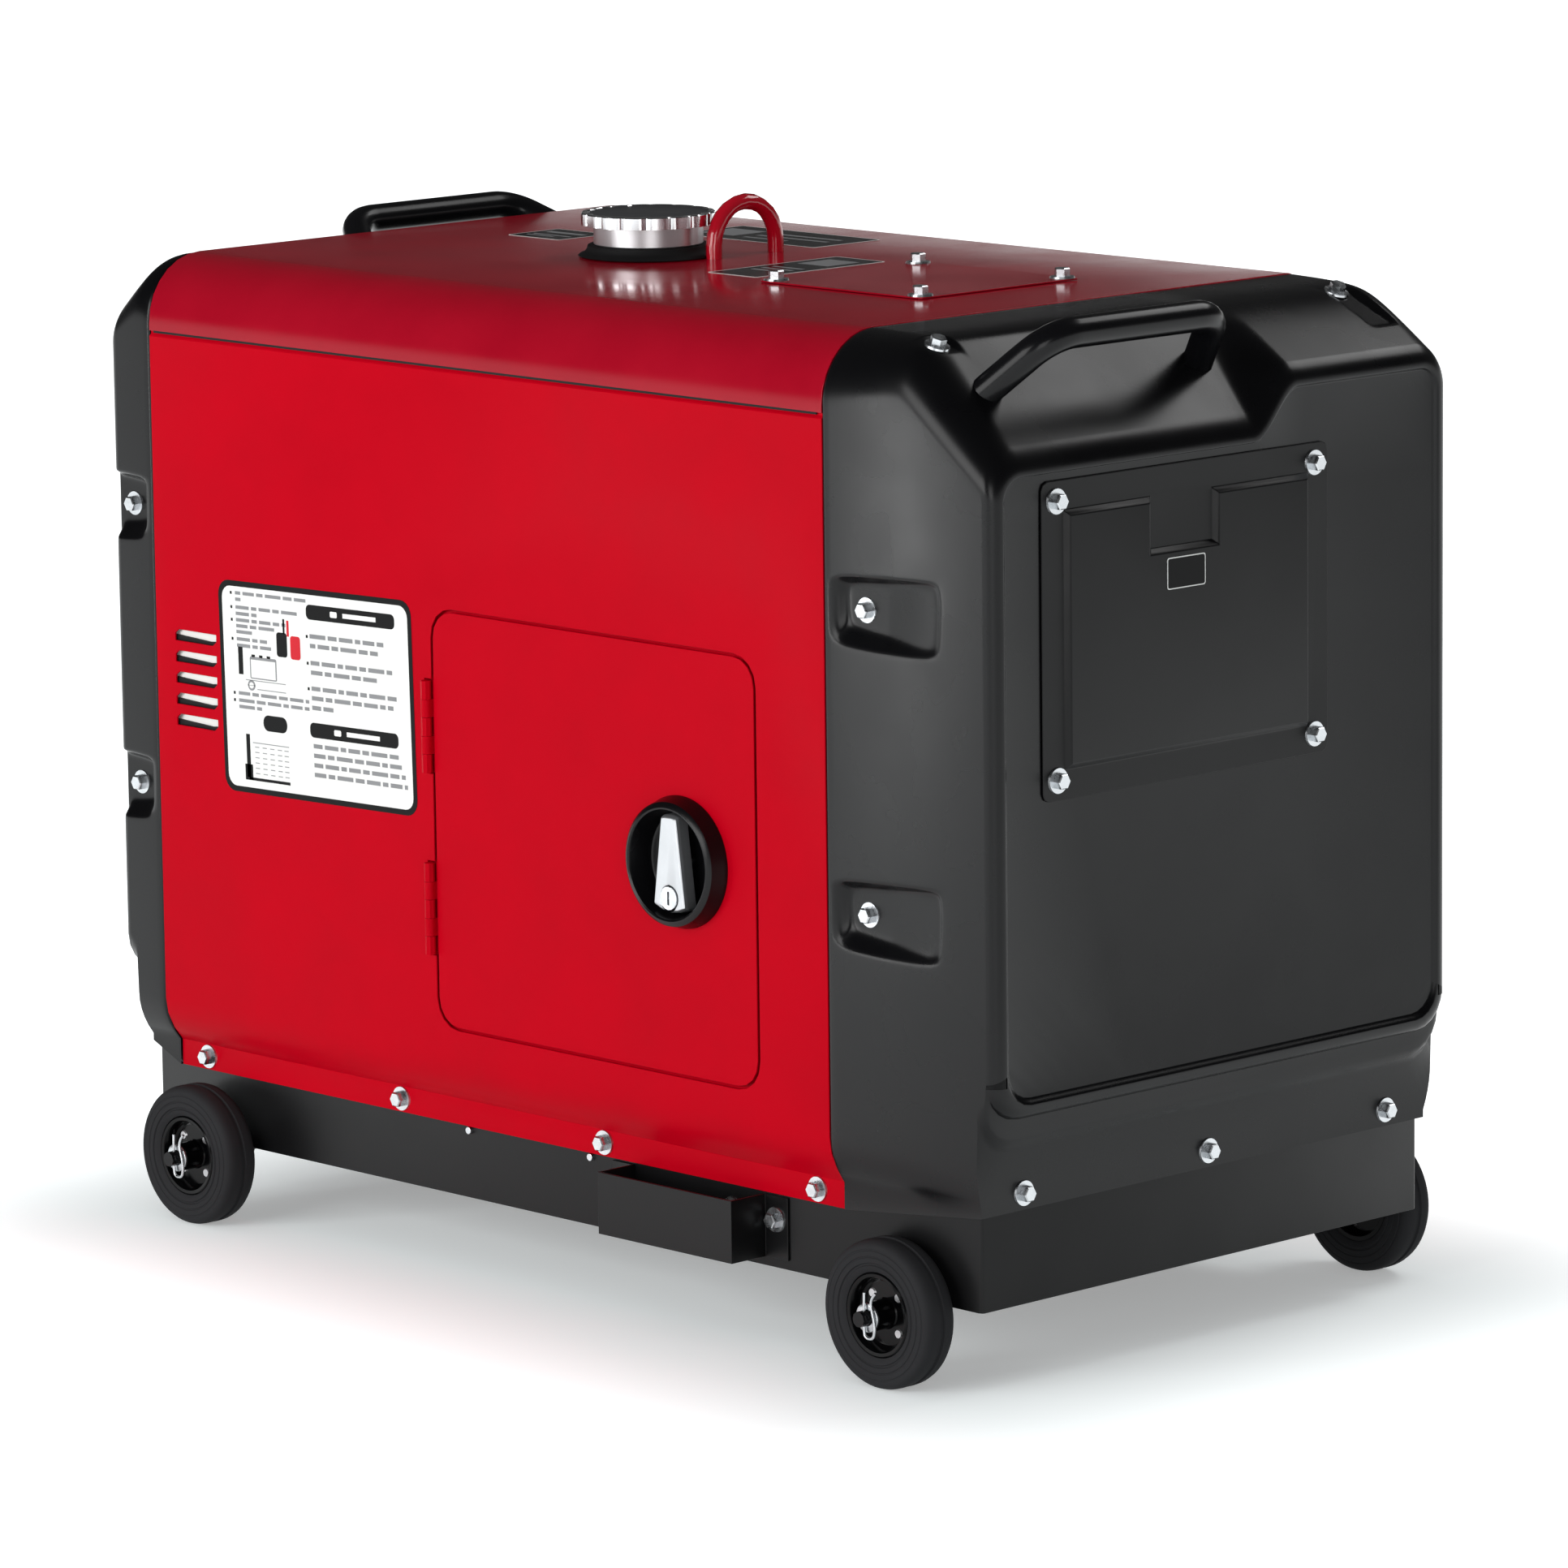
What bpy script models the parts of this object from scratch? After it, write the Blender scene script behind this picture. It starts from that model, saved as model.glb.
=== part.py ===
"""Engine driven welder in a sheet-metal canopy, modelled as separate pieces.

Metres, +Z up, origin on the floor under the middle of the machine. +X points
to the air cleaner end, -Y to the service door, +Y to the control panel.
"""
import math

import bmesh
import bpy
from mathutils import Matrix, Vector

for leftover in list(bpy.data.objects):
    bpy.data.objects.remove(leftover)

# ---------------------------------------------------------------- driving sizes
GAP = 0.0003                  # between two pieces that touch
RUNNING = 0.0006              # between a turning piece and its seat
REACH = 0.02                  # how far a cutting tool runs past the wall that it cuts

WHEEL_RADIUS = 0.0525
WHEEL_WIDTH = 0.028
AXLE_RADIUS = 0.0055
AXLE_WALL = 0.0035            # of metal round an axle, in a collar or an ear
TYRE_SEAT_RADIUS = WHEEL_RADIUS - 0.0225
HUB_RADIUS = AXLE_RADIUS + 0.006

BASE_HALF_LENGTH = 0.4371
BASE_HALF_WIDTH = 0.2207
BASE_BOTTOM = WHEEL_RADIUS + AXLE_RADIUS + 2 * GAP
BASE_TOP = BASE_BOTTOM + 0.0914
BASE_SHEET = 0.002

WHEEL_X = BASE_HALF_LENGTH - 0.0688
WHEEL_OUTER_Y = BASE_HALF_WIDTH + 0.0356
WHEEL_Y = WHEEL_OUTER_Y - WHEEL_WIDTH / 2
AXLE_HALF_LENGTH = WHEEL_OUTER_Y + 0.0157
HAIRPIN_Y = AXLE_HALF_LENGTH - 0.006
HAIRPIN_WIRE = 0.0011
WASHER_THICK = 0.0020
HUB_OUTER = HAIRPIN_Y - HAIRPIN_WIRE + 0.0004 - WASHER_THICK - RUNNING - WHEEL_Y
HUB_INNER = WHEEL_WIDTH / 2 + 0.002

SHELL_HALF_WIDTH = BASE_HALF_WIDTH + 0.017
SHELL_TOP = 0.7229
SHELL_SHEET = 0.0015
SHOULDER_RADIUS = 0.050
FLANGE_BOTTOM = BASE_BOTTOM + 0.0533
CREASE_Z = BASE_BOTTOM + 0.0728
TUCK_Z = BASE_BOTTOM + 0.1064
SEAM_Z = SHELL_TOP - 0.0558
SEAM_WIDTH = 0.002
JOGGLE_TOP = SHELL_TOP - SHOULDER_RADIUS - 2 * GAP
WALL_OUT, WALL_IN = SHELL_HALF_WIDTH + REACH, SHELL_HALF_WIDTH - REACH

CAP_SHEET = 0.003
CAP_END = BASE_HALF_LENGTH + 0.0209
FRONT_CAP_LENGTH = 0.1516
REAR_CAP_LENGTH = 0.050
SHELL_FRONT = CAP_END - FRONT_CAP_LENGTH
SHELL_REAR = REAR_CAP_LENGTH - CAP_END
CAP_END_HALF_WIDTH = SHELL_HALF_WIDTH - 0.0117
CAP_RIM_RADIUS = 0.004
CAP_FACE_DEPTH = 0.003
CAP_FACE_BORDER = 0.008
CAP_LOW_END_Z = SHELL_TOP - 0.0779
CAP_HIGH_END_Z = SHELL_TOP - 0.0419
CAP_BOTTOM_Z = BASE_BOTTOM + 0.1344
CAP_SKIRT_Z = BASE_BOTTOM + 0.0674
CAP_CORNER_RADIUS = 0.018
CAP_STEP_LOW_Y = 0.027
CAP_STEP_HIGH_Y = 0.071
SKIRT_X = BASE_HALF_LENGTH + GAP + CAP_SHEET
FACE_X = CAP_END - CAP_FACE_DEPTH
BOTTOM_RUN = 4                # faces across the bottom of a cap

SCOOP_Z = (BASE_BOTTOM + 0.2657, SHELL_TOP - 0.1877)
SCOOP_FLOOR_Y = SHELL_HALF_WIDTH - 0.0101
SCOOP_SHELL = 0.003
TOP_SCOOP_D, TOP_SCOOP_Y = 0.0731, SHELL_HALF_WIDTH - 0.0387
TOP_SCOOP_Z = SHELL_TOP - 0.0064
TOP_SCOOP_TILT = math.tan(math.radians(20))

DOOR_X0, DOOR_X1 = -0.0976, 0.2356
DOOR_Z0, DOOR_Z1 = 0.1882, 0.4910
DOOR_CORNER = 0.020
DOOR_GAP = 0.0024
DOOR_OUTER = -SHELL_HALF_WIDTH
DOOR_INNER = DOOR_OUTER + SHELL_SHEET
LEAF_OUTER = DOOR_INNER + GAP
LEAF_SHEET = 0.0012
FRAME_BACK = DOOR_INNER + 0.0042
HINGE_X, HINGE_Y = DOOR_X0 - 0.0054, DOOR_OUTER - 0.0025
HINGE_RADIUS = 0.004
HINGE_PIN_RADIUS = HINGE_RADIUS - 0.0024
HINGE_HEIGHT = 0.067
HINGE_PITCH = HINGE_HEIGHT / 5
HINGE_CENTRES = (DOOR_Z0 + 0.0848, DOOR_Z1 - 0.0848)

LATCH_X, LATCH_Z = DOOR_X1 - 0.0746, (DOOR_Z0 + DOOR_Z1) / 2 + 0.0004
BEZEL_RADIUS = 0.0472
BEZEL_HOLE = BEZEL_RADIUS - 0.0072
BEZEL_HEIGHT = 0.015
LATCH_BOWL_RADIUS = BEZEL_RADIUS - 0.0107
LATCH_SHAFT_RADIUS = 0.0050
LATCH_SHAFT_END = DOOR_OUTER + 0.0212
KEY_DROP = 0.024
KEY_RADIUS = 0.0085

CAP_X, CAP_Y = -0.1296, 0.009
NECK_RADIUS = 0.036
NECK_BORE = NECK_RADIUS - 0.003
NECK_HOLE = NECK_RADIUS + 0.0088
SEAL_RADIUS = NECK_RADIUS + 0.0165
SEAL_TOP = SHELL_TOP + 0.0086
FUEL_CAP_RADIUS = NECK_RADIUS + 0.0135
FUEL_CAP_TOP = SHELL_TOP + 0.0326
FUEL_CAP_THICK = 0.009
FUEL_SKIRT_RADIUS = NECK_RADIUS + 0.0045
NECK_TOP = FUEL_CAP_TOP - FUEL_CAP_THICK - 0.0025

EYE_X, EYE_Y = CAP_X + FUEL_CAP_RADIUS + 0.0043, CAP_Y + 0.0464
EYE_BAR = 0.006
EYE_HALF_SPAN = 0.0312
EYE_TOP = SHELL_TOP + 0.0455

HANDLE_TUBE = 0.011
HANDLE_GRIP_X, HANDLE_GRIP_Z = CAP_END - 0.005, SHELL_TOP + 0.0085
HANDLE_Y0, HANDLE_Y1 = 0.048 - SHELL_HALF_WIDTH, 0.0324
HANDLE_SPLAY = 0.024
HANDLE_BEND = 0.026
HANDLE_TAIL = 0.014

BOLT_WASHER = 0.0078
BOLT_WASHER_THICK = 0.0014
BOLT_HEAD = 0.005
BOLT_HEAD_HEIGHT = 0.006

COVER_SHEET = 0.0012
COVER_Y0, COVER_Y1 = -0.178, 0.106
COVER_HEIGHT = 0.219
COVER_Z1 = CAP_LOW_END_Z - 0.017
COVER_Z0 = COVER_Z1 - COVER_HEIGHT
COVER_BOLT_INSET = 0.014
EMBOSS_HEIGHT = 0.004
EMBOSS_MARGIN = 0.020
NOTCH_Y0, NOTCH_Y1, NOTCH_Z = COVER_Y0 + 0.106, COVER_Y1 - 0.118, COVER_Z1 - 0.056

GRILLE_HALF_WIDTH, GRILLE_Y = 0.125, 0.030
GRILLE_Z0, GRILLE_Z1 = 0.270, 0.500
GRILLE_EDGE = 0.026
GRILLE_BOLT_INSET = 0.012
GRILLE_BLADES = 7

PLATE_X0, PLATE_X1 = 0.0590, 0.2221
PLATE_Y0, PLATE_Y1 = -0.0587, 0.1007
PLATE_SHEET = 0.0012
PLATE_OVERLAP = 0.018
PLATE_BOLT_INSET = 0.0086

GUARD_X0, GUARD_X1 = 0.090, 0.224
GUARD_Z0, GUARD_Z1 = BASE_BOTTOM + 0.0069, BASE_BOTTOM + 0.0519
GUARD_DEPTH = 0.033
GUARD_SHEET = 0.0016
GUARD_REAR_TAB, GUARD_FRONT_TAB = 0.022, 0.024

RAIL_HALF_WIDTH = 0.022
RAIL_TOP = BASE_BOTTOM + 0.0294
RAIL_SHEET = 0.003
RAIL_X0, RAIL_X1 = -0.300, 0.260
MOUNT_RADIUS = 0.018
MOUNT_HEIGHT = 0.022
MOUNT_TOP = RAIL_TOP + GAP + MOUNT_HEIGHT
FOOT_THICK = 0.012

ENGINE_X0, ENGINE_X1 = 0.020, 0.185
BLOCK_HALF_WIDTH = 0.105
BLOCK_HEIGHT = 0.223
BLOCK_Z0 = MOUNT_TOP + FOOT_THICK - GAP
BLOCK_Z1 = BLOCK_Z0 + BLOCK_HEIGHT
MOUNT_Y = BLOCK_HALF_WIDTH + MOUNT_RADIUS + 0.002
CRANK_RISE = 0.103
CRANK_Y, CRANK_Z = 0.0, BLOCK_Z0 + CRANK_RISE
SHAFT_RADIUS = 0.0125
CYLINDER_X0, CYLINDER_X1 = ENGINE_X0 + 0.020, ENGINE_X1 - 0.020
CYLINDER_HEIGHT = 0.085
CYLINDER_TOP = BLOCK_Z1 + CYLINDER_HEIGHT
CYLINDER_HALF_WIDTH = 0.060
HEAD_LEDGE = 0.004
HEAD_HEIGHT = 0.055
HEAD_TOP = CYLINDER_TOP + HEAD_HEIGHT
SHROUD_LENGTH = 0.0767
SHROUD_X0 = ENGINE_X1 + GAP
SHROUD_X1 = SHROUD_X0 + SHROUD_LENGTH
SHROUD_RADIUS = 0.122
ALTERNATOR_X0, ALTERNATOR_X1 = -0.276, ENGINE_X0 - GAP
ALTERNATOR_RADIUS = 0.094
ALTERNATOR_WALL = 0.012
MOUNT_XS = (ALTERNATOR_X0 + 0.046, ENGINE_X1 - 0.035)

MUFFLER_X0, MUFFLER_X1 = ALTERNATOR_X0 - 0.024, ALTERNATOR_X1 - 0.0797
MUFFLER_RADIUS = 0.058
STRAP_HEIGHT = 0.063
MUFFLER_Z = CRANK_Z + ALTERNATOR_RADIUS + STRAP_HEIGHT + MUFFLER_RADIUS
EXHAUST_Y, EXHAUST_Z = 0.056 - CAP_END_HALF_WIDTH, MUFFLER_Z - 0.010
EXHAUST_RADIUS = 0.015
EXHAUST_END = -CAP_END - 0.0045
PORT_Z = CYLINDER_TOP + 0.032
PORT_RADIUS = 0.011

FILTER_RADIUS = 0.078
FILTER_LENGTH = 0.133
FILTER_X1 = CAP_END - 0.020
FILTER_X0 = FILTER_X1 - FILTER_LENGTH
FILTER_Y, FILTER_Z = (COVER_Y0 + COVER_Y1) / 2, (COVER_Z0 + COVER_Z1) / 2 - 0.0005
INTAKE_RADIUS = 0.017

TANK_X0, TANK_X1 = -0.335, 0.045
TANK_HALF_WIDTH = 0.165
TANK_DROP = 0.0469
TANK_AIR = 0.058              # between the silencer and the tank
TANK_Z0 = MUFFLER_Z + MUFFLER_RADIUS + TANK_AIR
TANK_Z1 = SHELL_TOP - TANK_DROP
TANK_SHEET = 0.0025
TANK_CORNER = 0.025

FRAME_Y = BASE_HALF_WIDTH - BASE_SHEET - GAP
FRAME_SHEET = 0.004
FRAME_FOOT = BASE_BOTTOM + BASE_SHEET + GAP
LIFT_TOP = SHELL_TOP - 0.0329
CRADLE_INSET, CRADLE_PITCH = 0.050, 0.160
CRADLE_XS = (TANK_X0 + CRADLE_INSET, TANK_X0 + CRADLE_INSET + CRADLE_PITCH)

BATTERY_LENGTH, BATTERY_WIDTH, BATTERY_HEIGHT = 0.1695, 0.122, 0.1641
BATTERY_X0 = 0.0091 - BASE_HALF_LENGTH
BATTERY_X1 = BATTERY_X0 + BATTERY_WIDTH
BATTERY_Y0 = 0.0062 - BASE_HALF_WIDTH
BATTERY_Y1 = BATTERY_Y0 + BATTERY_LENGTH
BATTERY_TOP = FRAME_FOOT + BATTERY_HEIGHT
BATTERY_LID = 0.002

VENT_X0 = SHELL_REAR + 0.0215
VENT_X1 = VENT_X0 + 0.047
VENT_TOP_Z, VENT_PITCH, VENT_HEIGHT, VENT_COUNT = 0.4430, 0.0159, 0.0085, 5
LOUVRE_X0, LOUVRE_X1 = 0.02, 0.22
LOUVRE_Z, LOUVRE_PITCH, LOUVRE_HEIGHT, LOUVRE_COUNT = 0.300, 0.020, 0.008, 6

PANEL_X0, PANEL_X1 = -0.345, -0.095
PANEL_HEIGHT = 0.210
PANEL_Z1 = SEAM_Z - 0.0571
PANEL_Z0 = PANEL_Z1 - PANEL_HEIGHT
PANEL_RECESS = 0.014
PANEL_FACE = SHELL_HALF_WIDTH - PANEL_RECESS
PANEL_SEAT = PANEL_FACE + GAP
PANEL_BACK = SHELL_HALF_WIDTH - SHELL_SHEET - GAP
PLATE_FRONT = PANEL_SEAT + 0.0015
SOCKET_Z = PANEL_Z0 + 0.045
SOCKET_MARGIN = 0.026
WELD_SOCKET_XS = (PANEL_X0 + 0.033, PANEL_X0 + 0.093)
WELD_SOCKET_REACH = 0.021
AC_SOCKET_XS = (PANEL_X1 - 0.091, PANEL_X1 - 0.037)
AC_SOCKET_HALF = 0.0225
AC_WELL_RADIUS = 0.0165
KNOB_X, KNOB_Z = (PANEL_X0 + PANEL_X1) / 2 - 0.002, PANEL_Z1 - 0.050
KNOB_RADIUS = 0.019
KEY_X, KEY_Z = PANEL_X1 - 0.045, PANEL_Z1 - 0.043
KEY_BARREL_RADIUS = 0.008
BREAKER_X, BREAKER_Z = PANEL_X1 - 0.045, PANEL_Z1 - 0.102
METER_X0, METER_X1 = PANEL_X0 + 0.017, PANEL_X0 + 0.083
METER_Z0, METER_Z1 = PANEL_Z1 - 0.075, PANEL_Z1 - 0.020
TOGGLE_Y = PLATE_FRONT + 0.0033

FINISHES = {
    "red_paint": ((0.56, 0.012, 0.03), 0.35, 0.0),
    "black_steel": ((0.02, 0.02, 0.021), 0.45, 0.0),
    "black_moulding": ((0.022, 0.022, 0.023), 0.5, 0.0),
    "gloss_black": ((0.012, 0.012, 0.012), 0.2, 0.0),
    "rubber": ((0.018, 0.018, 0.018), 0.75, 0.0),
    "zinc": ((0.72, 0.74, 0.76), 0.3, 1.0),
    "polished_aluminium": ((0.86, 0.86, 0.87), 0.15, 1.0),
    "cast_aluminium": ((0.55, 0.55, 0.56), 0.5, 1.0),
    "cast_iron": ((0.12, 0.125, 0.13), 0.6, 0.6),
    "silver_lever": ((0.66, 0.66, 0.68), 0.35, 1.0),
    "foam": ((0.05, 0.05, 0.055), 0.95, 0.0),
    "panel_grey": ((0.16, 0.165, 0.17), 0.5, 0.0),
    "brass": ((0.72, 0.52, 0.22), 0.3, 1.0),
    "heat_paint": ((0.2, 0.2, 0.2), 0.7, 0.3),
    "tank_paint": ((0.03, 0.03, 0.032), 0.4, 0.0),
}


# ------------------------------------------------------------------ shape tools
def to_object(bm):
    """Turn a bmesh into an object whose faces point outwards."""
    bmesh.ops.remove_doubles(bm, verts=bm.verts[:], dist=1e-6)
    bmesh.ops.dissolve_degenerate(bm, edges=bm.edges[:], dist=1e-6)
    bmesh.ops.recalc_face_normals(bm, faces=bm.faces[:])
    mesh = bpy.data.meshes.new("solid")
    bm.to_mesh(mesh)
    bm.free()
    solid = bpy.data.objects.new("solid", mesh)
    bpy.context.scene.collection.objects.link(solid)
    return solid


def on_axis(axis, a, b, h):
    """Put two flat coordinates and a height on world axes, in X, Y, Z order."""
    return {"X": (h, a, b), "Y": (a, h, b), "Z": (a, b, h)}[axis]


def loft(sections, close_ends=True):
    """Skin a row of closed loops that have the same number of points."""
    bm = bmesh.new()
    rows = [[bm.verts.new(p) for p in section] for section in sections]
    count = len(rows[0])
    for low, high in zip(rows, rows[1:]):
        for i in range(count):
            j = (i + 1) % count
            bm.faces.new((low[i], low[j], high[j], high[i]))
    if close_ends:
        bm.faces.new(rows[0])
        bm.faces.new(rows[-1])
    return to_object(bm)


def prism(outline, axis, low, high):
    """Extrude a flat outline along an axis from low to high."""
    return loft([[on_axis(axis, a, b, h) for a, b in outline] for h in (low, high)])


def box(x0, x1, y0, y1, z0, z1):
    """Make a box from its limits."""
    return prism([(x0, y0), (x1, y0), (x1, y1), (x0, y1)], "Z", z0, z1)


def arc(centre, radius, start, end, steps):
    """Points of an arc in degrees, both ends included."""
    turn = [math.radians(start + (end - start) * i / steps) for i in range(steps + 1)]
    return [(centre[0] + radius * math.cos(t), centre[1] + radius * math.sin(t)) for t in turn]


def rounded_rectangle(x0, x1, y0, y1, radius, steps=4):
    """Outline of a rectangle with round corners, anticlockwise."""
    corners = ((x1, y0, -90), (x1, y1, 0), (x0, y1, 90), (x0, y0, 180))
    outline = []
    for x, y, start in corners:
        centre = (x - radius if x == x1 else x + radius, y - radius if y == y1 else y + radius)
        outline += arc(centre, radius, start, start + 90, steps)
    return outline


def turned(profile, axis, centre, segments, ring=False):
    """Spin a (radius, height) profile round an axis; ring closes it on itself."""
    bm = bmesh.new()
    verts = [bm.verts.new((radius, 0, height)) for radius, height in profile]
    pairs = list(zip(verts, verts[1:])) + ([(verts[-1], verts[0])] if ring else [])
    edges = [bm.edges.new(pair) for pair in pairs]
    bmesh.ops.spin(bm, geom=verts + edges, cent=(0, 0, 0), axis=(0, 0, 1),
                   angle=math.tau, steps=segments, use_merge=True)
    turn = {"X": Matrix.Rotation(math.pi / 2, 4, "Y"),
            "Y": Matrix.Rotation(-math.pi / 2, 4, "X"),
            "Z": Matrix.Identity(4)}[axis]
    bmesh.ops.transform(bm, matrix=Matrix.Translation(centre) @ turn, verts=bm.verts[:])
    return to_object(bm)


def disc(axis, centre, radius, low, high, segments=16):
    """Solid cylinder along an axis; low and high are added to the centre."""
    return turned([(0, low), (radius, low), (radius, high), (0, high)], axis, centre, segments)


def pipe(axis, centre, outer, bore, low, high, segments=16):
    """Hollow cylinder along an axis."""
    profile = [(bore, low), (outer, low), (outer, high), (bore, high)]
    return turned(profile, axis, centre, segments, ring=True)


def bent(corners, radius, steps=5):
    """Round the corners of an open path of straight runs."""
    path = [Vector(corners[0])]
    for before, corner, after in zip(corners, corners[1:], corners[2:]):
        corner = Vector(corner)
        back = (Vector(before) - corner).normalized()
        ahead = (Vector(after) - corner).normalized()
        half = back.angle(ahead) / 2
        setback = radius / math.tan(half)
        centre = corner + (back + ahead).normalized() * radius / math.sin(half)
        start = corner + back * setback - centre
        end = corner + ahead * setback - centre
        sweep = start.angle(end)
        for i in range(steps + 1):
            t = i / steps
            blend = start * math.sin((1 - t) * sweep) + end * math.sin(t * sweep)
            path.append(centre + blend / math.sin(sweep))
    path.append(Vector(corners[-1]))
    return path


def rod(path, radius, resolution=2):
    """Round bar or tube along a path, with filled ends."""
    curve = bpy.data.curves.new("rod", "CURVE")
    curve.dimensions = "3D"
    curve.bevel_depth = radius
    curve.bevel_resolution = resolution
    curve.use_fill_caps = True
    spline = curve.splines.new("POLY")
    spline.points.add(len(path) - 1)
    for point, place in zip(spline.points, path):
        point.co = (*place, 1)
    guide = bpy.data.objects.new("rod", curve)
    bpy.context.scene.collection.objects.link(guide)
    bm = bmesh.new()
    bm.from_mesh(evaluated(guide))
    bpy.data.objects.remove(guide)
    return to_object(bm)


def evaluated(solid):
    """Mesh of an object with its modifiers or its curve worked out."""
    bpy.context.view_layer.update()
    graph = bpy.context.evaluated_depsgraph_get()
    return bpy.data.meshes.new_from_object(solid.evaluated_get(graph))


def combine(body, tools, operation):
    """Boolean each tool with the body; the tools are used up."""
    for tool in tools:
        change = body.modifiers.new(operation, "BOOLEAN")
        change.operation = operation
        change.solver = "EXACT"
        change.object = tool
        body.data = evaluated(body)
        body.modifiers.clear()
        bpy.data.objects.remove(tool)
    return body


def cut(body, *tools):
    """Cut the tools out of the body."""
    return combine(body, tools, "DIFFERENCE")


def fuse(body, *tools):
    """Weld the tools to the body."""
    return combine(body, tools, "UNION")


def group(*solids):
    """Put separate solids in one object."""
    bm = bmesh.new()
    for solid in solids:
        bm.from_mesh(solid.data)
        bpy.data.objects.remove(solid)
    return to_object(bm)


def moved(solid, matrix):
    """Move a solid's mesh."""
    solid.data.transform(matrix)
    if matrix.determinant() < 0:
        solid.data.flip_normals()
    return solid


def half_turn(solid):
    """Carry a solid from the front end to the rear end."""
    return moved(solid, Matrix.Rotation(math.pi, 4, "Z"))


def name_part(solid, name, finish, origin=(0, 0, 0), parent=None):
    """Name a finished piece, colour it and put its origin on its axis."""
    solid.name = name
    solid.data.name = name
    solid.data.transform(Matrix.Translation(-Vector(origin)))
    solid.location = origin
    solid.data.materials.clear()
    solid.data.materials.append(MATERIALS[finish])
    solid.data.shade_smooth()
    solid.data.set_sharp_from_angle(angle=math.radians(35))
    if parent:
        bpy.context.view_layer.update()
        solid.parent = parent
        solid.matrix_parent_inverse = parent.matrix_world.inverted()
    return solid


def make_material(name, colour, roughness, metallic):
    """Plain surface with one colour."""
    material = bpy.data.materials.new(name)
    material.use_nodes = True
    shader = material.node_tree.nodes["Principled BSDF"]
    shader.inputs["Base Color"].default_value = (*colour, 1)
    shader.inputs["Roughness"].default_value = roughness
    shader.inputs["Metallic"].default_value = metallic
    material.diffuse_color = (*colour, 1)
    return material


def thickened(path, sheet):
    """Closed outline of a sheet whose outer side follows the path, to its left."""
    inner = []
    for i, point in enumerate(path):
        here = Vector(point)
        normals = []
        for a, b in ((i - 1, i), (i, i + 1)):
            if a >= 0 and b < len(path):
                run = Vector(path[b]) - Vector(path[a])
                normals.append(Vector((-run.y, run.x)).normalized())
        middle = sum(normals, Vector((0, 0))).normalized()
        inner.append(tuple(here + middle * sheet / middle.dot(normals[0])))
    return list(path) + inner[::-1]


def bolt(place, direction):
    """Flanged hexagon bolt head, sunk a little into the face that it holds."""
    corner = BOLT_HEAD / math.cos(math.pi / 6)
    washer = disc("Z", (0, 0, 0), BOLT_WASHER, -GAP, BOLT_WASHER_THICK, 12)
    fuse(washer, disc("Z", (0, 0, 0), corner, 0, BOLT_WASHER_THICK + BOLT_HEAD_HEIGHT, 6))
    aim = Vector(direction).normalized()
    turn = aim.to_track_quat("Z", "X").to_matrix().to_4x4()
    return moved(washer, Matrix.Translation(Vector(place)) @ turn)


# ------------------------------------------------------------------------- base
def corner_bolts(a0, a1, b0, b1, inset):
    """Four bolt places inside a rectangle."""
    return [(a, b) for a in (a0 + inset, a1 - inset) for b in (b0 + inset, b1 - inset)]


def axle_ear(x, y):
    """Hanging plate that carries an axle under the tray."""
    half, foot = AXLE_RADIUS + AXLE_WALL, WHEEL_RADIUS - AXLE_RADIUS - 0.0069
    outline = [(x - half - 0.007, BASE_BOTTOM + 0.001), (x - half, foot), (x + half, foot),
               (x + half + 0.007, BASE_BOTTOM + 0.001)]
    return prism(outline, "Y", y - 0.002, y + 0.002)


def mount_rail(y):
    """Channel welded on the tray floor under the rubber mounts."""
    floor, w = BASE_BOTTOM + BASE_SHEET / 2, RAIL_HALF_WIDTH
    path = [(y + w, floor), (y + w, RAIL_TOP), (y - w, RAIL_TOP), (y - w, floor)]
    return prism(thickened(path, RAIL_SHEET), "X", RAIL_X0, RAIL_X1)


def base_tray():
    """Folded tray with mounting rails, axle ears and floor slots."""
    outer = rounded_rectangle(-BASE_HALF_LENGTH, BASE_HALF_LENGTH, -BASE_HALF_WIDTH,
                              BASE_HALF_WIDTH, 0.003, 2)
    inner = rounded_rectangle(-BASE_HALF_LENGTH + BASE_SHEET, BASE_HALF_LENGTH - BASE_SHEET,
                              -BASE_HALF_WIDTH + BASE_SHEET, BASE_HALF_WIDTH - BASE_SHEET, 0.001, 2)
    tray = prism(outer, "Z", BASE_BOTTOM, BASE_TOP)
    cut(tray, prism(inner, "Z", BASE_BOTTOM + BASE_SHEET, BASE_TOP + 0.01))
    for x in (-WHEEL_X, WHEEL_X):
        for side in (-1, 1):
            fuse(tray, axle_ear(x, side * (BASE_HALF_WIDTH - 0.0207)))
    for y in (-MOUNT_Y, MOUNT_Y):
        fuse(tray, mount_rail(y))
    slots = [box(x - 0.004, x + 0.004, -0.05, 0.05, BASE_BOTTOM - 0.01, BASE_BOTTOM + 0.01)
             for x in (-0.06, -0.04, -0.02, 0.0, 0.02, 0.04)]
    bores = [disc("Y", (x, 0, WHEEL_RADIUS), AXLE_RADIUS + GAP, -BASE_HALF_WIDTH, BASE_HALF_WIDTH, 12)
             for x in (-WHEEL_X, WHEEL_X)]
    return cut(tray, group(*slots), *bores)


# ------------------------------------------------------------------------ shell
def tuck(half_width, side, sheet):
    """Points from the side wall in to the crease over the base flange."""
    flange_y = BASE_HALF_WIDTH + GAP + sheet
    points = []
    for t in (0, 0.35, 0.7, 1):
        y = half_width - (half_width - flange_y) * t * t
        points.append((side * y, TUCK_Z + (CREASE_Z - TUCK_Z) * t))
    return points


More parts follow.
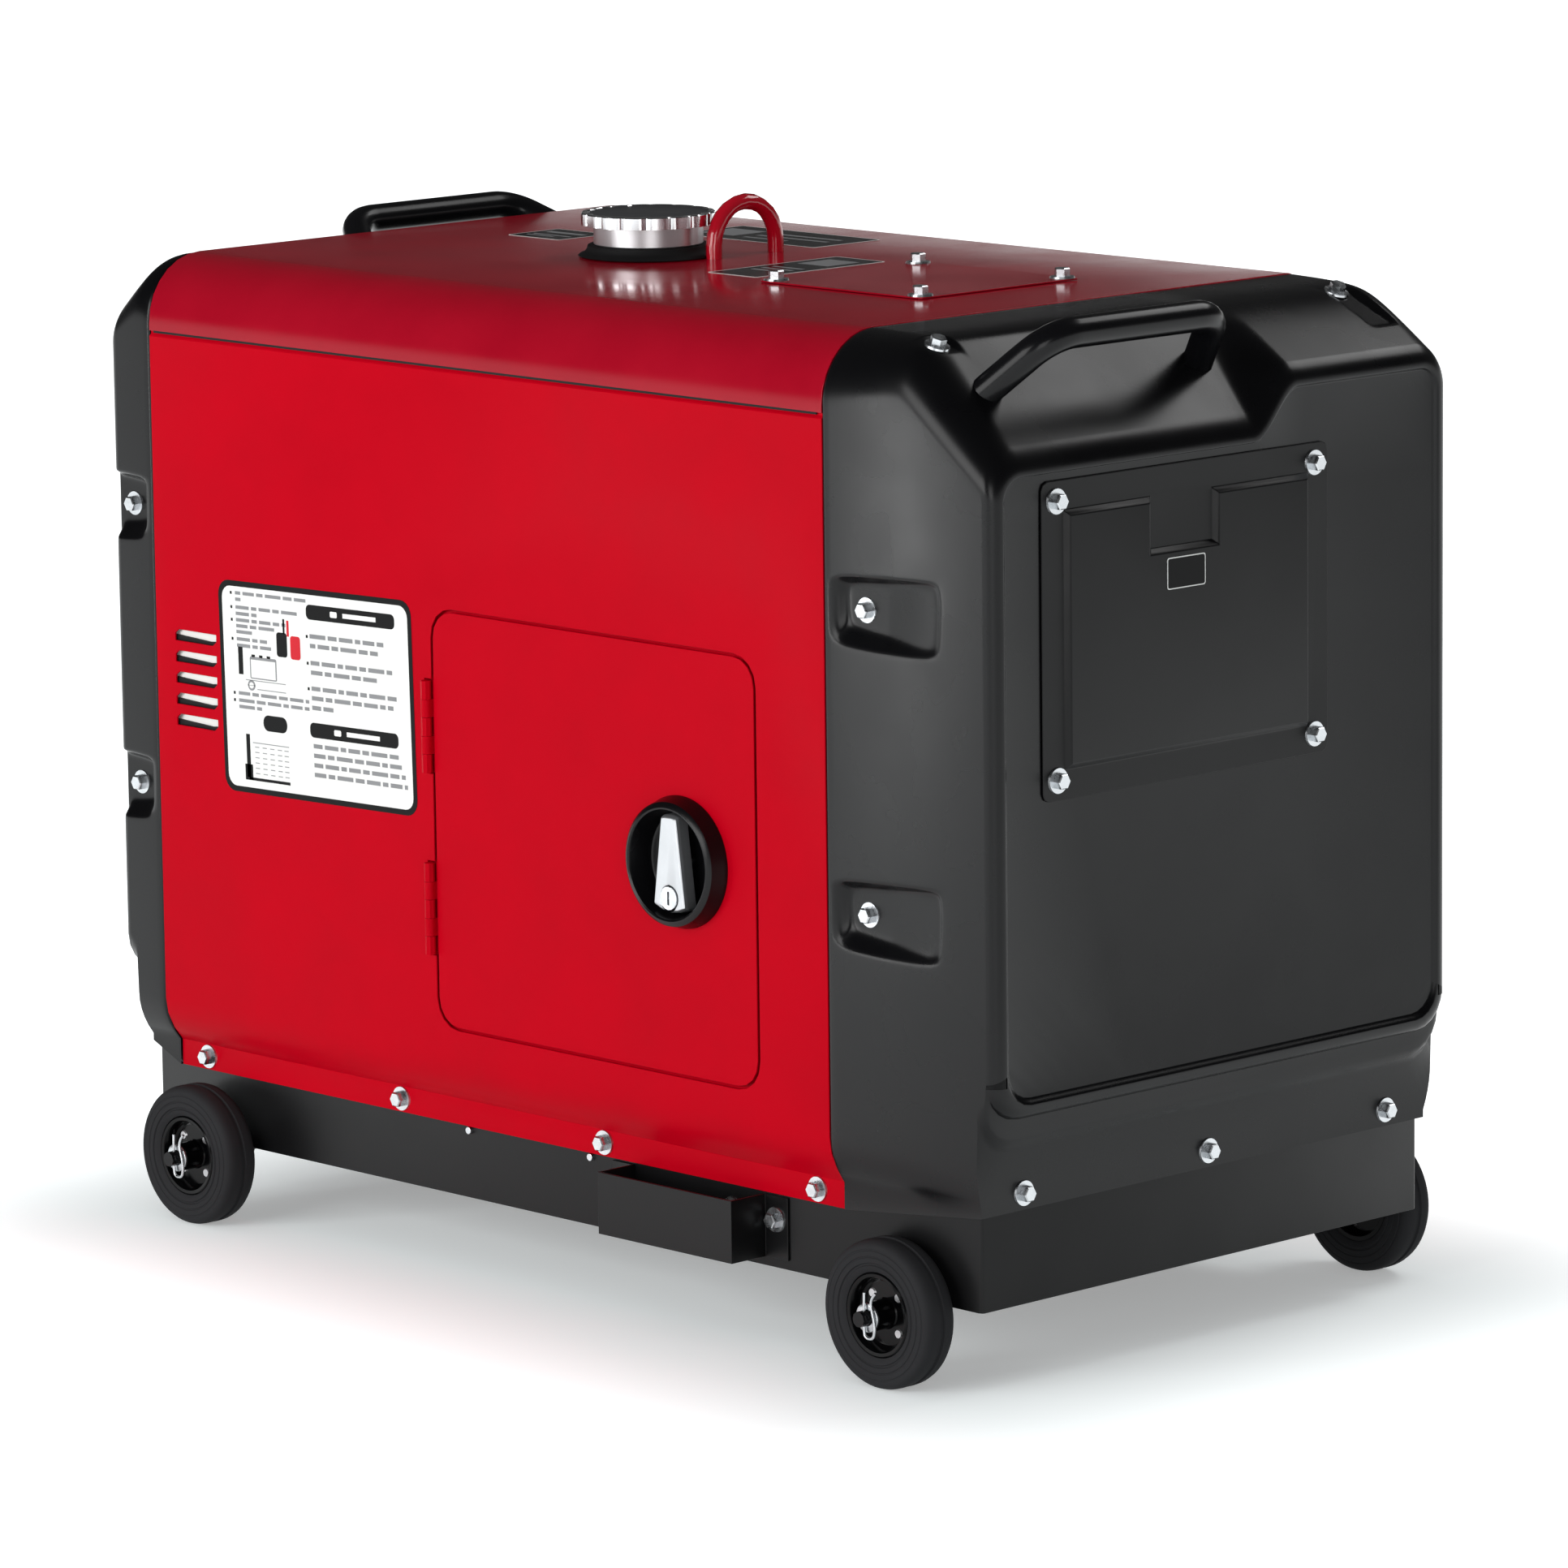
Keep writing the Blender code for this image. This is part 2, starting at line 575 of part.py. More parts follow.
def side_profile(side):
    """Sheet section of a side panel, from its flange up to its joggle."""
    wall = SHELL_HALF_WIDTH
    back = wall - SHELL_SHEET - GAP
    foot = tuck(wall, side, SHELL_SHEET)[::-1]
    path = [(foot[0][0], FLANGE_BOTTOM)] + foot
    path += [(side * wall, SEAM_Z - SEAM_WIDTH / 2 - 0.002), (side * back, SEAM_Z - SEAM_WIDTH / 2),
             (side * back, JOGGLE_TOP)]
    if side < 0:
        path = path[::-1]
    return thickened(path, SHELL_SHEET)


def side_panel(side):
    """Folded side panel between the two end caps."""
    return prism(side_profile(side), "X", SHELL_REAR, SHELL_FRONT)


def hinge_notches():
    """Room for the hinge barrels at the door's edge."""
    half = HINGE_HEIGHT / 2 + 0.001
    edge = HINGE_X - HINGE_RADIUS - 0.0006
    return [box(edge, DOOR_X0 + 0.001, -WALL_OUT, -WALL_IN, z - half, z + half) for z in HINGE_CENTRES]


def vent_slot(index):
    """One slanted air slot in the door side panel."""
    z = VENT_TOP_Z - index * VENT_PITCH
    h = VENT_HEIGHT / 2
    outline = [(VENT_X0, z - h), (VENT_X1 - 0.004, z - h), (VENT_X1, z - h + 0.003),
               (VENT_X1, z + h), (VENT_X0 + 0.004, z + h), (VENT_X0, z + h - 0.003)]
    return prism(outline, "Y", -SHELL_HALF_WIDTH - 0.01, -SHELL_HALF_WIDTH + 0.01)


def side_panel_left():
    """Door side panel with its door opening and air slots."""
    panel = side_panel(-1)
    opening = rounded_rectangle(DOOR_X0 - DOOR_GAP, DOOR_X1 + DOOR_GAP, DOOR_Z0 - DOOR_GAP,
                                DOOR_Z1 + DOOR_GAP, DOOR_CORNER + DOOR_GAP)
    cut(panel, prism(opening, "Y", -WALL_OUT, -WALL_IN), group(*hinge_notches()))
    return cut(panel, group(*[vent_slot(i) for i in range(VENT_COUNT)]))


def side_panel_right():
    """Control side panel with the opening for the control panel and louvres."""
    panel = side_panel(1)
    opening = rounded_rectangle(PANEL_X0, PANEL_X1, PANEL_Z0, PANEL_Z1, 0.008, 3)
    cut(panel, prism(opening, "Y", WALL_IN, WALL_OUT))
    slots = [box(LOUVRE_X0, LOUVRE_X1, WALL_IN, WALL_OUT, z, z + LOUVRE_HEIGHT) for z in
             [LOUVRE_Z + i * LOUVRE_PITCH for i in range(LOUVRE_COUNT)]]
    return cut(panel, group(*slots))


def top_cover():
    """Arched top sheet with its shoulders, from seam to seam."""
    r = SHOULDER_RADIUS
    w = SHELL_HALF_WIDTH
    path = [(w, SEAM_Z + SEAM_WIDTH / 2)] + arc((w - r, SHELL_TOP - r), r, 0, 90, 7)
    path += arc((r - w, SHELL_TOP - r), r, 90, 180, 7) + [(-w, SEAM_Z + SEAM_WIDTH / 2)]
    sheet = prism(thickened(path, SHELL_SHEET), "X", SHELL_REAR, SHELL_FRONT)
    hole = disc("Z", (CAP_X, CAP_Y, SHELL_TOP), NECK_HOLE, -0.01, 0.01, 24)
    legs = [disc("Z", (EYE_X, EYE_Y + s * EYE_HALF_SPAN, SHELL_TOP), EYE_BAR + GAP, -0.01, 0.01, 12)
            for s in (-1, 1)]
    inset = PLATE_OVERLAP
    access = box(PLATE_X0 + inset, PLATE_X1 - inset, PLATE_Y0 + inset, PLATE_Y1 - inset,
                 SHELL_TOP - 0.01, SHELL_TOP + 0.01)
    return cut(sheet, hole, *legs, access)


# ------------------------------------------------------------------------- caps
def smooth_lower(a, b, rounding):
    """Lower of two heights with the corner between them rounded."""
    return (a + b - math.hypot(a - b, rounding)) / 2


class CapForm:
    """Outer form of an end cap, as sections at a depth from the shell edge."""

    def __init__(self, depth, low_slope, high_slope):
        self.depth = depth
        self.low_slope = low_slope
        self.high_slope = high_slope

    def half_width(self, d):
        """Half width of the side walls, gently crowned."""
        u = d / self.depth
        return SHELL_HALF_WIDTH - (SHELL_HALF_WIDTH - CAP_END_HALF_WIDTH) * u ** 1.8

    def top(self, d, end_z, slope):
        """Height of the top, flat and then falling to the end face."""
        return smooth_lower(SHELL_TOP, end_z + (self.depth - d) * slope, 0.008)

    def corner(self, d):
        """Shoulder radius, which tightens towards the end."""
        return SHOULDER_RADIUS + (CAP_CORNER_RADIUS - SHOULDER_RADIUS) * d / self.depth

    def arch(self, d, shrink=0.0):
        """Section from the left shoulder over the top to the right shoulder."""
        w = self.half_width(d) - shrink
        low = self.top(d, CAP_LOW_END_Z, self.low_slope) - shrink
        high = self.top(d, CAP_HIGH_END_Z, self.high_slope) - shrink
        r = max(self.corner(d) - shrink, 0.006)
        drift = 0.024 * (1 - d / self.depth)
        y0, y1 = CAP_STEP_LOW_Y + drift + shrink * 0.4, CAP_STEP_HIGH_Y + drift + shrink * 0.4
        points = arc((r - w, low - r), r, 180, 90, 5)
        for t in (0, 0.3, 0.7, 1):
            points.append((y0 + (y1 - y0) * t, low + (high - low) * t * t * (3 - 2 * t)))
        return points + arc((w - r, high - r), r, 90, 0, 5)

    def foot(self, d, shrink, bottom):
        """Left lower corner, top to bottom: the tuck, or a round corner of the end."""
        w = self.half_width(d) - shrink
        if bottom is None:
            return tuck(w, -1, CAP_SHEET)
        r = CAP_CORNER_RADIUS - shrink * 0.5
        centre = (r - w, bottom + shrink + r)
        return arc(centre, r, 180, 270, 3)

    def loop(self, d, shrink=0.0, bottom=None):
        """Section from the left lower corner over the top to the right one."""
        foot = self.foot(d, shrink, bottom)
        return foot[::-1] + self.arch(d, shrink) + [(-y, z) for y, z in foot]


FRONT_FORM = CapForm(CAP_END - SHELL_FRONT, 1.02, 1.02)
REAR_FORM = CapForm(CAP_END + SHELL_REAR, 1.75, 1.15)


def lower_run(row, z):
    """Points across the bottom, between a loop's last and first point."""
    (y0, _), (y1, _) = row[0], row[-1]
    return [(y1 + (y0 - y1) * i / BOTTOM_RUN, z) for i in range(1, BOTTOM_RUN)]


def cap_rows(bm, form, start, stations):
    """Open rows of points over the body of a cap, skinned."""
    rows = []
    for d in stations:
        lip = 0.0012 if d == GAP else 0.0
        rows.append([bm.verts.new((start + d, y, z)) for y, z in form.loop(d, lip)])
    for low, high in zip(rows, rows[1:]):
        for i in range(len(low) - 1):
            bm.faces.new((low[i], low[i + 1], high[i + 1], high[i]))
    return rows


def side_hem(bm, rows, column, stations):
    """Flange under the crease on one side of a cap; returns its last point."""
    fall = (CAP_SKIRT_Z - FLANGE_BOTTOM) / stations[-1]
    hem = [bm.verts.new((row[column].co.x, row[column].co.y, FLANGE_BOTTOM + fall * d))
           for row, d in zip(rows, stations)]
    for i in range(len(rows) - 1):
        bm.faces.new((rows[i][column], rows[i + 1][column], hem[i + 1], hem[i]))
    return hem[-1]


def cap_sheet(form, start):
    """Outer skin of a cap: crowned sides, falling top, recessed face and skirt."""
    skirt, end = SKIRT_X - start, form.depth
    bend = CAP_RIM_RADIUS * (1 - math.sqrt(0.5))
    stations = [GAP, 0.003] + [skirt * t for t in (0.3, 0.6, 0.82, 1)]
    head = [(skirt + 0.001, 0.0, TUCK_Z + 0.003), (skirt + 0.007, 0.0, TUCK_Z + 0.012),
            (end - CAP_RIM_RADIUS, 0.0, CAP_BOTTOM_Z), (end - bend, bend, CAP_BOTTOM_Z),
            (end, CAP_RIM_RADIUS, CAP_BOTTOM_Z),
            (end - CAP_FACE_DEPTH, CAP_RIM_RADIUS + CAP_FACE_BORDER, CAP_BOTTOM_Z)]
    bm = bmesh.new()
    rows = cap_rows(bm, form, start, stations)
    left, right = (side_hem(bm, rows, column, stations) for column in (0, -1))
    seam = form.loop(skirt)
    crease, hem = ([bm.verts.new((SKIRT_X, y, z)) for y, z in lower_run(seam, level)]
                   for level in (CREASE_Z, CAP_SKIRT_Z))
    upper = [rows[-1][-1]] + crease + [rows[-1][0]]
    lower = [right] + hem + [left]
    for i in range(BOTTOM_RUN):
        bm.faces.new((upper[i], upper[i + 1], lower[i + 1], lower[i]))
    ring = rows[-1] + crease
    for d, shrink, bottom in head:
        loop = form.loop(d, shrink, bottom)
        loop = loop + lower_run(loop, bottom + shrink)
        following = [bm.verts.new((start + d, y, z)) for y, z in loop]
        for i in range(len(ring)):
            j = (i + 1) % len(ring)
            bm.faces.new((ring[i], ring[j], following[j], following[i]))
        ring = following
    bm.faces.new(ring)
    skin = to_object(bm)
    end_face = max(skin.data.polygons, key=lambda face: face.area)
    if end_face.normal.x < 0:
        skin.data.flip_normals()
    return skin


def scoop(form, start, z, side, wall):
    """Bolt pocket in a cap's side; wall > 0 makes the body round the pocket."""
    stations = ((0.021, 0.011, SCOOP_FLOOR_Y), (0.063, 0.015, SCOOP_FLOOR_Y),
                (0.104, 0.022, form.half_width(min(0.104, form.depth)) + 0.0004))
    limit = form.depth - CAP_RIM_RADIUS
    sections = []
    for d, half, floor in stations:
        if wall:
            d = min(d + (wall if sections else -wall), limit)
            outer = form.half_width(d) - 0.0012
            inner, low, high = min(floor, outer) - wall, half + wall, half + wall + 0.003
        else:
            outer, inner, low, high = SHELL_HALF_WIDTH + 0.006, floor, half, half + 0.008
        sections.append([(start + d, side * inner, z - low), (start + d, side * outer, z - high),
                         (start + d, side * outer, z + high), (start + d, side * inner, z + low)])
        if wall and d == limit:
            break
    return loft(sections)


def top_scoop(form, start, side, wall):
    """Tilted bolt pocket in a cap's top; wall > 0 makes the body round the pocket."""
    end_z, slope = ((CAP_HIGH_END_Z, form.high_slope) if side > 0 else
                    (CAP_LOW_END_Z, form.low_slope))
    half = 0.0115 + wall
    y0, y1 = sorted((side * (TOP_SCOOP_Y - half), side * (TOP_SCOOP_Y + half)))
    sections = []
    for i in range(12):
        d = TOP_SCOOP_D - 0.016 - wall + i * 0.008
        floor = TOP_SCOOP_Z - (d - TOP_SCOOP_D) * TOP_SCOOP_TILT
        top = form.top(d, end_z, slope) - 0.0026 if wall else SHELL_TOP + 0.02
        if top > floor - wall + 0.0005:
            sections.append([(start + d, y0, floor - wall), (start + d, y1, floor - wall),
                             (start + d, y1, top), (start + d, y0, top)])
    return loft(sections)


def leg_line(form, y_foot, y_grip):
    """Foot of a handle leg on the sloping top, its grip corner, and the slope's normal."""
    k = form.low_slope
    normal = Vector((k, 0, 1)).normalized()
    surface = CAP_LOW_END_Z + (CAP_END - HANDLE_GRIP_X) * k
    height = (HANDLE_GRIP_Z - surface) / math.sqrt(1 + k * k)
    grip = Vector((HANDLE_GRIP_X, y_grip, HANDLE_GRIP_Z))
    foot = Vector((grip.x, y_foot, grip.z)) - normal * height
    return foot, grip, normal


def handle_legs(form):
    """Both leg lines of a cap's handle."""
    return [leg_line(form, HANDLE_Y0, HANDLE_Y0 + HANDLE_SPLAY),
            leg_line(form, HANDLE_Y1, HANDLE_Y1 - HANDLE_SPLAY)]


def handle(form):
    """Bent tube handle with an end plate inside the cap on each leg."""
    (foot0, grip0, normal), (foot1, grip1, _) = handle_legs(form)
    ends = [foot + (foot - grip).normalized() * HANDLE_TAIL
            for foot, grip in ((foot0, grip0), (foot1, grip1))]
    tube = rod(bent([ends[0], grip0, grip1, ends[1]], HANDLE_BEND, 4), HANDLE_TUBE, 2)
    turn = normal.to_track_quat("Z", "Y").to_matrix().to_4x4()
    for end in ends:
        plate = disc("Z", (0, 0, 0), HANDLE_TUBE + 0.002, -0.002, 0.001, 12)
        fuse(tube, moved(plate, Matrix.Translation(end) @ turn))
    return tube


def cap(form, start):
    """Formed end cap with its bolt pockets and handle holes."""
    skin = cap_sheet(form, start)
    wall = skin.modifiers.new("wall", "SOLIDIFY")
    wall.thickness = CAP_SHEET
    wall.offset = -1
    wall.use_even_offset = True
    skin.data = evaluated(skin)
    skin.modifiers.clear()
    places = [(z, side) for z in SCOOP_Z for side in (-1, 1)]
    fuse(skin, *[scoop(form, start, z, side, SCOOP_SHELL) for z, side in places])
    if form is FRONT_FORM:
        fuse(skin, *[top_scoop(form, start, side, SCOOP_SHELL) for side in (-1, 1)])
        cut(skin, *[top_scoop(form, start, side, 0) for side in (-1, 1)])
    cut(skin, *[scoop(form, start, z, side, 0) for z, side in places])
    for foot, grip, _ in handle_legs(form):
        along = (foot - grip).normalized()
        cut(skin, rod([foot - along * 0.02, foot + along * 0.02], HANDLE_TUBE + 0.0004, 2))
    return skin


def front_cap():
    """Cap over the engine end, open behind the air cleaner cover."""
    rim = COVER_BOLT_INSET * 2
    opening = box(FACE_X - 0.02, FACE_X + 0.02, COVER_Y0 + rim, COVER_Y1 - rim,
                  COVER_Z0 + rim, COVER_Z1 - rim)
    return cut(cap(FRONT_FORM, SHELL_FRONT), opening)


def emboss_outline(shrink):
    """Outline of the raised field, with the square notch in its top edge."""
    y0, y1 = COVER_Y0 + EMBOSS_MARGIN + shrink, COVER_Y1 - EMBOSS_MARGIN - shrink
    z0, z1 = COVER_Z0 + EMBOSS_MARGIN + shrink, COVER_Z1 - EMBOSS_MARGIN - shrink
    return [(y0, z0), (y1, z0), (y1, z1), (NOTCH_Y1 + shrink, z1), (NOTCH_Y1 + shrink, NOTCH_Z - shrink),
            (NOTCH_Y0 - shrink, NOTCH_Z - shrink), (NOTCH_Y0 - shrink, z1), (y0, z1)]


def air_cleaner_cover():
    """Pressed service cover with a raised field."""
    x = FACE_X + GAP
    plate = prism(rounded_rectangle(COVER_Y0, COVER_Y1, COVER_Z0, COVER_Z1, 0.006, 2), "X",
                  x, x + COVER_SHEET)
    sections = [[(x + COVER_SHEET / 2, y, z) for y, z in emboss_outline(0)],
                [(x + EMBOSS_HEIGHT, y, z) for y, z in emboss_outline(0.003)],
                [(x + EMBOSS_HEIGHT + COVER_SHEET, y, z) for y, z in emboss_outline(0.0045)]]
    places = corner_bolts(COVER_Y0, COVER_Y1, COVER_Z0, COVER_Z1, COVER_BOLT_INSET)
    return fuse(plate, loft(sections), *[bolt((x + COVER_SHEET, y, z), (1, 0, 0)) for y, z in places])


def rear_cap():
    """Cap over the generator end, open behind the outlet grille and at the exhaust."""
    opening = box(FACE_X - 0.02, FACE_X + 0.02, GRILLE_Y - GRILLE_HALF_WIDTH + 0.02,
                  GRILLE_Y + GRILLE_HALF_WIDTH - 0.02, GRILLE_Z0 + 0.02, GRILLE_Z1 - 0.02)
    outlet = disc("X", (FACE_X, EXHAUST_Y, EXHAUST_Z), EXHAUST_RADIUS + 0.0005, -0.02, 0.02, 16)
    return half_turn(cut(cap(REAR_FORM, -SHELL_REAR), opening, outlet))


def outlet_grille():
    """Bolted plate with slanting blades over the hot air outlet."""
    x = FACE_X + GAP
    y0, y1 = GRILLE_Y - GRILLE_HALF_WIDTH, GRILLE_Y + GRILLE_HALF_WIDTH
    plate = prism(rounded_rectangle(y0, y1, GRILLE_Z0, GRILLE_Z1, 0.006, 2), "X", x, x + COVER_SHEET)
    edge = GRILLE_EDGE
    cut(plate, box(x - 0.01, x + 0.01, y0 + edge, y1 - edge, GRILLE_Z0 + edge, GRILLE_Z1 - edge))
    pitch = (GRILLE_Z1 - GRILLE_Z0 - 2 * edge) / GRILLE_BLADES
    for i in range(GRILLE_BLADES):
        z = GRILLE_Z0 + edge + (i + 0.5) * pitch
        blade = [(x - 0.010, z + 0.007), (x + 0.0008, z - 0.007), (x + 0.0008, z - 0.0058),
                 (x - 0.010, z + 0.0082)]
        fuse(plate, prism(blade, "Y", y0 + edge - 0.0005, y1 - edge + 0.0005))
    places = corner_bolts(y0, y1, GRILLE_Z0, GRILLE_Z1, GRILLE_BOLT_INSET)
    return half_turn(fuse(plate, *[bolt((x + COVER_SHEET, y, z), (1, 0, 0)) for y, z in places]))


# ------------------------------------------------------------- top of the canopy
def access_plate():
    """Thin bolted plate over the rocker cover."""
    outline = rounded_rectangle(PLATE_X0, PLATE_X1, PLATE_Y0, PLATE_Y1, 0.002, 1)
    top = SHELL_TOP + GAP + PLATE_SHEET
    plate = prism(outline, "Z", SHELL_TOP + GAP, top)
    places = corner_bolts(PLATE_X0, PLATE_X1, PLATE_Y0, PLATE_Y1, PLATE_BOLT_INSET)
    return fuse(plate, *[bolt((x, y, top), (0, 0, 1)) for x, y in places])


def portal(x, half_width, top):
    """Bent steel strip that stands on the tray and crosses the machine."""
    path = [(FRAME_Y, FRAME_FOOT), (FRAME_Y, top), (-FRAME_Y, top), (-FRAME_Y, FRAME_FOOT)]
    return prism(thickened(path, FRAME_SHEET), "X", x - half_width, x + half_width)


def inner_frame():
    """Lifting portal under the eye and two portals under the tank, tied along the sides."""
    cradle = TANK_Z0 - GAP
    frame = portal(EYE_X, 0.015, LIFT_TOP)
    fuse(frame, *[portal(x, 0.010, cradle) for x in CRADLE_XS])
    for side in (-1, 1):
        y0, y1 = sorted((side * FRAME_Y, side * (FRAME_Y - FRAME_SHEET)))
        fuse(frame, box(CRADLE_XS[0], EYE_X, y0, y1, cradle - 0.045, cradle - 0.020))
    return frame


def lifting_eye():
    """Round bar bent to a loop, standing on the lifting portal."""
    top = EYE_TOP - EYE_BAR
    foot = LIFT_TOP + GAP
    corners = [(EYE_X, EYE_Y - EYE_HALF_SPAN, foot), (EYE_X, EYE_Y - EYE_HALF_SPAN, top),
               (EYE_X, EYE_Y + EYE_HALF_SPAN, top), (EYE_X, EYE_Y + EYE_HALF_SPAN, foot)]
    return rod(bent(corners, EYE_HALF_SPAN - 0.0006, 6), EYE_BAR, 2)


# ------------------------------------------------------------------------- fuel
def fuel_tank():
    """Sheet tank, open through the filler neck that is welded to it."""
    outer = rounded_rectangle(TANK_X0, TANK_X1, -TANK_HALF_WIDTH, TANK_HALF_WIDTH, TANK_CORNER, 3)
    s = TANK_SHEET
    inner = rounded_rectangle(TANK_X0 + s, TANK_X1 - s, s - TANK_HALF_WIDTH, TANK_HALF_WIDTH - s,
                              TANK_CORNER - s, 3)
    tank = cut(prism(outer, "Z", TANK_Z0, TANK_Z1), prism(inner, "Z", TANK_Z0 + s, TANK_Z1 - s))
    place = (CAP_X, CAP_Y, 0)
    fuse(tank, disc("Z", place, NECK_RADIUS, TANK_Z1 - s / 2, NECK_TOP, 24))
    return cut(tank, disc("Z", place, NECK_BORE, TANK_Z1 - 0.01, NECK_TOP + 0.01, 24))


def neck_seal():
    """Flared rubber grommet between the neck and the top cover."""
    bore, hole = NECK_RADIUS + GAP, NECK_HOLE - GAP
    top = SHELL_TOP + GAP
    profile = [(bore, SHELL_TOP - 0.005), (hole, SHELL_TOP - 0.005), (hole, top), (SEAL_RADIUS, top),
               (SEAL_RADIUS - 0.001, top + 0.0018), (hole + 0.002, top + 0.0035),
               (hole, SEAL_TOP - GAP), (bore, SEAL_TOP - GAP)]
    seal = turned(profile, "Z", (CAP_X, CAP_Y, 0), 24, ring=True)
    leg = disc("Z", (EYE_X, EYE_Y - EYE_HALF_SPAN, 0), EYE_BAR + 0.0006, top - 0.001, SEAL_TOP, 12)
    return cut(seal, leg)


def fuel_cap():
    """Scalloped screw cap with a skirt round the neck."""
    scallops, per = 16, 3
    outline = []
    for i in range(scallops * per):
        turn = math.tau * i / (scallops * per)
        reach = FUEL_CAP_RADIUS - (0.0016 if i % per == 0 else 0)
        outline.append((CAP_X + reach * math.cos(turn), CAP_Y + reach * math.sin(turn)))
    under = FUEL_CAP_TOP - FUEL_CAP_THICK
    top = prism(outline, "Z", under, FUEL_CAP_TOP)
    place = (CAP_X, CAP_Y, 0)
    skirt = pipe("Z", place, FUEL_SKIRT_RADIUS, NECK_RADIUS + RUNNING, SEAL_TOP + GAP, under + 0.001, 24)
    return fuse(top, skirt)


def cap_gasket():
    """Rubber ring that the cap presses on the neck."""
    return pipe("Z", (CAP_X, CAP_Y, 0), NECK_RADIUS, NECK_BORE - 0.002, NECK_TOP + GAP,
                FUEL_CAP_TOP - FUEL_CAP_THICK - GAP, 16)


# ------------------------------------------------------------------------- door
def door_outline(inset, radius):
    """Door outline moved in by an inset."""
    return rounded_rectangle(DOOR_X0 + inset, DOOR_X1 - inset, DOOR_Z0 + inset, DOOR_Z1 - inset, radius)


def hinge_leaf(z, side, knuckles, leaf_end, outer):
    """Leaf with a web to each knuckle; side is the leaf's direction along X."""
    near, far = HINGE_X + side * 0.0026, HINGE_X + side * 0.0038
    low = z - HINGE_HEIGHT / 2
    leaf = box(*sorted((near, leaf_end)), outer, outer + LEAF_SHEET, low, low + HINGE_HEIGHT)
    for index in knuckles:
        start = low + index * HINGE_PITCH + GAP / 2
        fuse(leaf, box(*sorted((near, far)), HINGE_Y, outer + LEAF_SHEET / 2, start,
                       start + HINGE_PITCH - GAP))
    return leaf


def hinge(z):
    """Fixed leaf of a hinge with three knuckles and the pin in one bar."""
    barrel = [(0, -HINGE_HEIGHT / 2)]
    for index in (0, 2, 4):
        low = index * HINGE_PITCH - HINGE_HEIGHT / 2
        high = low + HINGE_PITCH
        barrel += [(HINGE_PIN_RADIUS, low), (HINGE_RADIUS, low), (HINGE_RADIUS, high), (HINGE_PIN_RADIUS, high)]
    barrel.append((0, HINGE_HEIGHT / 2))
    del barrel[1], barrel[-2]
    leaf = hinge_leaf(z, -1, (0, 2, 4), HINGE_X - 0.0132, LEAF_OUTER)
    return fuse(leaf, turned(barrel, "Z", (HINGE_X, HINGE_Y, z), 8))


def knuckle(z, index, bore):
    """One fifth of a hinge barrel."""
    low = z - HINGE_HEIGHT / 2 + index * HINGE_PITCH + GAP / 2
    return pipe("Z", (HINGE_X, HINGE_Y, low), HINGE_RADIUS, bore, 0, HINGE_PITCH - GAP, 12)


def hinge_half(z, side, knuckles, leaf_end, outer):
    """Leaf with its knuckles; side is the leaf's direction along X."""
    near, far = HINGE_X + side * 0.0026, HINGE_X + side * 0.0038
    low = z - HINGE_HEIGHT / 2
    leaf = box(*sorted((near, leaf_end)), outer, outer + LEAF_SHEET, low, low + HINGE_HEIGHT)
    for index in knuckles:
        start = low + index * HINGE_PITCH + GAP / 2
        web = box(*sorted((near, far)), HINGE_Y, outer + LEAF_SHEET / 2, start, start + HINGE_PITCH - GAP)
        bore = HINGE_PIN_RADIUS + GAP if side > 0 else HINGE_PIN_RADIUS - 0.0002
        cut(web, disc("Z", (HINGE_X, HINGE_Y, start), HINGE_RADIUS - 0.0002, -0.01, 0.03, 12))
        fuse(leaf, fuse(web, knuckle(z, index, bore)))
    return leaf


def door():
    """Flat door plate with its hinge leaves and the hole for the latch."""
    plate = prism(door_outline(0, DOOR_CORNER), "Y", DOOR_OUTER, DOOR_INNER)
    for z in HINGE_CENTRES:
        fuse(plate, hinge_half(z, 1, (1, 3), DOOR_X0 + 0.009, DOOR_INNER - 0.0002))
    return cut(plate, disc("Y", (LATCH_X, 0, LATCH_Z), BEZEL_HOLE, -WALL_OUT, -WALL_IN, 24))


def door_liner():
    """Sound foam on the back of the door."""
    foam = prism(door_outline(0.028, 0.010), "Y", LEAF_OUTER, LEAF_OUTER + 0.010)
    return cut(foam, disc("Y", (LATCH_X, 0, LATCH_Z), BEZEL_HOLE + 0.003, -WALL_OUT, -WALL_IN, 16))


def door_frame():
    """Ring behind the opening that the door shuts against."""
    edge = -DOOR_GAP - 0.020
    ring = prism(door_outline(edge, DOOR_CORNER + 0.010), "Y", LEAF_OUTER, FRAME_BACK)
    cut(ring, prism(door_outline(edge + 0.003, DOOR_CORNER + 0.007), "Y", LEAF_OUTER - 0.01, FRAME_BACK - 0.0012))
    return cut(ring, prism(door_outline(0.018, 0.012), "Y", -WALL_OUT, -WALL_IN))


def latch_bezel():
    """Round dished escutcheon of the latch."""
    bowl, shaft = LATCH_BOWL_RADIUS, LATCH_SHAFT_RADIUS + RUNNING
    profile = [(shaft, -0.008), (shaft, -0.005), (bowl - 0.003, -0.005), (bowl, -0.002),
               (bowl + 0.002, BEZEL_HEIGHT - 0.0015), (bowl + 0.004, BEZEL_HEIGHT),
               (BEZEL_RADIUS - 0.0032, BEZEL_HEIGHT - 0.0025),
               (BEZEL_RADIUS, GAP), (BEZEL_HOLE - GAP, GAP), (BEZEL_HOLE - GAP, -0.008)]
    profile = [(radius, -height) for radius, height in profile]
    return turned(profile, "Y", (LATCH_X, DOOR_OUTER, LATCH_Z), 24, ring=True)


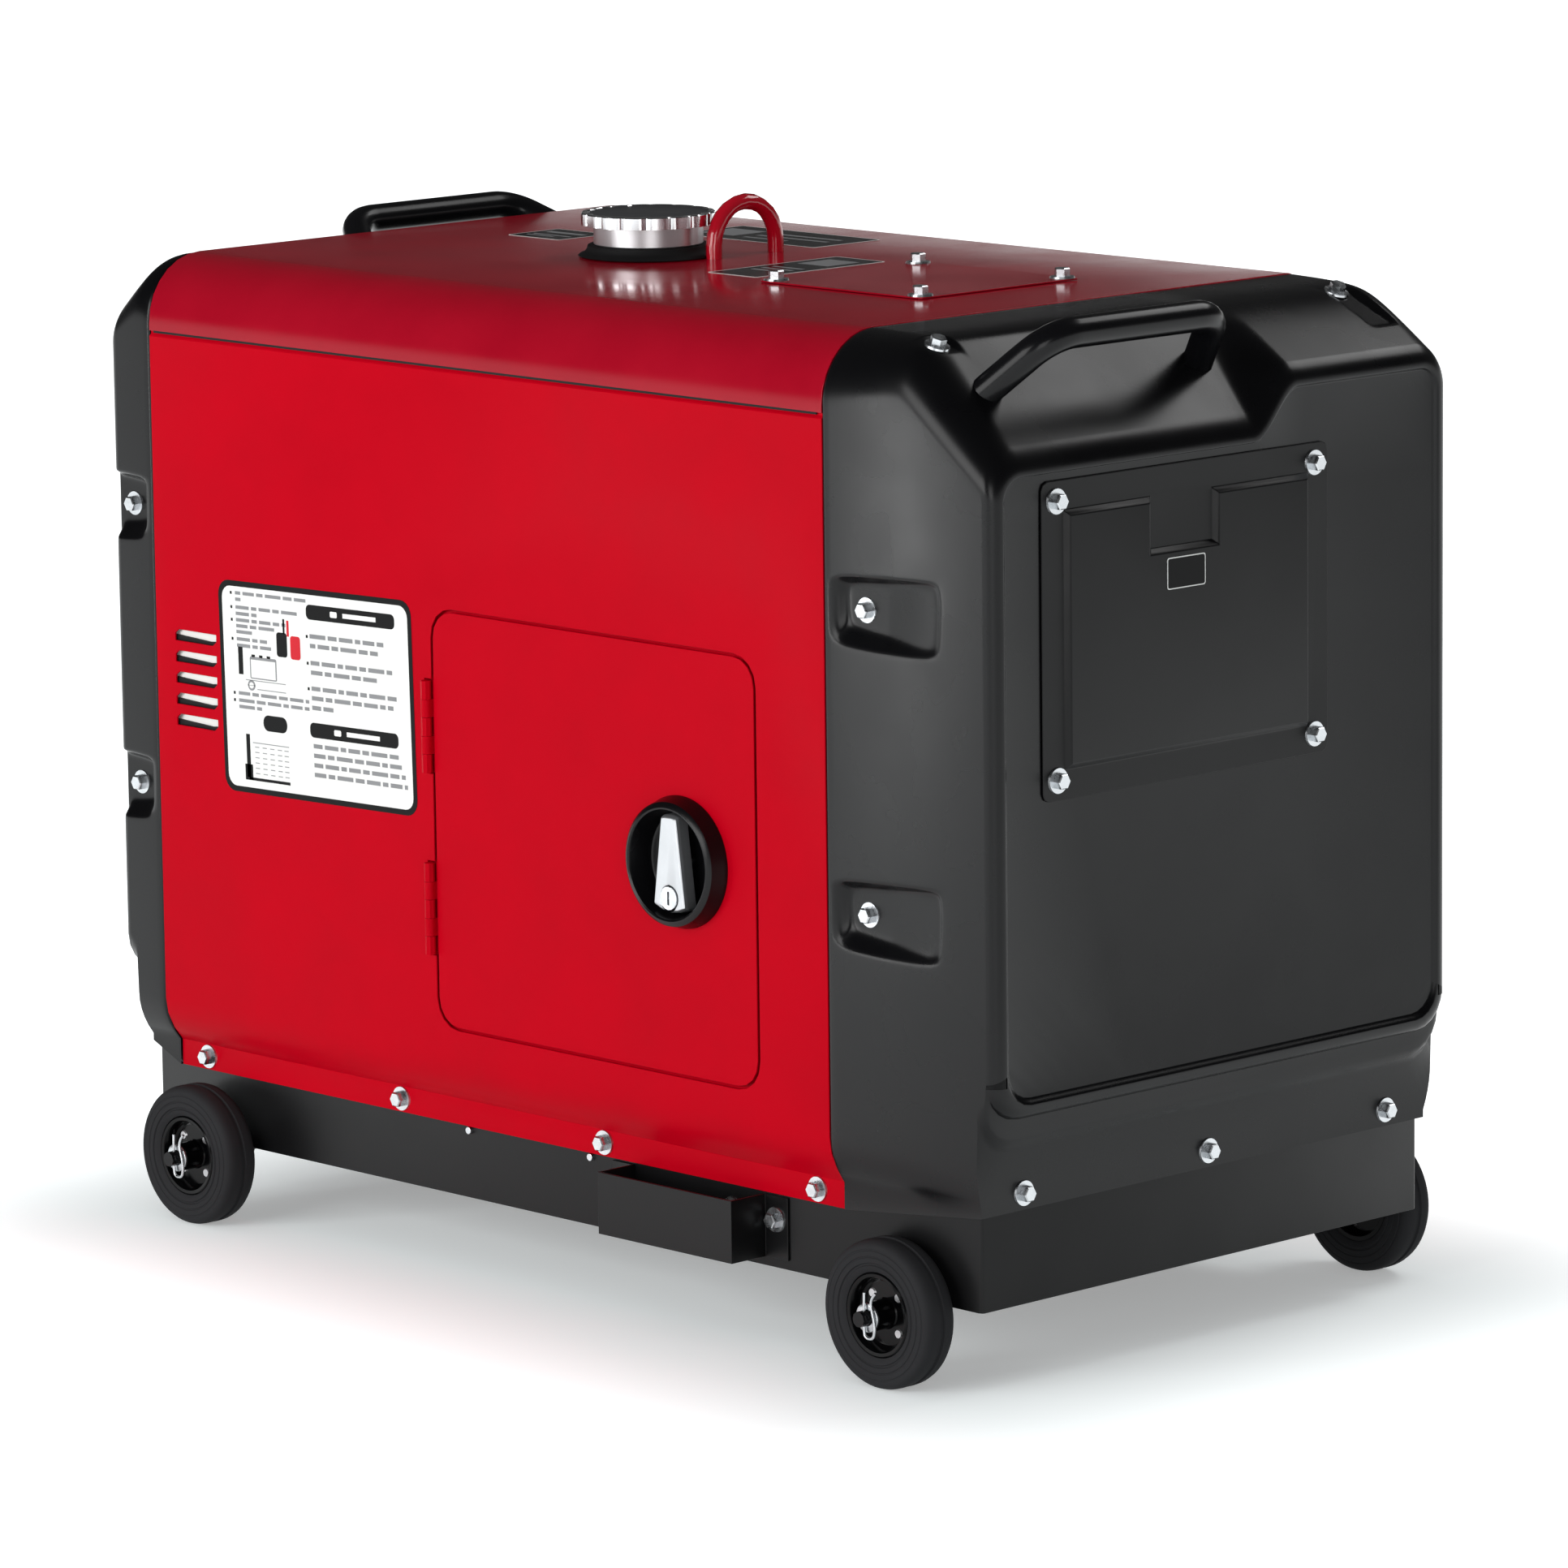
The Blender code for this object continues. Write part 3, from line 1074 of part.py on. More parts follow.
def lever_outline(shrink):
    """Tapered lever with both ends on one circle."""
    reach = LATCH_BOWL_RADIUS - 0.0016 - shrink
    points = []
    for middle, half in ((-90, 28), (90, 13)):
        points += arc((LATCH_X, LATCH_Z), reach, middle - half, middle + half, 4)
    return points


def latch_lever():
    """Lever, shaft and cam of the quarter-turn latch."""
    back, face = DOOR_OUTER - 0.001, DOOR_OUTER - BEZEL_HEIGHT + 0.0025
    sections = [[(x, y, z) for x, z in lever_outline(shrink)] for shrink, y in
                ((0, back), (0, face + 0.003), (0.0018, face))]
    lever = loft(sections)
    fuse(lever, disc("Y", (LATCH_X, 0, LATCH_Z), LATCH_SHAFT_RADIUS, back - 0.001, LATCH_SHAFT_END, 12))
    cam = box(LATCH_X - 0.009, DOOR_X1 - 0.0215, LATCH_SHAFT_END - 0.004, LATCH_SHAFT_END - 0.001,
              LATCH_Z - 0.009, LATCH_Z + 0.009)
    fuse(lever, cam)
    return cut(lever, disc("Y", (LATCH_X, 0, LATCH_Z - KEY_DROP), KEY_RADIUS + GAP, -WALL_OUT,
                           DOOR_OUTER - 0.003, 16))


def lock_plug():
    """Key barrel in the lever, with its key slot."""
    face = DOOR_OUTER - BEZEL_HEIGHT + 0.0015
    plug = disc("Y", (LATCH_X, 0, LATCH_Z - KEY_DROP), KEY_RADIUS, face, DOOR_OUTER - 0.003 - GAP, 16)
    z = LATCH_Z - KEY_DROP
    return cut(plug, box(LATCH_X - 0.0009, LATCH_X + 0.0009, face - 0.01, face + 0.005, z - 0.0045, z + 0.0045))


# ----------------------------------------------------------------------- wheels
def tyre(x, side):
    """Solid rubber tyre with round shoulders."""
    w, r, seat = WHEEL_WIDTH / 2, WHEEL_RADIUS, TYRE_SEAT_RADIUS
    profile = [(seat, -w + 0.002), (seat + 0.004, -w), (r - 0.0045, -w), (r, -w + 0.006),
               (r, w - 0.006), (r - 0.0045, w), (seat + 0.004, w), (seat, w - 0.002)]
    return turned(profile, "Y", (x, side * WHEEL_Y, WHEEL_RADIUS), 24, ring=True)


def rim(x, side):
    """Pressed rim with a dished web and a bored hub."""
    seat, bore, hub = TYRE_SEAT_RADIUS - GAP, AXLE_RADIUS + RUNNING, HUB_RADIUS
    edge = WHEEL_WIDTH / 2 - 0.0025
    profile = [(bore, -HUB_INNER), (bore, HUB_OUTER), (hub, HUB_OUTER), (hub, 0.003),
               (seat - 0.0062, 0.003), (seat - 0.0032, edge), (seat, edge), (seat, -edge), (seat - 0.0032, -edge),
               (seat - 0.0062, -0.003), (hub, -0.003), (hub, -HUB_INNER)]
    profile = [(radius, side * height) for radius, height in profile]
    return turned(profile, "Y", (x, side * WHEEL_Y, WHEEL_RADIUS), 16, ring=True)


def axle(x):
    """Plain bar under the tray with its inner collars, cross-drilled for the hairpins."""
    r, collar, end = AXLE_RADIUS, AXLE_RADIUS + AXLE_WALL, AXLE_HALF_LENGTH
    near, far = BASE_HALF_WIDTH + GAP, WHEEL_Y - HUB_INNER - RUNNING
    profile = [(0, -end), (r, -end), (r, -far), (collar, -far), (collar, -near), (r, -near),
               (r, near), (collar, near), (collar, far), (r, far), (r, end), (0, end)]
    bar = turned(profile, "Y", (x, 0, WHEEL_RADIUS), 10)
    hole = HAIRPIN_WIRE + GAP
    for y in (-HAIRPIN_Y, HAIRPIN_Y):
        cut(bar, box(x - hole, x + hole, y - hole, y + hole, WHEEL_RADIUS - 0.02, WHEEL_RADIUS + 0.02))
    return bar


def hairpin(x, side):
    """Spring clip, one leg through the axle and the other round it, with its washer."""
    y, z = side * HAIRPIN_Y, WHEEL_RADIUS
    outer, foot = x + AXLE_RADIUS + 0.004, z - AXLE_RADIUS - 0.007
    corners = [(x, y, z + 0.019), (x, y, foot), (outer, y, foot), (outer, y, z),
               (outer - 0.003, y, z + 0.010), (outer + 0.002, y, z + 0.020)]
    clip = rod(bent(corners, 0.0028, 1), HAIRPIN_WIRE, 0)
    inner = WHEEL_Y + HUB_OUTER + RUNNING
    low, high = sorted((side * inner, side * (inner + WASHER_THICK)))
    return fuse(clip, pipe("Y", (x, 0, WHEEL_RADIUS), AXLE_RADIUS + 0.0045, AXLE_RADIUS + GAP, low, high, 12))


# ------------------------------------------------------------------ drain guard
def drain_guard():
    """Folded guard round the oil drain, open at the top and below."""
    wall = -BASE_HALF_WIDTH - GAP
    front = wall - GUARD_DEPTH
    path = [(GUARD_X0 - GUARD_REAR_TAB, wall), (GUARD_X0, wall), (GUARD_X0, front), (GUARD_X1, front),
            (GUARD_X1, wall), (GUARD_X1 + GUARD_FRONT_TAB, wall)]
    return prism(thickened(path[::-1], GUARD_SHEET), "Z", GUARD_Z0, GUARD_Z1)


# ----------------------------------------------------------------- power unit
def engine_mounts(x):
    """Two rubber mounts on their cross strip."""
    low = RAIL_TOP + GAP
    profile = [(0, low), (MOUNT_RADIUS, low), (MOUNT_RADIUS - 0.003, low + MOUNT_HEIGHT / 2),
               (MOUNT_RADIUS, MOUNT_TOP), (0, MOUNT_TOP)]
    strip = box(x - 0.012, x + 0.012, -MOUNT_Y, MOUNT_Y, low, low + 0.003)
    return fuse(strip, *[turned(profile, "Z", (x, y, 0), 16) for y in (-MOUNT_Y, MOUNT_Y)])


def mount_foot(x, half_width):
    """Cross foot that rests on two rubber mounts."""
    low = MOUNT_TOP + GAP
    reach = MOUNT_Y + MOUNT_RADIUS
    return box(x - half_width, x + half_width, -reach, reach, low, low + FOOT_THICK)


def engine_block():
    """Crankcase with its sump, foot, injection pump and finned cylinder."""
    w, hip, neck = BLOCK_HALF_WIDTH, BLOCK_HALF_WIDTH - 0.025, BLOCK_HALF_WIDTH - 0.030
    low, high = BLOCK_Z0 + 0.035, BLOCK_Z1 - 0.060
    outline = [(-hip, BLOCK_Z0), (hip, BLOCK_Z0), (w, low), (w, high),
               (neck, BLOCK_Z1), (-neck, BLOCK_Z1), (-w, high), (-w, low)]
    block = prism(outline, "X", ENGINE_X0, ENGINE_X1)
    fuse(block, mount_foot(MOUNT_XS[1], 0.020), injection_pump())
    fuse(block, finned(CYLINDER_X0, CYLINDER_X1, CYLINDER_HALF_WIDTH, BLOCK_Z1 - 0.0005, CYLINDER_TOP, 7))
    return cut(block, disc("X", (0, CRANK_Y, CRANK_Z), SHAFT_RADIUS + RUNNING, ENGINE_X0 - 0.01,
                           ENGINE_X1 + 0.01, 16))


def finned(x0, x1, half_depth, z0, z1, fins):
    """Block whose long sides are cut into cooling fins."""
    pitch = (z1 - z0) / fins
    right = []
    for i in range(fins):
        z = z0 + i * pitch
        right += [(x1 - 0.012, z), (x1 - 0.012, z + pitch * 0.55), (x1, z + pitch * 0.55), (x1, z + pitch)]
    left = [(x0 + x1 - x, z) for x, z in right[::-1]]
    return prism(right + left, "Y", -half_depth, half_depth)


def cylinder_head():
    """Finned head with its rocker cover."""
    out, half = HEAD_LEDGE, CYLINDER_HALF_WIDTH - 0.008
    head = finned(CYLINDER_X0 - out, CYLINDER_X1 + out, CYLINDER_HALF_WIDTH + out, CYLINDER_TOP + GAP,
                  HEAD_TOP, 4)
    lid = rounded_rectangle(CYLINDER_X0 + 0.006, CYLINDER_X1 - 0.006, -half, half, 0.014, 3)
    return fuse(head, prism(lid, "Z", HEAD_TOP - 0.005, HEAD_TOP + 0.027))


def fan_shroud():
    """Blower housing round the flywheel, with its round air inlet."""
    r, hub, inlet = SHROUD_RADIUS, SHAFT_RADIUS + 0.0175, SHROUD_RADIUS - 0.044
    profile = [(hub, SHROUD_X0), (r - 0.006, SHROUD_X0), (r, SHROUD_X0 + 0.008), (r, SHROUD_X1 - 0.016),
               (r - 0.020, SHROUD_X1), (inlet, SHROUD_X1), (inlet, SHROUD_X1 - 0.002),
               (r - 0.021, SHROUD_X1 - 0.002), (r - 0.002, SHROUD_X1 - 0.017), (r - 0.002, SHROUD_X0 + 0.009),
               (r - 0.007, SHROUD_X0 + 0.002), (hub, SHROUD_X0 + 0.002)]
    return turned(profile, "X", (0, CRANK_Y, CRANK_Z), 16, ring=True)


def crankshaft():
    """Shaft through engine and generator, with the rotor core and the fan flywheel on it."""
    r, core = SHAFT_RADIUS, ALTERNATOR_RADIUS - 0.032
    rear, front = ALTERNATOR_X0 - 0.016, SHROUD_X0 + 0.0507
    x0, x1 = ALTERNATOR_X0 + 0.041, ALTERNATOR_X1 - 0.0697
    profile = [(0, rear), (r, rear), (r, x0), (core, x0), (core, x1), (r, x1), (r, front), (0, front)]
    shaft = turned(profile, "X", (0, CRANK_Y, CRANK_Z), 12)
    x = SHROUD_X0 + 0.008
    wheel = disc("X", (0, CRANK_Y, CRANK_Z), SHROUD_RADIUS - 0.030, x, x + 0.014, 16)
    for i in range(8):
        turn = Matrix.Translation((0, CRANK_Y, CRANK_Z)) @ Matrix.Rotation(math.tau * i / 8, 4, "X")
        blade = box(x + 0.013, x + 0.040, -0.0015, 0.0015, SHROUD_RADIUS - 0.064, SHROUD_RADIUS - 0.032)
        fuse(wheel, moved(blade, turn))
    return fuse(shaft, wheel)


def alternator_housing():
    """Generator frame with end walls, bearing bores and its foot."""
    outer, inner, bore = ALTERNATOR_RADIUS, ALTERNATOR_RADIUS - 0.024, SHAFT_RADIUS + RUNNING
    x0, x1, wall = ALTERNATOR_X0, ALTERNATOR_X1, ALTERNATOR_WALL
    profile = [(bore, x0), (outer - wall, x0), (outer, x0 + wall), (outer, x1), (bore, x1),
               (bore, x1 - wall), (inner, x1 - wall), (inner, x0 + wall), (bore, x0 + wall)]
    frame = turned(profile, "X", (0, CRANK_Y, CRANK_Z), 16, ring=True)
    foot = mount_foot(MOUNT_XS[0], 0.020)
    low = MOUNT_TOP + GAP + FOOT_THICK / 2
    pedestal = box(MOUNT_XS[0] - 0.014, MOUNT_XS[0] + 0.014, -0.050, 0.050, low,
                   CRANK_Z - ALTERNATOR_RADIUS + 0.012)
    return fuse(frame, fuse(foot, pedestal))


def muffler():
    """Silencer drum with its straps on the generator and the tail pipe out of the rear cap."""
    r = MUFFLER_RADIUS
    profile = [(0, MUFFLER_X0), (r - 0.012, MUFFLER_X0), (r, MUFFLER_X0 + 0.012), (r, MUFFLER_X1 - 0.012),
               (r - 0.012, MUFFLER_X1), (0, MUFFLER_X1)]
    drum = turned(profile, "X", (0, 0, MUFFLER_Z), 16)
    for x in (MUFFLER_X0 + 0.055, MUFFLER_X1 - 0.055):
        fuse(drum, box(x - 0.012, x + 0.012, -0.003, 0.003, CRANK_Z + ALTERNATOR_RADIUS + GAP,
                       MUFFLER_Z - r + 0.004))
    y = -EXHAUST_Y
    tail = rod(bent([(MUFFLER_X0 + 0.004, 0, EXHAUST_Z), (MUFFLER_X0 - 0.038, 0, EXHAUST_Z),
                     (EXHAUST_END + 0.0775, y, EXHAUST_Z), (EXHAUST_END, y, EXHAUST_Z)],
                    2 * EXHAUST_RADIUS, 3), EXHAUST_RADIUS, 2)
    mouth = disc("X", (EXHAUST_END, y, EXHAUST_Z), EXHAUST_RADIUS - 0.002, -0.0075, 0.0325, 12)
    return cut(fuse(drum, tail), mouth)


def exhaust_pipe():
    """Pipe from the head to the silencer."""
    head_end = CYLINDER_X0 - HEAD_LEDGE - GAP
    x, z = MUFFLER_X1, MUFFLER_Z + 0.004
    path = [(head_end, 0, PORT_Z), (x + 0.048, 0, PORT_Z), (x + 0.030, 0, z), (x + GAP, 0, z)]
    return rod(bent(path, PORT_RADIUS + 0.001, 3), PORT_RADIUS, 2)


def air_filter():
    """Air cleaner canister with its clamp ring and the pipe to the head."""
    r, ring = FILTER_RADIUS, FILTER_X1 - 0.030
    profile = [(0, FILTER_X0), (r - 0.010, FILTER_X0), (r, FILTER_X0 + 0.010), (r, ring),
               (r + 0.004, ring + 0.001), (r + 0.004, ring + 0.009), (r, ring + 0.010),
               (r - 0.004, FILTER_X1), (0, FILTER_X1)]
    can = turned(profile, "X", (0, FILTER_Y, FILTER_Z), 16)
    head_end = CYLINDER_X1 + HEAD_LEDGE + GAP
    rise, run = PORT_Z - 0.007, (FILTER_X0 - head_end) / 3
    intake = rod(bent([(head_end, FILTER_Y, rise), (head_end + run, FILTER_Y, rise),
                       (FILTER_X0 - run, FILTER_Y, FILTER_Z - 0.018), (FILTER_X0 + 0.004, FILTER_Y, FILTER_Z - 0.018)],
                      INTAKE_RADIUS + 0.008, 3), INTAKE_RADIUS, 2)
    return fuse(can, intake)


def oil_filter():
    """Spin-on oil filter on the crankcase, within reach of the door."""
    r, seat, end = 0.033, -BLOCK_HALF_WIDTH - GAP, -BLOCK_HALF_WIDTH - 0.067
    return turned([(0, end), (r - 0.003, end), (r, end + 0.004), (r, seat - 0.0067), (r - 0.005, seat), (0, seat)],
                  "Y", (ENGINE_X1 - 0.055, 0, CRANK_Z - 0.020), 20)


def starter_motor():
    """Starter along the crankcase, with its solenoid on top."""
    r, drive = 0.030, 0.017
    y, z = -BLOCK_HALF_WIDTH - r - GAP, CRANK_Z + 0.045
    motor = disc("X", (0, y, z), r, ENGINE_X0 + 0.025, ENGINE_X1 - 0.010, 16)
    return fuse(motor, disc("X", (0, y, z + r + drive - 0.004), drive, ENGINE_X0 + 0.050, ENGINE_X1 - 0.025, 12))


def injection_pump():
    """Fuel injection pump on the control side of the crankcase."""
    x, y = ENGINE_X0 + 0.085, BLOCK_HALF_WIDTH - 0.001
    body = box(x - 0.025, x + 0.025, y, y + 0.036, CRANK_Z - 0.010, CRANK_Z + 0.045)
    return fuse(body, disc("Z", (x, y + 0.018, CRANK_Z), 0.011, 0.037, 0.080, 12))


def battery():
    """Starter battery with its two posts."""
    floor, out = BASE_BOTTOM + BASE_SHEET + GAP, BATTERY_LID
    case = prism(rounded_rectangle(BATTERY_X0, BATTERY_X1, BATTERY_Y0, BATTERY_Y1, 0.004, 1), "Z",
                 floor, BATTERY_TOP)
    lid = rounded_rectangle(BATTERY_X0 - out, BATTERY_X1 + out, BATTERY_Y0 - out, BATTERY_Y1 + out, 0.004, 1)
    fuse(case, prism(lid, "Z", BATTERY_TOP - 0.020, BATTERY_TOP - 0.003))
    for y in (BATTERY_Y0 + 0.0245, BATTERY_Y1 - 0.025):
        fuse(case, disc("Z", (BATTERY_X1 - 0.019, y, BATTERY_TOP), 0.008, -0.005, 0.015, 12))
    return case


# ---------------------------------------------------------------- control panel
def panel_outline(grow, radius):
    """Outline of the control panel opening, grown or shrunk."""
    return rounded_rectangle(PANEL_X0 - grow, PANEL_X1 + grow, PANEL_Z0 - grow, PANEL_Z1 + grow, radius, 3)


def control_panel():
    """Sunken tub with a flange behind the side panel."""
    tub = prism(panel_outline(-0.0006, 0.008), "Y", PANEL_FACE - 0.002, PANEL_BACK)
    fuse(tub, prism(panel_outline(0.012, 0.016), "Y", PANEL_BACK - 0.0015, PANEL_BACK))
    return cut(tub, prism(panel_outline(-0.0026, 0.006), "Y", PANEL_FACE, PANEL_BACK + 0.01))


def socket_plate(places):
    """Plate under a pair of sockets."""
    edge = SOCKET_MARGIN
    outline = rounded_rectangle(places[0] - edge, places[1] + edge, SOCKET_Z - edge, SOCKET_Z + edge, 0.006, 2)
    return prism(outline, "Y", PANEL_SEAT, PLATE_FRONT)


def weld_sockets():
    """Two bayonet weld cable sockets on their insulating plate."""
    plate = socket_plate(WELD_SOCKET_XS)
    end = PLATE_FRONT + WELD_SOCKET_REACH
    for x in WELD_SOCKET_XS:
        profile = [(0, PLATE_FRONT - 0.0005), (0.022, PLATE_FRONT - 0.0005), (0.022, PLATE_FRONT + 0.003),
                   (0.017, PLATE_FRONT + 0.005), (0.016, end), (0.0072, end), (0.0072, PLATE_FRONT + 0.003),
                   (0, PLATE_FRONT + 0.003)]
        fuse(plate, turned(profile, "Y", (x, 0, SOCKET_Z), 16))
    return plate


def ac_sockets():
    """Two mains outlets with round wells on one plate."""
    plate, half = socket_plate(AC_SOCKET_XS), AC_SOCKET_HALF
    for x in AC_SOCKET_XS:
        face = rounded_rectangle(x - half, x + half, SOCKET_Z - half, SOCKET_Z + half, 0.004, 2)
        fuse(plate, prism(face, "Y", PLATE_FRONT - 0.0005, PLATE_FRONT + 0.010))
        cut(plate, disc("Y", (x, 0, SOCKET_Z), AC_WELL_RADIUS, PLATE_FRONT + 0.001, WALL_OUT, 20))
    return plate


def instrument_plate():
    """Plate with the meter frame, the ignition lock and the breaker's housing."""
    outline = rounded_rectangle(METER_X0 - 0.006, BREAKER_X + 0.026, BREAKER_Z - 0.020, METER_Z1 + 0.007, 0.006, 2)
    plate = prism(outline, "Y", PANEL_SEAT, PLATE_FRONT)
    low, high = PLATE_FRONT - 0.0005, PLATE_FRONT + 0.005
    fuse(plate, box(METER_X0, METER_X1, low, high, METER_Z0, METER_Z1))
    cut(plate, box(METER_X0 + 0.005, METER_X1 - 0.005, PLATE_FRONT + 0.003, WALL_OUT, METER_Z0 + 0.012,
                   METER_Z1 - 0.005))
    fuse(plate, pipe("Y", (KEY_X, 0, KEY_Z), KEY_BARREL_RADIUS + 0.006, KEY_BARREL_RADIUS + RUNNING, low, high, 20))
    fuse(plate, box(BREAKER_X - 0.020, BREAKER_X + 0.020, low, high, BREAKER_Z - 0.014, BREAKER_Z + 0.014))
    return cut(plate, box(BREAKER_X - 0.008, BREAKER_X + 0.008, PLATE_FRONT + GAP, WALL_OUT,
                          BREAKER_Z - 0.010, BREAKER_Z + 0.010))


def current_knob():
    """Weld current knob with its pointer rib."""
    low = PLATE_FRONT + RUNNING
    r = KNOB_RADIUS
    profile = [(0, low), (r, low), (r - 0.001, low + 0.012), (r - 0.003, low + 0.014), (0, low + 0.014)]
    knob = turned(profile, "Y", (KNOB_X, 0, KNOB_Z), 24)
    return fuse(knob, box(KNOB_X - 0.0025, KNOB_X + 0.0025, low + 0.006, low + 0.018,
                          KNOB_Z - r + 0.0025, KNOB_Z + r - 0.0025))


def ignition_key():
    """Key barrel in the lock with the key's bow."""
    low = PLATE_FRONT + RUNNING
    barrel = disc("Y", (KEY_X, 0, KEY_Z), KEY_BARREL_RADIUS, low, low + 0.006, 16)
    bow = prism(rounded_rectangle(KEY_X - 0.0012, KEY_X + 0.0012, low + 0.005, low + 0.024, 0.0004, 1), "Z",
                KEY_Z - 0.009, KEY_Z + 0.009)
    return fuse(barrel, bow)


def breaker_toggle():
    """Breaker lever on its cross pin."""
    pivot = disc("X", (0, TOGGLE_Y, BREAKER_Z), 0.0024, BREAKER_X - 0.0074, BREAKER_X + 0.0074, 12)
    lever = box(BREAKER_X - 0.0055, BREAKER_X + 0.0055, TOGGLE_Y, TOGGLE_Y + 0.013, BREAKER_Z - 0.0019,
                BREAKER_Z + 0.0019)
    tilt = Matrix.Translation((0, TOGGLE_Y, BREAKER_Z)) @ Matrix.Rotation(math.radians(-25), 4, "X")
    return fuse(pivot, moved(lever, tilt @ Matrix.Translation((0, -TOGGLE_Y, -BREAKER_Z))))


# --------------------------------------------------------------------- assembly
def main():
    """Build every piece."""
    fixed = {
        "base_tray": (base_tray, "black_steel"), "side_panel_left": (side_panel_left, "red_paint"),
        "side_panel_right": (side_panel_right, "red_paint"), "top_cover": (top_cover, "red_paint"),
        "access_plate": (access_plate, "red_paint"), "front_cap": (front_cap, "black_moulding"),
        "rear_cap": (rear_cap, "black_moulding"), "air_cleaner_cover": (air_cleaner_cover, "black_steel"),
        "front_handle": (lambda: handle(FRONT_FORM), "black_steel"),
        "rear_handle": (lambda: half_turn(handle(REAR_FORM)), "black_steel"),
        "lifting_eye": (lifting_eye, "red_paint"), "inner_frame": (inner_frame, "black_steel"),
        "fuel_tank": (fuel_tank, "tank_paint"), "neck_seal": (neck_seal, "rubber"),
        "drain_guard": (drain_guard, "black_steel"), "door_frame": (door_frame, "red_paint"),
        "outlet_grille": (outlet_grille, "black_steel"), "engine_block": (engine_block, "cast_iron"),
        "cylinder_head": (cylinder_head, "cast_aluminium"),
        "fan_shroud": (fan_shroud, "black_steel"), "muffler": (muffler, "heat_paint"),
        "exhaust_pipe": (exhaust_pipe, "heat_paint"), "air_filter": (air_filter, "gloss_black"),
        "oil_filter": (oil_filter, "gloss_black"), "starter_motor": (starter_motor, "gloss_black"),
        "alternator_housing": (alternator_housing, "cast_aluminium"),
        "battery": (battery, "gloss_black"),
        "control_panel": (control_panel, "panel_grey"), "weld_sockets": (weld_sockets, "brass"),
        "ac_sockets": (ac_sockets, "gloss_black"), "instrument_plate": (instrument_plate, "gloss_black"),
    }
    for name, (build, finish) in fixed.items():
        name_part(build(), name, finish)
    for end, x in (("front", 1), ("rear", -1)):
        name_part(axle(x * WHEEL_X), f"axle_{end}", "black_steel")
        name_part(engine_mounts(MOUNT_XS[x > 0]), f"engine_mounts_{end}", "rubber")
        for hand, side in (("left", -1), ("right", 1)):
            name_part(hairpin(x * WHEEL_X, side), f"hairpin_{end}_{hand}", "zinc")
    for level, z in zip(("lower", "upper"), HINGE_CENTRES):
        name_part(hinge(z), f"hinge_{level}", "red_paint")
    hinge_axis = (HINGE_X, HINGE_Y, (DOOR_Z0 + DOOR_Z1) / 2)
    leaf = name_part(door(), "door", "red_paint", hinge_axis)
    name_part(door_liner(), "door_liner", "foam", hinge_axis, leaf)
    latch_axis = (LATCH_X, DOOR_OUTER, LATCH_Z)
    name_part(latch_bezel(), "latch_bezel", "black_moulding", latch_axis, leaf)
    lever = name_part(latch_lever(), "latch_lever", "silver_lever", latch_axis, leaf)
    name_part(lock_plug(), "lock_plug", "zinc", (LATCH_X, DOOR_OUTER, LATCH_Z - KEY_DROP), lever)
    neck = (CAP_X, CAP_Y, NECK_TOP)
    gasket = name_part(cap_gasket(), "cap_gasket", "rubber", neck)
    name_part(fuel_cap(), "fuel_cap", "polished_aluminium", neck, gasket)
    for end, x in (("front", WHEEL_X), ("rear", -WHEEL_X)):
        for hand, side in (("left", -1), ("right", 1)):
            centre = (x, side * WHEEL_Y, WHEEL_RADIUS)
            hub = name_part(rim(x, side), f"rim_{end}_{hand}", "gloss_black", centre)
            name_part(tyre(x, side), f"tyre_{end}_{hand}", "rubber", centre, hub)
    name_part(crankshaft(), "crankshaft", "zinc", (0, CRANK_Y, CRANK_Z))
    name_part(current_knob(), "current_knob", "black_moulding", (KNOB_X, PANEL_SEAT, KNOB_Z))
    name_part(ignition_key(), "ignition_key", "zinc", (KEY_X, PANEL_SEAT, KEY_Z))
    name_part(breaker_toggle(), "breaker_toggle", "black_moulding", (BREAKER_X, TOGGLE_Y, BREAKER_Z))


MATERIALS = {name: make_material(name, *look) for name, look in FINISHES.items()}
main()
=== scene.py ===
"""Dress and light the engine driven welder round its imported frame."""

import logging
import math
from collections.abc import Callable, Iterable
from dataclasses import dataclass
from enum import Enum, IntEnum

import bmesh
import bpy
from bmesh.types import BMesh, BMFace, BMVert
from bpy.types import Material, Node, NodeSocket, NodeTree, Object
from mathutils import Matrix, Vector


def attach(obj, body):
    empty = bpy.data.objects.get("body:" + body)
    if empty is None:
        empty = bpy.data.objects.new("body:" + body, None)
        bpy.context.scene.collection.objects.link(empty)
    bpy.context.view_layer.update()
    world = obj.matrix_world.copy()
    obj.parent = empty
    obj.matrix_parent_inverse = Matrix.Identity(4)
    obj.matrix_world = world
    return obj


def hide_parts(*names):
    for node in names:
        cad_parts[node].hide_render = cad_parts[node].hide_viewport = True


LOG = logging.getLogger("welder")
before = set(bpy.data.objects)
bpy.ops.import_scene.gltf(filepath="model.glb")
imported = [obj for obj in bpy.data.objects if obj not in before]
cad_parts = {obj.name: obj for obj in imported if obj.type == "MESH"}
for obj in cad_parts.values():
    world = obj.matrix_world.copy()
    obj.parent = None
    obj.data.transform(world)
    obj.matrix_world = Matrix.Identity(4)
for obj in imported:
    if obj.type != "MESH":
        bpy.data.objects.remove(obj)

Pair = tuple[float, float]
Point = tuple[float, float, float]
Quad = tuple[float, float, float, float]
Box = tuple[Point, Point]

MM_IN_M = 1000
# Values of the cloudy pattern between which a finish goes from its one tone to the other.
LOW_SPOT, HIGH_SPOT = 0.3, 0.7
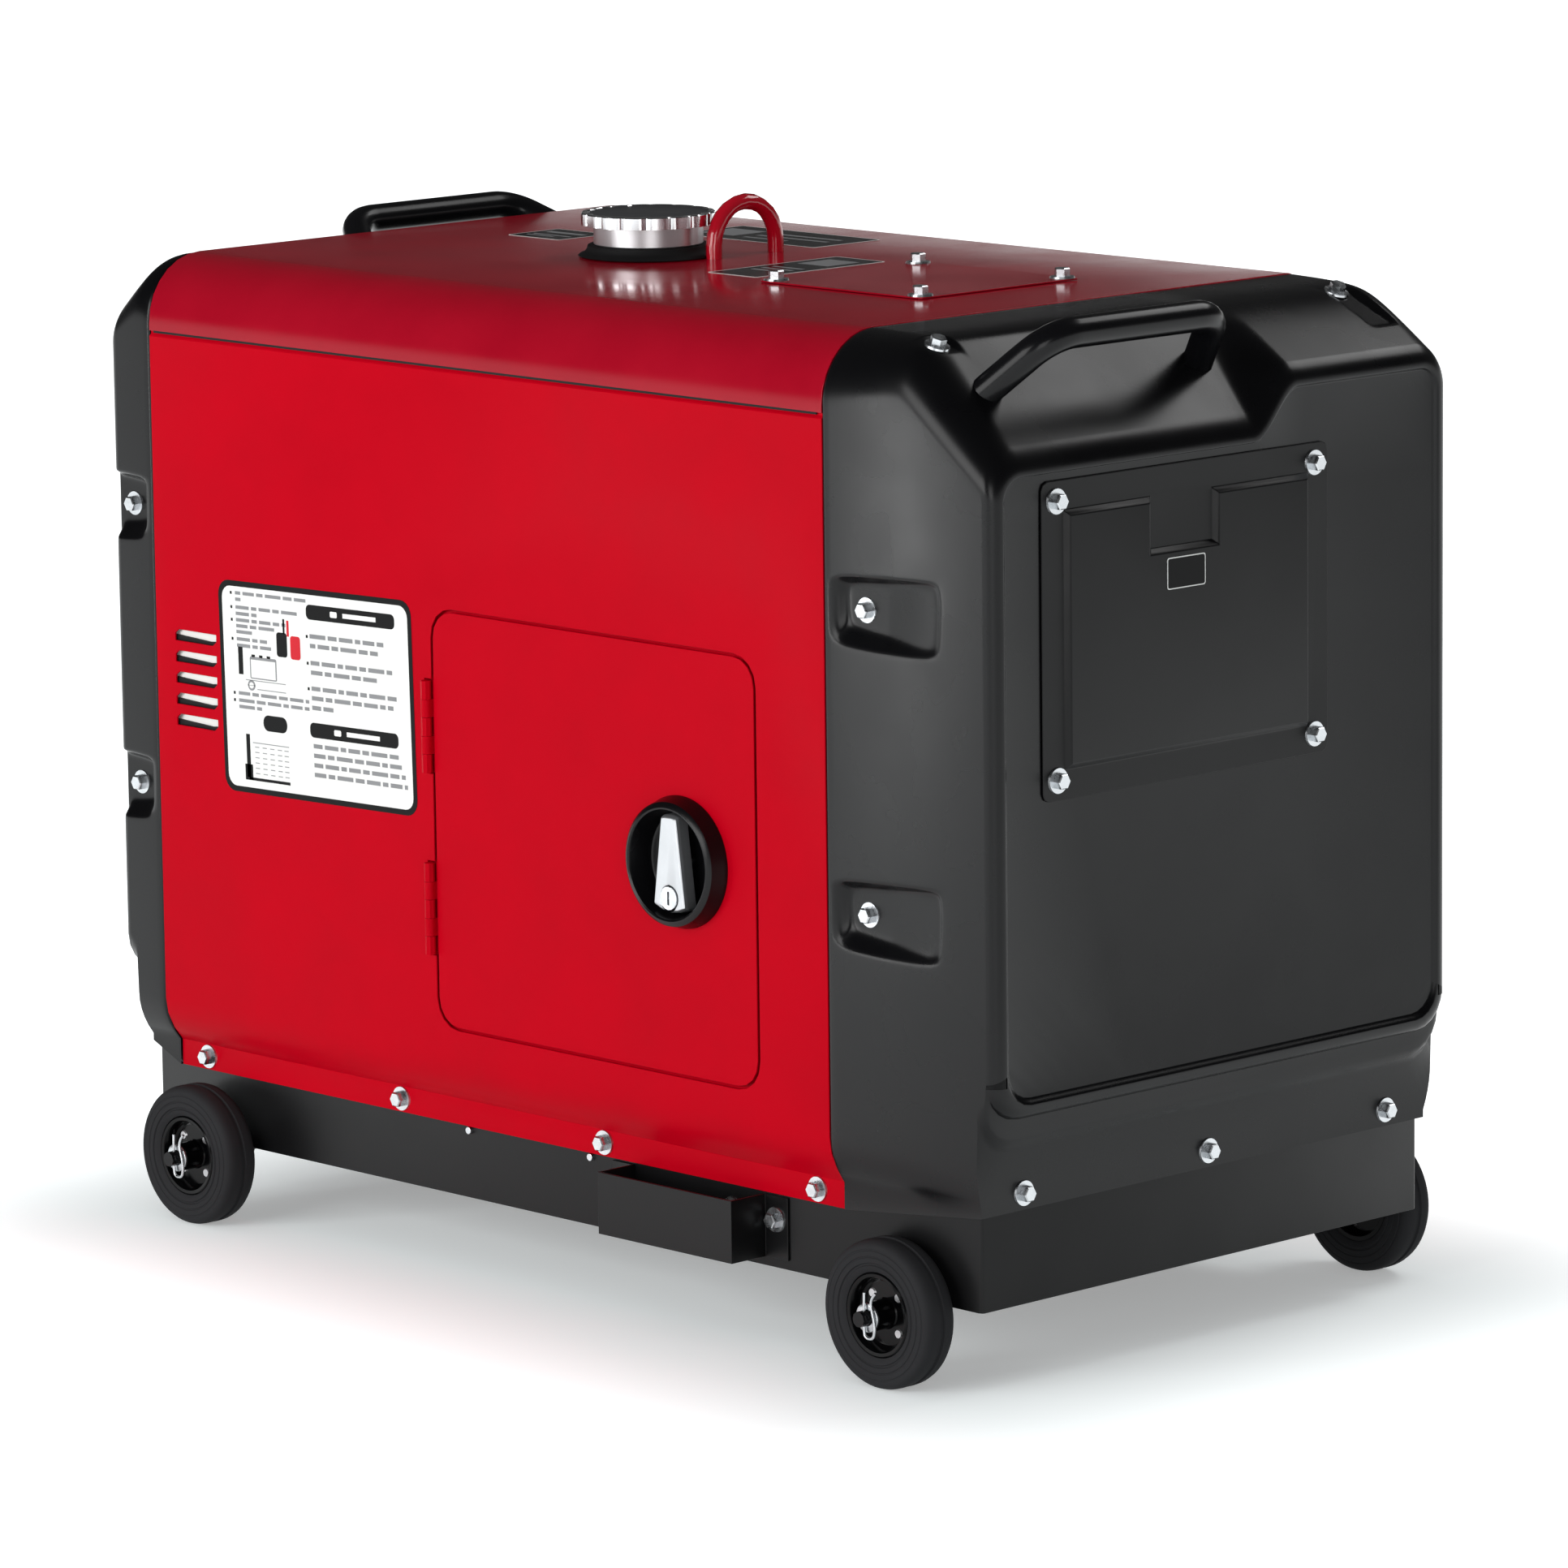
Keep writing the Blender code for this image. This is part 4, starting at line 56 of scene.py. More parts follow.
# Points of a CAD node's copy closer than this are one point, and facets flatter than this are one face.
SAME_POINT = 2e-5
SAME_FACE = math.radians(0.6)
# A direction whose share along an axis is over this runs along it.
NEARLY_ALONG = 0.99


# ------------------------------------------------------------------ materials
def linear(code: str) -> Quad:
    """Turn an sRGB hex colour into a linear one.

    Args:
        code: Six hex digits.

    Returns:
        Linear red, green, blue and an alpha of one.
    """
    channels = [int(code[i:i + 2], 16) / 255 for i in (0, 2, 4)]
    r, g, b = (c / 12.92 if c <= 0.04045 else ((c + 0.055) / 1.055) ** 2.4 for c in channels)
    return r, g, b, 1.0


def add(tree: NodeTree, kind: str, inputs: dict | None = None, **settings: object) -> Node:
    """Add a shader node, set its properties, and fill or link its inputs.

    Args:
        tree: Node tree to add to.
        kind: Blender's node type without its ShaderNode in front.
        inputs: Input name or index to a value, or to the socket that feeds it.
        settings: Properties of the node.

    Returns:
        The new node.
    """
    node = tree.nodes.new(f"ShaderNode{kind}")
    for name, value in settings.items():
        setattr(node, name, value)
    for key, value in (inputs or {}).items():
        if isinstance(value, NodeSocket):
            tree.links.new(value, node.inputs[key])
        else:
            node.inputs[key].default_value = value
    return node


class Grain(Enum):
    """How the small relief of a surface lies."""

    EVEN = (1.0, 1.0, 1.0)
    ALONG_X = (0.06, 1.0, 1.0)


@dataclass(frozen=True)
class Finish:
    """A real surface finish, with the sizes of its pattern in millimetres."""

    name: str
    colour: str
    roughness: float
    metallic: float = 0.0
    grain_mm: float = 2.0
    relief_mm: float = 0.02
    grain: Grain = Grain.EVEN
    mottle_mm: float = 70.0
    mottle: float = 0.10
    spread: float = 0.04
    coat: float = 0.0
    coat_roughness: float = 0.08
    specular: float = 0.5
    cells: bool = False

    def material(self) -> Material:
        """Build the node material, or find it if it is built already.

        Returns:
            The material.
        """
        made = bpy.data.materials.get(self.name)
        if made:
            return made
        made = bpy.data.materials.new(self.name)
        made.use_nodes = True
        tree = made.node_tree
        tree.nodes.clear()
        place = add(tree, "TexCoord").outputs["Object"]
        cloudy = add(tree, "TexNoise", {"Vector": place, "Scale": MM_IN_M / self.mottle_mm, "Detail": 4.0})
        tone = self.tone(tree, cloudy.outputs["Fac"])
        rough = add(tree, "MapRange", {"Value": cloudy.outputs["Fac"], "From Min": LOW_SPOT,
                                       "From Max": HIGH_SPOT,
                                       "To Min": max(self.roughness - self.spread, 0.02),
                                       "To Max": min(self.roughness + self.spread, 1.0)})
        relief = self.relief(tree, place)
        shader = add(tree, "BsdfPrincipled",
                     {"Base Color": tone, "Roughness": rough.outputs["Result"], "Metallic": self.metallic,
                      "Specular IOR Level": self.specular, "Coat Weight": self.coat,
                      "Coat Roughness": self.coat_roughness, "Normal": relief})
        add(tree, "OutputMaterial", {"Surface": shader.outputs["BSDF"]})
        return made

    def tone(self, tree: NodeTree, mask: NodeSocket) -> NodeSocket:
        """Vary the colour a little either way of its middle value.

        Args:
            tree: Node tree to add to.
            mask: Cloudy pattern from 0 to 1.

        Returns:
            The colour socket.
        """
        *base, _ = linear(self.colour)
        ramp = add(tree, "ValToRGB", {"Fac": mask})
        stops = ((LOW_SPOT, 1 - self.mottle), (HIGH_SPOT, 1 + self.mottle))
        for stop, (position, share) in zip(ramp.color_ramp.elements, stops):
            stop.position = position
            stop.color = (*(min(channel * share, 1) for channel in base), 1)
        return ramp.outputs["Color"]

    def relief(self, tree: NodeTree, place: NodeSocket) -> NodeSocket:
        """Add the fine bumps of the surface.

        Args:
            tree: Node tree to add to.
            place: Object coordinates.

        Returns:
            The bumped normal.
        """
        turned = add(tree, "Mapping", {"Vector": place, "Scale": self.grain.value})
        pattern = {"Vector": turned.outputs["Vector"], "Scale": MM_IN_M / self.grain_mm}
        if self.cells:
            height = add(tree, "TexVoronoi", pattern).outputs["Distance"]
        else:
            height = add(tree, "TexNoise", {**pattern, "Detail": 2.0}).outputs["Fac"]
        bump = add(tree, "Bump", {"Height": height, "Strength": 1.0, "Distance": self.relief_mm / MM_IN_M})
        return bump.outputs["Normal"]


def film(name: str, colour: str, roughness: float, mottle: float, specular: float) -> Finish:
    """Finish of a smooth printed film."""
    return Finish(name, colour, roughness, grain_mm=8.0, relief_mm=0.006, mottle=mottle, specular=specular)


# Powder coat flows out to a wide soft orange peel, drawn with a 3 mm grain.
RED_COAT = Finish("red_powder_coat", "BC0018", 0.36, grain_mm=3.0, relief_mm=0.030, mottle=0.04,
                  specular=0.03)
# The lid is the same paint, glossier, with painted shade: its colour is darker than the sides' because the
# top gets less light.
LID_SHADED_COAT = Finish("red_powder_coat_lid_painted_shade", "A00820", 0.16, grain_mm=3.0, relief_mm=0.012, mottle=0.06,
                  specular=0.16, coat=0.08)
EYE_COAT = Finish("red_gloss_bar", "B40820", 0.14, grain_mm=6.0, relief_mm=0.015, mottle=0.05, specular=0.45,
                  coat=0.4, coat_roughness=0.04)
# Moulded ABS with a spark-eroded texture: even, soft, never mirror-like.
CAP_ABS = Finish("grained_black_abs", "08080A", 0.27, grain_mm=1.6, relief_mm=0.014, mottle=0.06,
                 specular=0.24)
BLACK_COAT = Finish("black_powder_coat", "0F0F10", 0.34, grain_mm=2.2, relief_mm=0.020, mottle=0.08,
                    specular=0.20)
TUBE_COAT = Finish("black_enamel_tube", "0E0E10", 0.24, grain_mm=4.0, relief_mm=0.012, specular=0.18,
                   coat=0.05)
RIM_ENAMEL = Finish("gloss_black_enamel", "050506", 0.20, grain_mm=5.0, relief_mm=0.010, specular=0.14,
                    coat=0.05)
TYRE_RUBBER = Finish("moulded_tyre_rubber", "28282A", 0.74, grain_mm=1.2, relief_mm=0.05, mottle=0.14,
                     specular=0.15)
SEAL_RUBBER = Finish("epdm_rubber", "161617", 0.66, grain_mm=1.5, relief_mm=0.03, mottle=0.12, specular=0.2)
# Bright zinc plate: a faint crystalline cloudiness and a cool white.
ZINC = Finish("bright_zinc_plate", "C6C9CC", 0.28, 1.0, grain_mm=1.0, relief_mm=0.01, mottle_mm=6,
              mottle=0.12, spread=0.10)
CAP_POLISH = Finish("turned_aluminium", "DADADC", 0.16, 1.0, grain_mm=0.8, relief_mm=0.006, mottle_mm=20,
                    mottle=0.06, grain=Grain.ALONG_X)
CAP_DULL = Finish("cast_aluminium", "9C9DA0", 0.48, 1.0, grain_mm=1.2, relief_mm=0.03, mottle_mm=12,
                  mottle=0.12)
CAP_TOP = Finish("grey_anodised_top", "55565A", 0.38, 0.6, grain_mm=1.0, relief_mm=0.01, mottle_mm=25)
LEVER_SILVER = Finish("silver_lacquer", "B9BBBE", 0.34, 0.85, grain_mm=1.0, relief_mm=0.008, mottle_mm=30,
                      mottle=0.05)
IRON = Finish("painted_cast_iron", "46494C", 0.55, 0.3, grain_mm=2.5, relief_mm=0.10, mottle=0.15)
HOT_PAINT = Finish("heat_paint", "5A5856", 0.70, 0.3, grain_mm=1.5, relief_mm=0.03, mottle=0.2)
BRASS = Finish("turned_brass", "C9A252", 0.28, 1.0, grain_mm=0.8, relief_mm=0.008, mottle_mm=10, mottle=0.1)
FOAM = Finish("open_cell_foam", "303033", 0.95, grain_mm=3.5, relief_mm=0.8, mottle=0.15, cells=True,
              specular=0.1)
PALE_BOARD = Finish("pale_sound_board", "F2F2EE", 0.80, grain_mm=1.5, relief_mm=0.05, mottle=0.05,
                    specular=0.1)
PANEL_GREY = Finish("satin_grey_panel", "3E4043", 0.45, grain_mm=2.0, relief_mm=0.02, mottle=0.05,
                    specular=0.3)
METER_GLASS = Finish("meter_window", "D8DAD4", 0.08, grain_mm=8.0, relief_mm=0.004, coat=0.5)
INK_BLACK = film("gloss_black_film", "060607", 0.25, 0.1, 0.10)
INK_WHITE = film("white_vinyl", "F0F0EE", 0.40, 0.02, 0.2)
INK_GREY = film("grey_print", "8B8C8E", 0.40, 0.05, 0.2)
FILM_RED = film("red_print", "D01A2A", 0.40, 0.05, 0.2)


# --------------------------------------------------------------- mesh helpers
def ease(t: float) -> float:
    """Smooth step from 0 to 1."""
    return t * t * (3 - 2 * t)


def lower_of(a: float, b: float, rounding: float) -> float:
    """Lower of two values with the corner between them rounded."""
    return (a + b - math.hypot(a - b, rounding)) / 2


def over_zero(value: float, rounding: float) -> float:
    """Zero or the value, whichever is higher, with the corner between them rounded."""
    return (value + math.hypot(value, rounding)) / 2


def spread(low: float, high: float, count: int) -> list[float]:
    """Even steps from low up to, and without, high."""
    return [low + (high - low) * i / count for i in range(count)]


def arc(centre: Pair, radius: float, start: float, end: float, steps: int) -> list[Pair]:
    """List the points of an arc, both ends included.

    Args:
        centre: Centre of the arc.
        radius: Its radius.
        start: First angle in degrees.
        end: Last angle in degrees.
        steps: Number of chords.

    Returns:
        The points.
    """
    turns = [math.radians(start + (end - start) * i / steps) for i in range(steps + 1)]
    return [(centre[0] + radius * math.cos(turn), centre[1] + radius * math.sin(turn)) for turn in turns]


def tag(verts: Iterable[BMVert], index: int) -> None:
    """Give the faces round some vertices a material index."""
    for face in {face for vert in verts for face in vert.link_faces}:
        face.material_index = index


def bridge(bm: BMesh, low: list[BMVert], high: list[BMVert], closed: bool) -> None:
    """Skin between two rows with the same number of vertices.

    Args:
        bm: Mesh to add to.
        low: One row.
        high: The other row.
        closed: Whether the rows are rings.
    """
    for i in range(len(low) - (not closed)):
        j = (i + 1) % len(low)
        bm.faces.new((low[i], low[j], high[j], high[i]))


def settle(bm: BMesh, name: str, finishes: Iterable[Finish], body: str,
           nodes: Iterable[str] = (), angle: float = 35.0, soften: float = 0.0,
           merge: float = 1e-6) -> Object:
    """Turn a bmesh into a finished piece that rides on a body.

    Args:
        bm: The shape, already in place; it is used up.
        name: Object name.
        finishes: One finish for each material index.
        body: CAD body that carries the piece.
        nodes: CAD nodes that the piece stands for.
        angle: Edges sharper than this stay crisp, in degrees.
        soften: Width of the rounded edges in metres, or 0 for none.
        merge: Distance within which points are joined.

    Returns:
        The new object.
    """
    bmesh.ops.remove_doubles(bm, verts=bm.verts[:], dist=merge)
    bmesh.ops.recalc_face_normals(bm, faces=bm.faces[:])
    mesh = bpy.data.meshes.new(name)
    bm.to_mesh(mesh)
    bm.free()
    piece = bpy.data.objects.new(name, mesh)
    bpy.context.collection.objects.link(piece)
    for finish in finishes:
        mesh.materials.append(finish.material())
    mesh.shade_smooth()
    mesh.set_sharp_from_angle(angle=math.radians(angle))
    if soften:
        rounding = piece.modifiers.new("soft_edges", "BEVEL")
        rounding.width = soften
        rounding.segments = 2
        rounding.limit_method = "ANGLE"
        rounding.angle_limit = math.radians(angle)
        rounding.use_clamp_overlap = False
        rounding.loop_slide = True
        rounding.harden_normals = True
    if nodes:
        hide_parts(*nodes)
    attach(piece, body)
    LOG.info("%s rides on %s", name, body)
    return piece


def merged(node: str) -> BMesh:
    """Copy a CAD node as one merged surface with flat faces joined.

    Args:
        node: CAD node.

    Returns:
        The copy.
    """
    bm = bmesh.new()
    bm.from_mesh(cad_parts[node].data)
    bmesh.ops.remove_doubles(bm, verts=bm.verts[:], dist=SAME_POINT)
    bmesh.ops.dissolve_degenerate(bm, dist=SAME_POINT, edges=bm.edges[:])
    bmesh.ops.dissolve_limit(bm, angle_limit=SAME_FACE, verts=bm.verts[:], edges=bm.edges[:])
    return bm


def trim(bm: BMesh, doomed: Callable[[Vector], bool]) -> None:
    """Delete the faces whose middle answers to a test."""
    faces = [face for face in bm.faces if doomed(face.calc_center_median())]
    bmesh.ops.delete(bm, geom=faces, context="FACES")


def refined(node: str, finish: Finish, body: str, soften: float = 0.0005, angle: float = 35.0,
            doomed: Callable[[Vector], bool] | None = None,
            second: tuple[Finish, Callable[[Vector], bool]] | None = None) -> Object:
    """Stand a smooth copy with rounded edges in for a CAD node.

    Args:
        node: CAD node.
        finish: Finish of the piece.
        body: CAD body that carries it.
        soften: Width of the rounded edges in metres.
        angle: Edges sharper than this are rounded, in degrees.
        doomed: Test for faces to leave out, by their middle.
        second: Another finish, and the test for the faces that have it.

    Returns:
        The new object.
    """
    bm = merged(node)
    if doomed:
        trim(bm, doomed)
    finishes = [finish]
    if second:
        finishes.append(second[0])
        for face in bm.faces:
            face.material_index = int(second[1](face.calc_center_median()))
    return settle(bm, f"{node}_skin", finishes, body, (node,), angle, soften)


def spun(profile: list[Pair], axis: Point, centre: Point, steps: int,
         bm: BMesh | None = None) -> BMesh:
    """Spin a profile into a turned shape.

    Args:
        profile: (radius, height along the axis) points, closed into a ring.
        axis: Axis of the turning.
        centre: Point on the axis where height is zero.
        steps: Number of faces round the shape.
        bm: Mesh to add to, or nothing for a new one.

    Returns:
        The mesh with the turned shape.
    """
    bm = bm or bmesh.new()
    along = Vector(axis).normalized()
    out = along.orthogonal().normalized()
    origin = Vector(centre)
    verts = [bm.verts.new(origin + out * radius + along * height) for radius, height in profile]
    edges = [bm.edges.new((verts[i - 1], verts[i])) for i in range(len(verts))]
    bmesh.ops.spin(bm, geom=verts + edges, cent=origin, axis=along, angle=math.tau, steps=steps,
                   use_merge=True)
    bmesh.ops.remove_doubles(bm, verts=bm.verts[:], dist=1e-6)
    return bm


def block(bm: BMesh, low: Point, high: Point, index: int = 0,
          turn: Matrix | None = None) -> list[BMVert]:
    """Add a block between two corners.

    Args:
        bm: Mesh to add to.
        low: Lowest corner.
        high: Highest corner.
        index: Material index of its faces.
        turn: Transform of the finished block.

    Returns:
        Its vertices.
    """
    size = Vector(high) - Vector(low)
    middle = (Vector(high) + Vector(low)) / 2
    place = Matrix.Translation(middle) @ Matrix.Diagonal((*size, 1))
    made = bmesh.ops.create_cube(bm, size=1.0, matrix=(turn @ place) if turn else place)["verts"]
    tag(made, index)
    return made


def soft_block(bm: BMesh, low: Point, high: Point, radius: float, axis: int, index: int) -> None:
    """Add a block whose edges along one axis are rounded.

    Args:
        bm: Mesh to add to.
        low: Lowest corner.
        high: Highest corner.
        radius: Corner radius.
        axis: 0, 1 or 2, the direction of the rounded edges.
        index: Material index of its faces.
    """
    made = block(bm, low, high, index)
    edges = [edge for edge in {edge for vert in made for edge in vert.link_edges}
             if abs((edge.verts[0].co - edge.verts[1].co).normalized()[axis]) > NEARLY_ALONG]
    faces = bmesh.ops.bevel(bm, geom=edges, offset=radius, offset_type="OFFSET", affect="EDGES", segments=5,
                            profile=0.5, material=-1)["faces"]
    for face in faces:
        face.material_index = index


def tube(points: list[Vector], radius: float, resolution: int, smooth: bool) -> BMesh:
    """Sweep a round bar along its path.

    Args:
        points: Points of the path.
        radius: Radius of the bar.
        resolution: Fineness of its section.
        smooth: Whether the path curves from point to point or runs straight.

    Returns:
        The closed bar.
    """
    curve = bpy.data.curves.new("path", "CURVE")
    curve.dimensions = "3D"
    curve.bevel_depth = radius
    curve.bevel_resolution = resolution
    curve.use_fill_caps = True
    spline = curve.splines.new("BEZIER" if smooth else "POLY")
    knots = spline.bezier_points if smooth else spline.points
    knots.add(len(points) - 1)
    for knot, point in zip(knots, points):
        knot.co = point if smooth else (*point, 1)
        if smooth:
            knot.handle_left_type = knot.handle_right_type = "AUTO"
    holder = bpy.data.objects.new("path", curve)
    bm = bmesh.new()
    bm.from_mesh(holder.to_mesh())
    holder.to_mesh_clear()
    bpy.data.objects.remove(holder)
    return bm


# --------------------------------------------------------------------- pieces
@dataclass(frozen=True)
class Shell:
    """Sizes that several of the canopy's pieces share."""

    half: float = 0.2377
    roof: float = 0.7229
    # Radii of the near shoulder and the far one.
    soft: float = 0.050
    tight: float = 0.010
    # How far out the caps' skirts reach, then the side pockets' floors and middles.
    skirt: float = 0.4404
    pocket_y: float = 0.2276
    pocket_zs: Pair = (0.3243, 0.5352)
    # Place of the front cap's top bolts, and the fall of the near one's seat.
    top_bolt: Pair = (0.3795, 0.199)
    top_slope: float = 0.364
    # Outer faces of the plates on the ends and on the roof, and the cover's bolts.
    plate_x: float = 0.4565
    plate_z: float = 0.7244
    cover_ys: Pair = (-0.164, 0.092)
    cover_zs: Pair = (0.423, 0.614)


SHELL = Shell()


@dataclass
class Fasteners:
    """Flanged zinc bolts of the canopy, and the screw ends in the tray's sides."""

    washer: float = 0.0092
    washer_edge: float = 0.0004
    washer_thick: float = 0.0014
    flats: float = 0.0100
    height: float = 0.0060
    chamfer: float = 0.0008
    flange_xs: tuple[float, ...] = (-0.3771, -0.1584, 0.0602, 0.2789)
    flange_place: Pair = (0.2225, 0.1221)
    skirt_ys: tuple[float, ...] = (-0.1833, 0.0, 0.1833)
    skirt_z: float = 0.1378
    pocket_xs: Pair = (0.3392, -0.4408)
    top_zs: Pair = (0.7161, 0.7171)
    guard_seats: tuple[Point, ...] = ((0.2362, -0.2226, 0.0936), (0.1900, -0.2207, 0.0936))
    grille_ys: Pair = (-0.143, 0.083)
    grille_zs: Pair = (0.282, 0.488)
    access_xs: Pair = (0.0676, 0.2135)
    access_ys: Pair = (-0.0501, 0.0921)
    screw_xs: Pair = (-0.0855, 0.0446)
    screw_place: Pair = (0.2215, 0.109)
    screw_radius: float = 0.0028
    screw_length: float = 0.0040

    def head(self, bm: BMesh, seat: Point, aim: Point) -> None:
        """Add one bolt head on its flange.

        Args:
            bm: Mesh to add to.
            seat: Point on the face that the bolt holds.
            aim: Outward direction.
        """
        out = Vector(aim).normalized()
        place = Matrix.Translation(seat) @ out.to_track_quat("Z", "X").to_matrix().to_4x4()
        lift = Matrix.Translation((0, 0, self.washer_thick / 2))
        bmesh.ops.create_cone(bm, cap_ends=True, segments=32, radius1=self.washer,
                              radius2=self.washer - self.washer_edge, depth=self.washer_thick,
                              matrix=place @ lift)
        reach, tall = self.flats / math.sqrt(3), self.height - self.chamfer
        rise = Matrix.Translation((0, 0, self.washer_thick + tall / 2))
        verts = bmesh.ops.create_cone(bm, cap_ends=True, segments=6, radius1=reach, radius2=reach, depth=tall,
                                      matrix=place @ rise)["verts"]
        top = max((face for vert in verts for face in vert.link_faces),
                  key=lambda face: (face.calc_center_median() - Vector(seat)).dot(out))
        bmesh.ops.inset_region(bm, faces=[top], thickness=self.chamfer, depth=self.chamfer)

    def seats(self) -> list[tuple[Point, Point]]:
        """List the bolts of the sides, skirts, pockets and plates.

        Returns:
            Each bolt's seat and outward direction.
        """
        made = [(seat, (0, -1, 0)) for seat in self.guard_seats]
        flange_y, flange_z = self.flange_place
        top_x, top_y = SHELL.top_bolt
        for side, top_z in zip((-1, 1), self.top_zs):
            out, end = (0, side, 0), (side, 0, 0)
            made += [((x, side * flange_y, flange_z), out) for x in self.flange_xs]
            made += [((x, side * SHELL.pocket_y, z), out) for x in self.pocket_xs for z in SHELL.pocket_zs]
            made += [((side * SHELL.skirt, y, self.skirt_z), end) for y in self.skirt_ys]
            made.append(((top_x, side * top_y, top_z), (SHELL.top_slope, 0, 1)))
        made += [((SHELL.plate_x, y, z), (1, 0, 0)) for y in SHELL.cover_ys for z in SHELL.cover_zs]
        made += [((-SHELL.plate_x, y, z), (-1, 0, 0)) for y in self.grille_ys for z in self.grille_zs]
        made += [((x, y, SHELL.plate_z), (0, 0, 1)) for x in self.access_xs for y in self.access_ys]
        return made

    def build(self) -> None:
        """Make the bolts and the screw ends."""
        bm = bmesh.new()
        for seat, aim in self.seats():
            self.head(bm, seat, aim)
        settle(bm, "canopy_bolts", [ZINC], "machine", angle=25)
        bm = bmesh.new()
        turn = Matrix.Rotation(math.radians(90), 4, "X")
        y, z = self.screw_place
        for place in [(x, side * y, z) for x in self.screw_xs for side in (-1, 1)]:
            bmesh.ops.create_cone(bm, cap_ends=True, segments=20, radius1=self.screw_radius,
                                  radius2=self.screw_radius, depth=self.screw_length,
                                  matrix=Matrix.Translation(place) @ turn)
        settle(bm, "tray_screw_ends", [ZINC], "machine", angle=30, soften=0.0005)


@dataclass(frozen=True)
class SidePocket:
    """Bolt pocket in a cap's side: leaning walls round a floor that ramps out towards the end."""

    reach: float = 0.036
    above: float = 0.0230
    below: float = 0.0250
    flare: float = 0.0035
    flare_end: float = 0.103
    start: float = 0.0085
    end: float = 0.1070
    ramp: Pair = (0.055, 0.104)
    shallow: float = 0.0022
    lift: float = 0.0010
    wall_slope: float = 1.9
    sill_slope: float = 0.85
    end_slope: float = 1.2
    edge: float = 0.003
    corner: float = 0.0100
    fold: float = 0.0020
    foot: float = 0.0022
    lip: float = 0.0009

    def depth(self, d: float, rise: float, full: float) -> float:
        """Work out how deep the skin is pressed in.

        Args:
            d: Depth from the edge of the sheet canopy.
            rise: Height above the pocket's middle.
            full: Distance from the skin in to the pocket's floor.

        Returns:
            The depth, which fades to nothing outside the pocket.
        """
        first, last = self.ramp
        out = min(max((d - first) / (last - first), 0.0), 1.0)
        grow = self.flare * min(d / self.flare_end, 1.0)
        upright = lower_of((self.above + grow - rise) * self.wall_slope,
                           (self.below + grow + rise) * self.sill_slope, self.edge)
        along = lower_of((d - self.start) * self.wall_slope, (self.end - d) * self.end_slope, self.edge)
        floor = lower_of(full, full + (self.shallow - full) * out + self.lift, self.fold)
        return over_zero(lower_of(floor, lower_of(upright, along, self.corner), self.foot), self.lip)


@dataclass(frozen=True)
class TopPocket:
    """Bolt pocket in a cap's falling top: steep walls round a floor that falls less than the top."""

    reach: float = 0.022
    near: float = 0.05
    far: float = 0.135
    floors: Pair = (0.7160, 0.7170)
    falls: Pair = (SHELL.top_slope, 0.46)
    floor_d: float = 0.0731
    start: float = 0.0600
    end: float = 0.119
    half: float = 0.0140
    wall_slope: float = 2.2
    edge: float = 0.002
    corner: float = 0.006
    lip: float = 0.0010

    def depth(self, d: float, y: float, z: float) -> float:
        """Work out how deep the skin is pressed in.

        Args:
            d: Depth from the edge of the sheet canopy.
            y: Position across.
            z: Height of the skin.

        Returns:
            The depth, which fades to nothing outside the pocket.
        """
        aside = abs(abs(y) - SHELL.top_bolt[1])
        if aside >= self.reach or not self.near < d < self.far:
            return 0.0
        hand = int(y >= 0)
        floor = self.floors[hand] - (d - self.floor_d) * self.falls[hand]
        along = lower_of((d - self.start) * self.wall_slope, (self.end - d) * self.wall_slope, self.edge)
        across = lower_of(along, (self.half - aside) * self.wall_slope, self.corner)
        return over_zero(lower_of(z - floor, across, self.lip), self.lip)


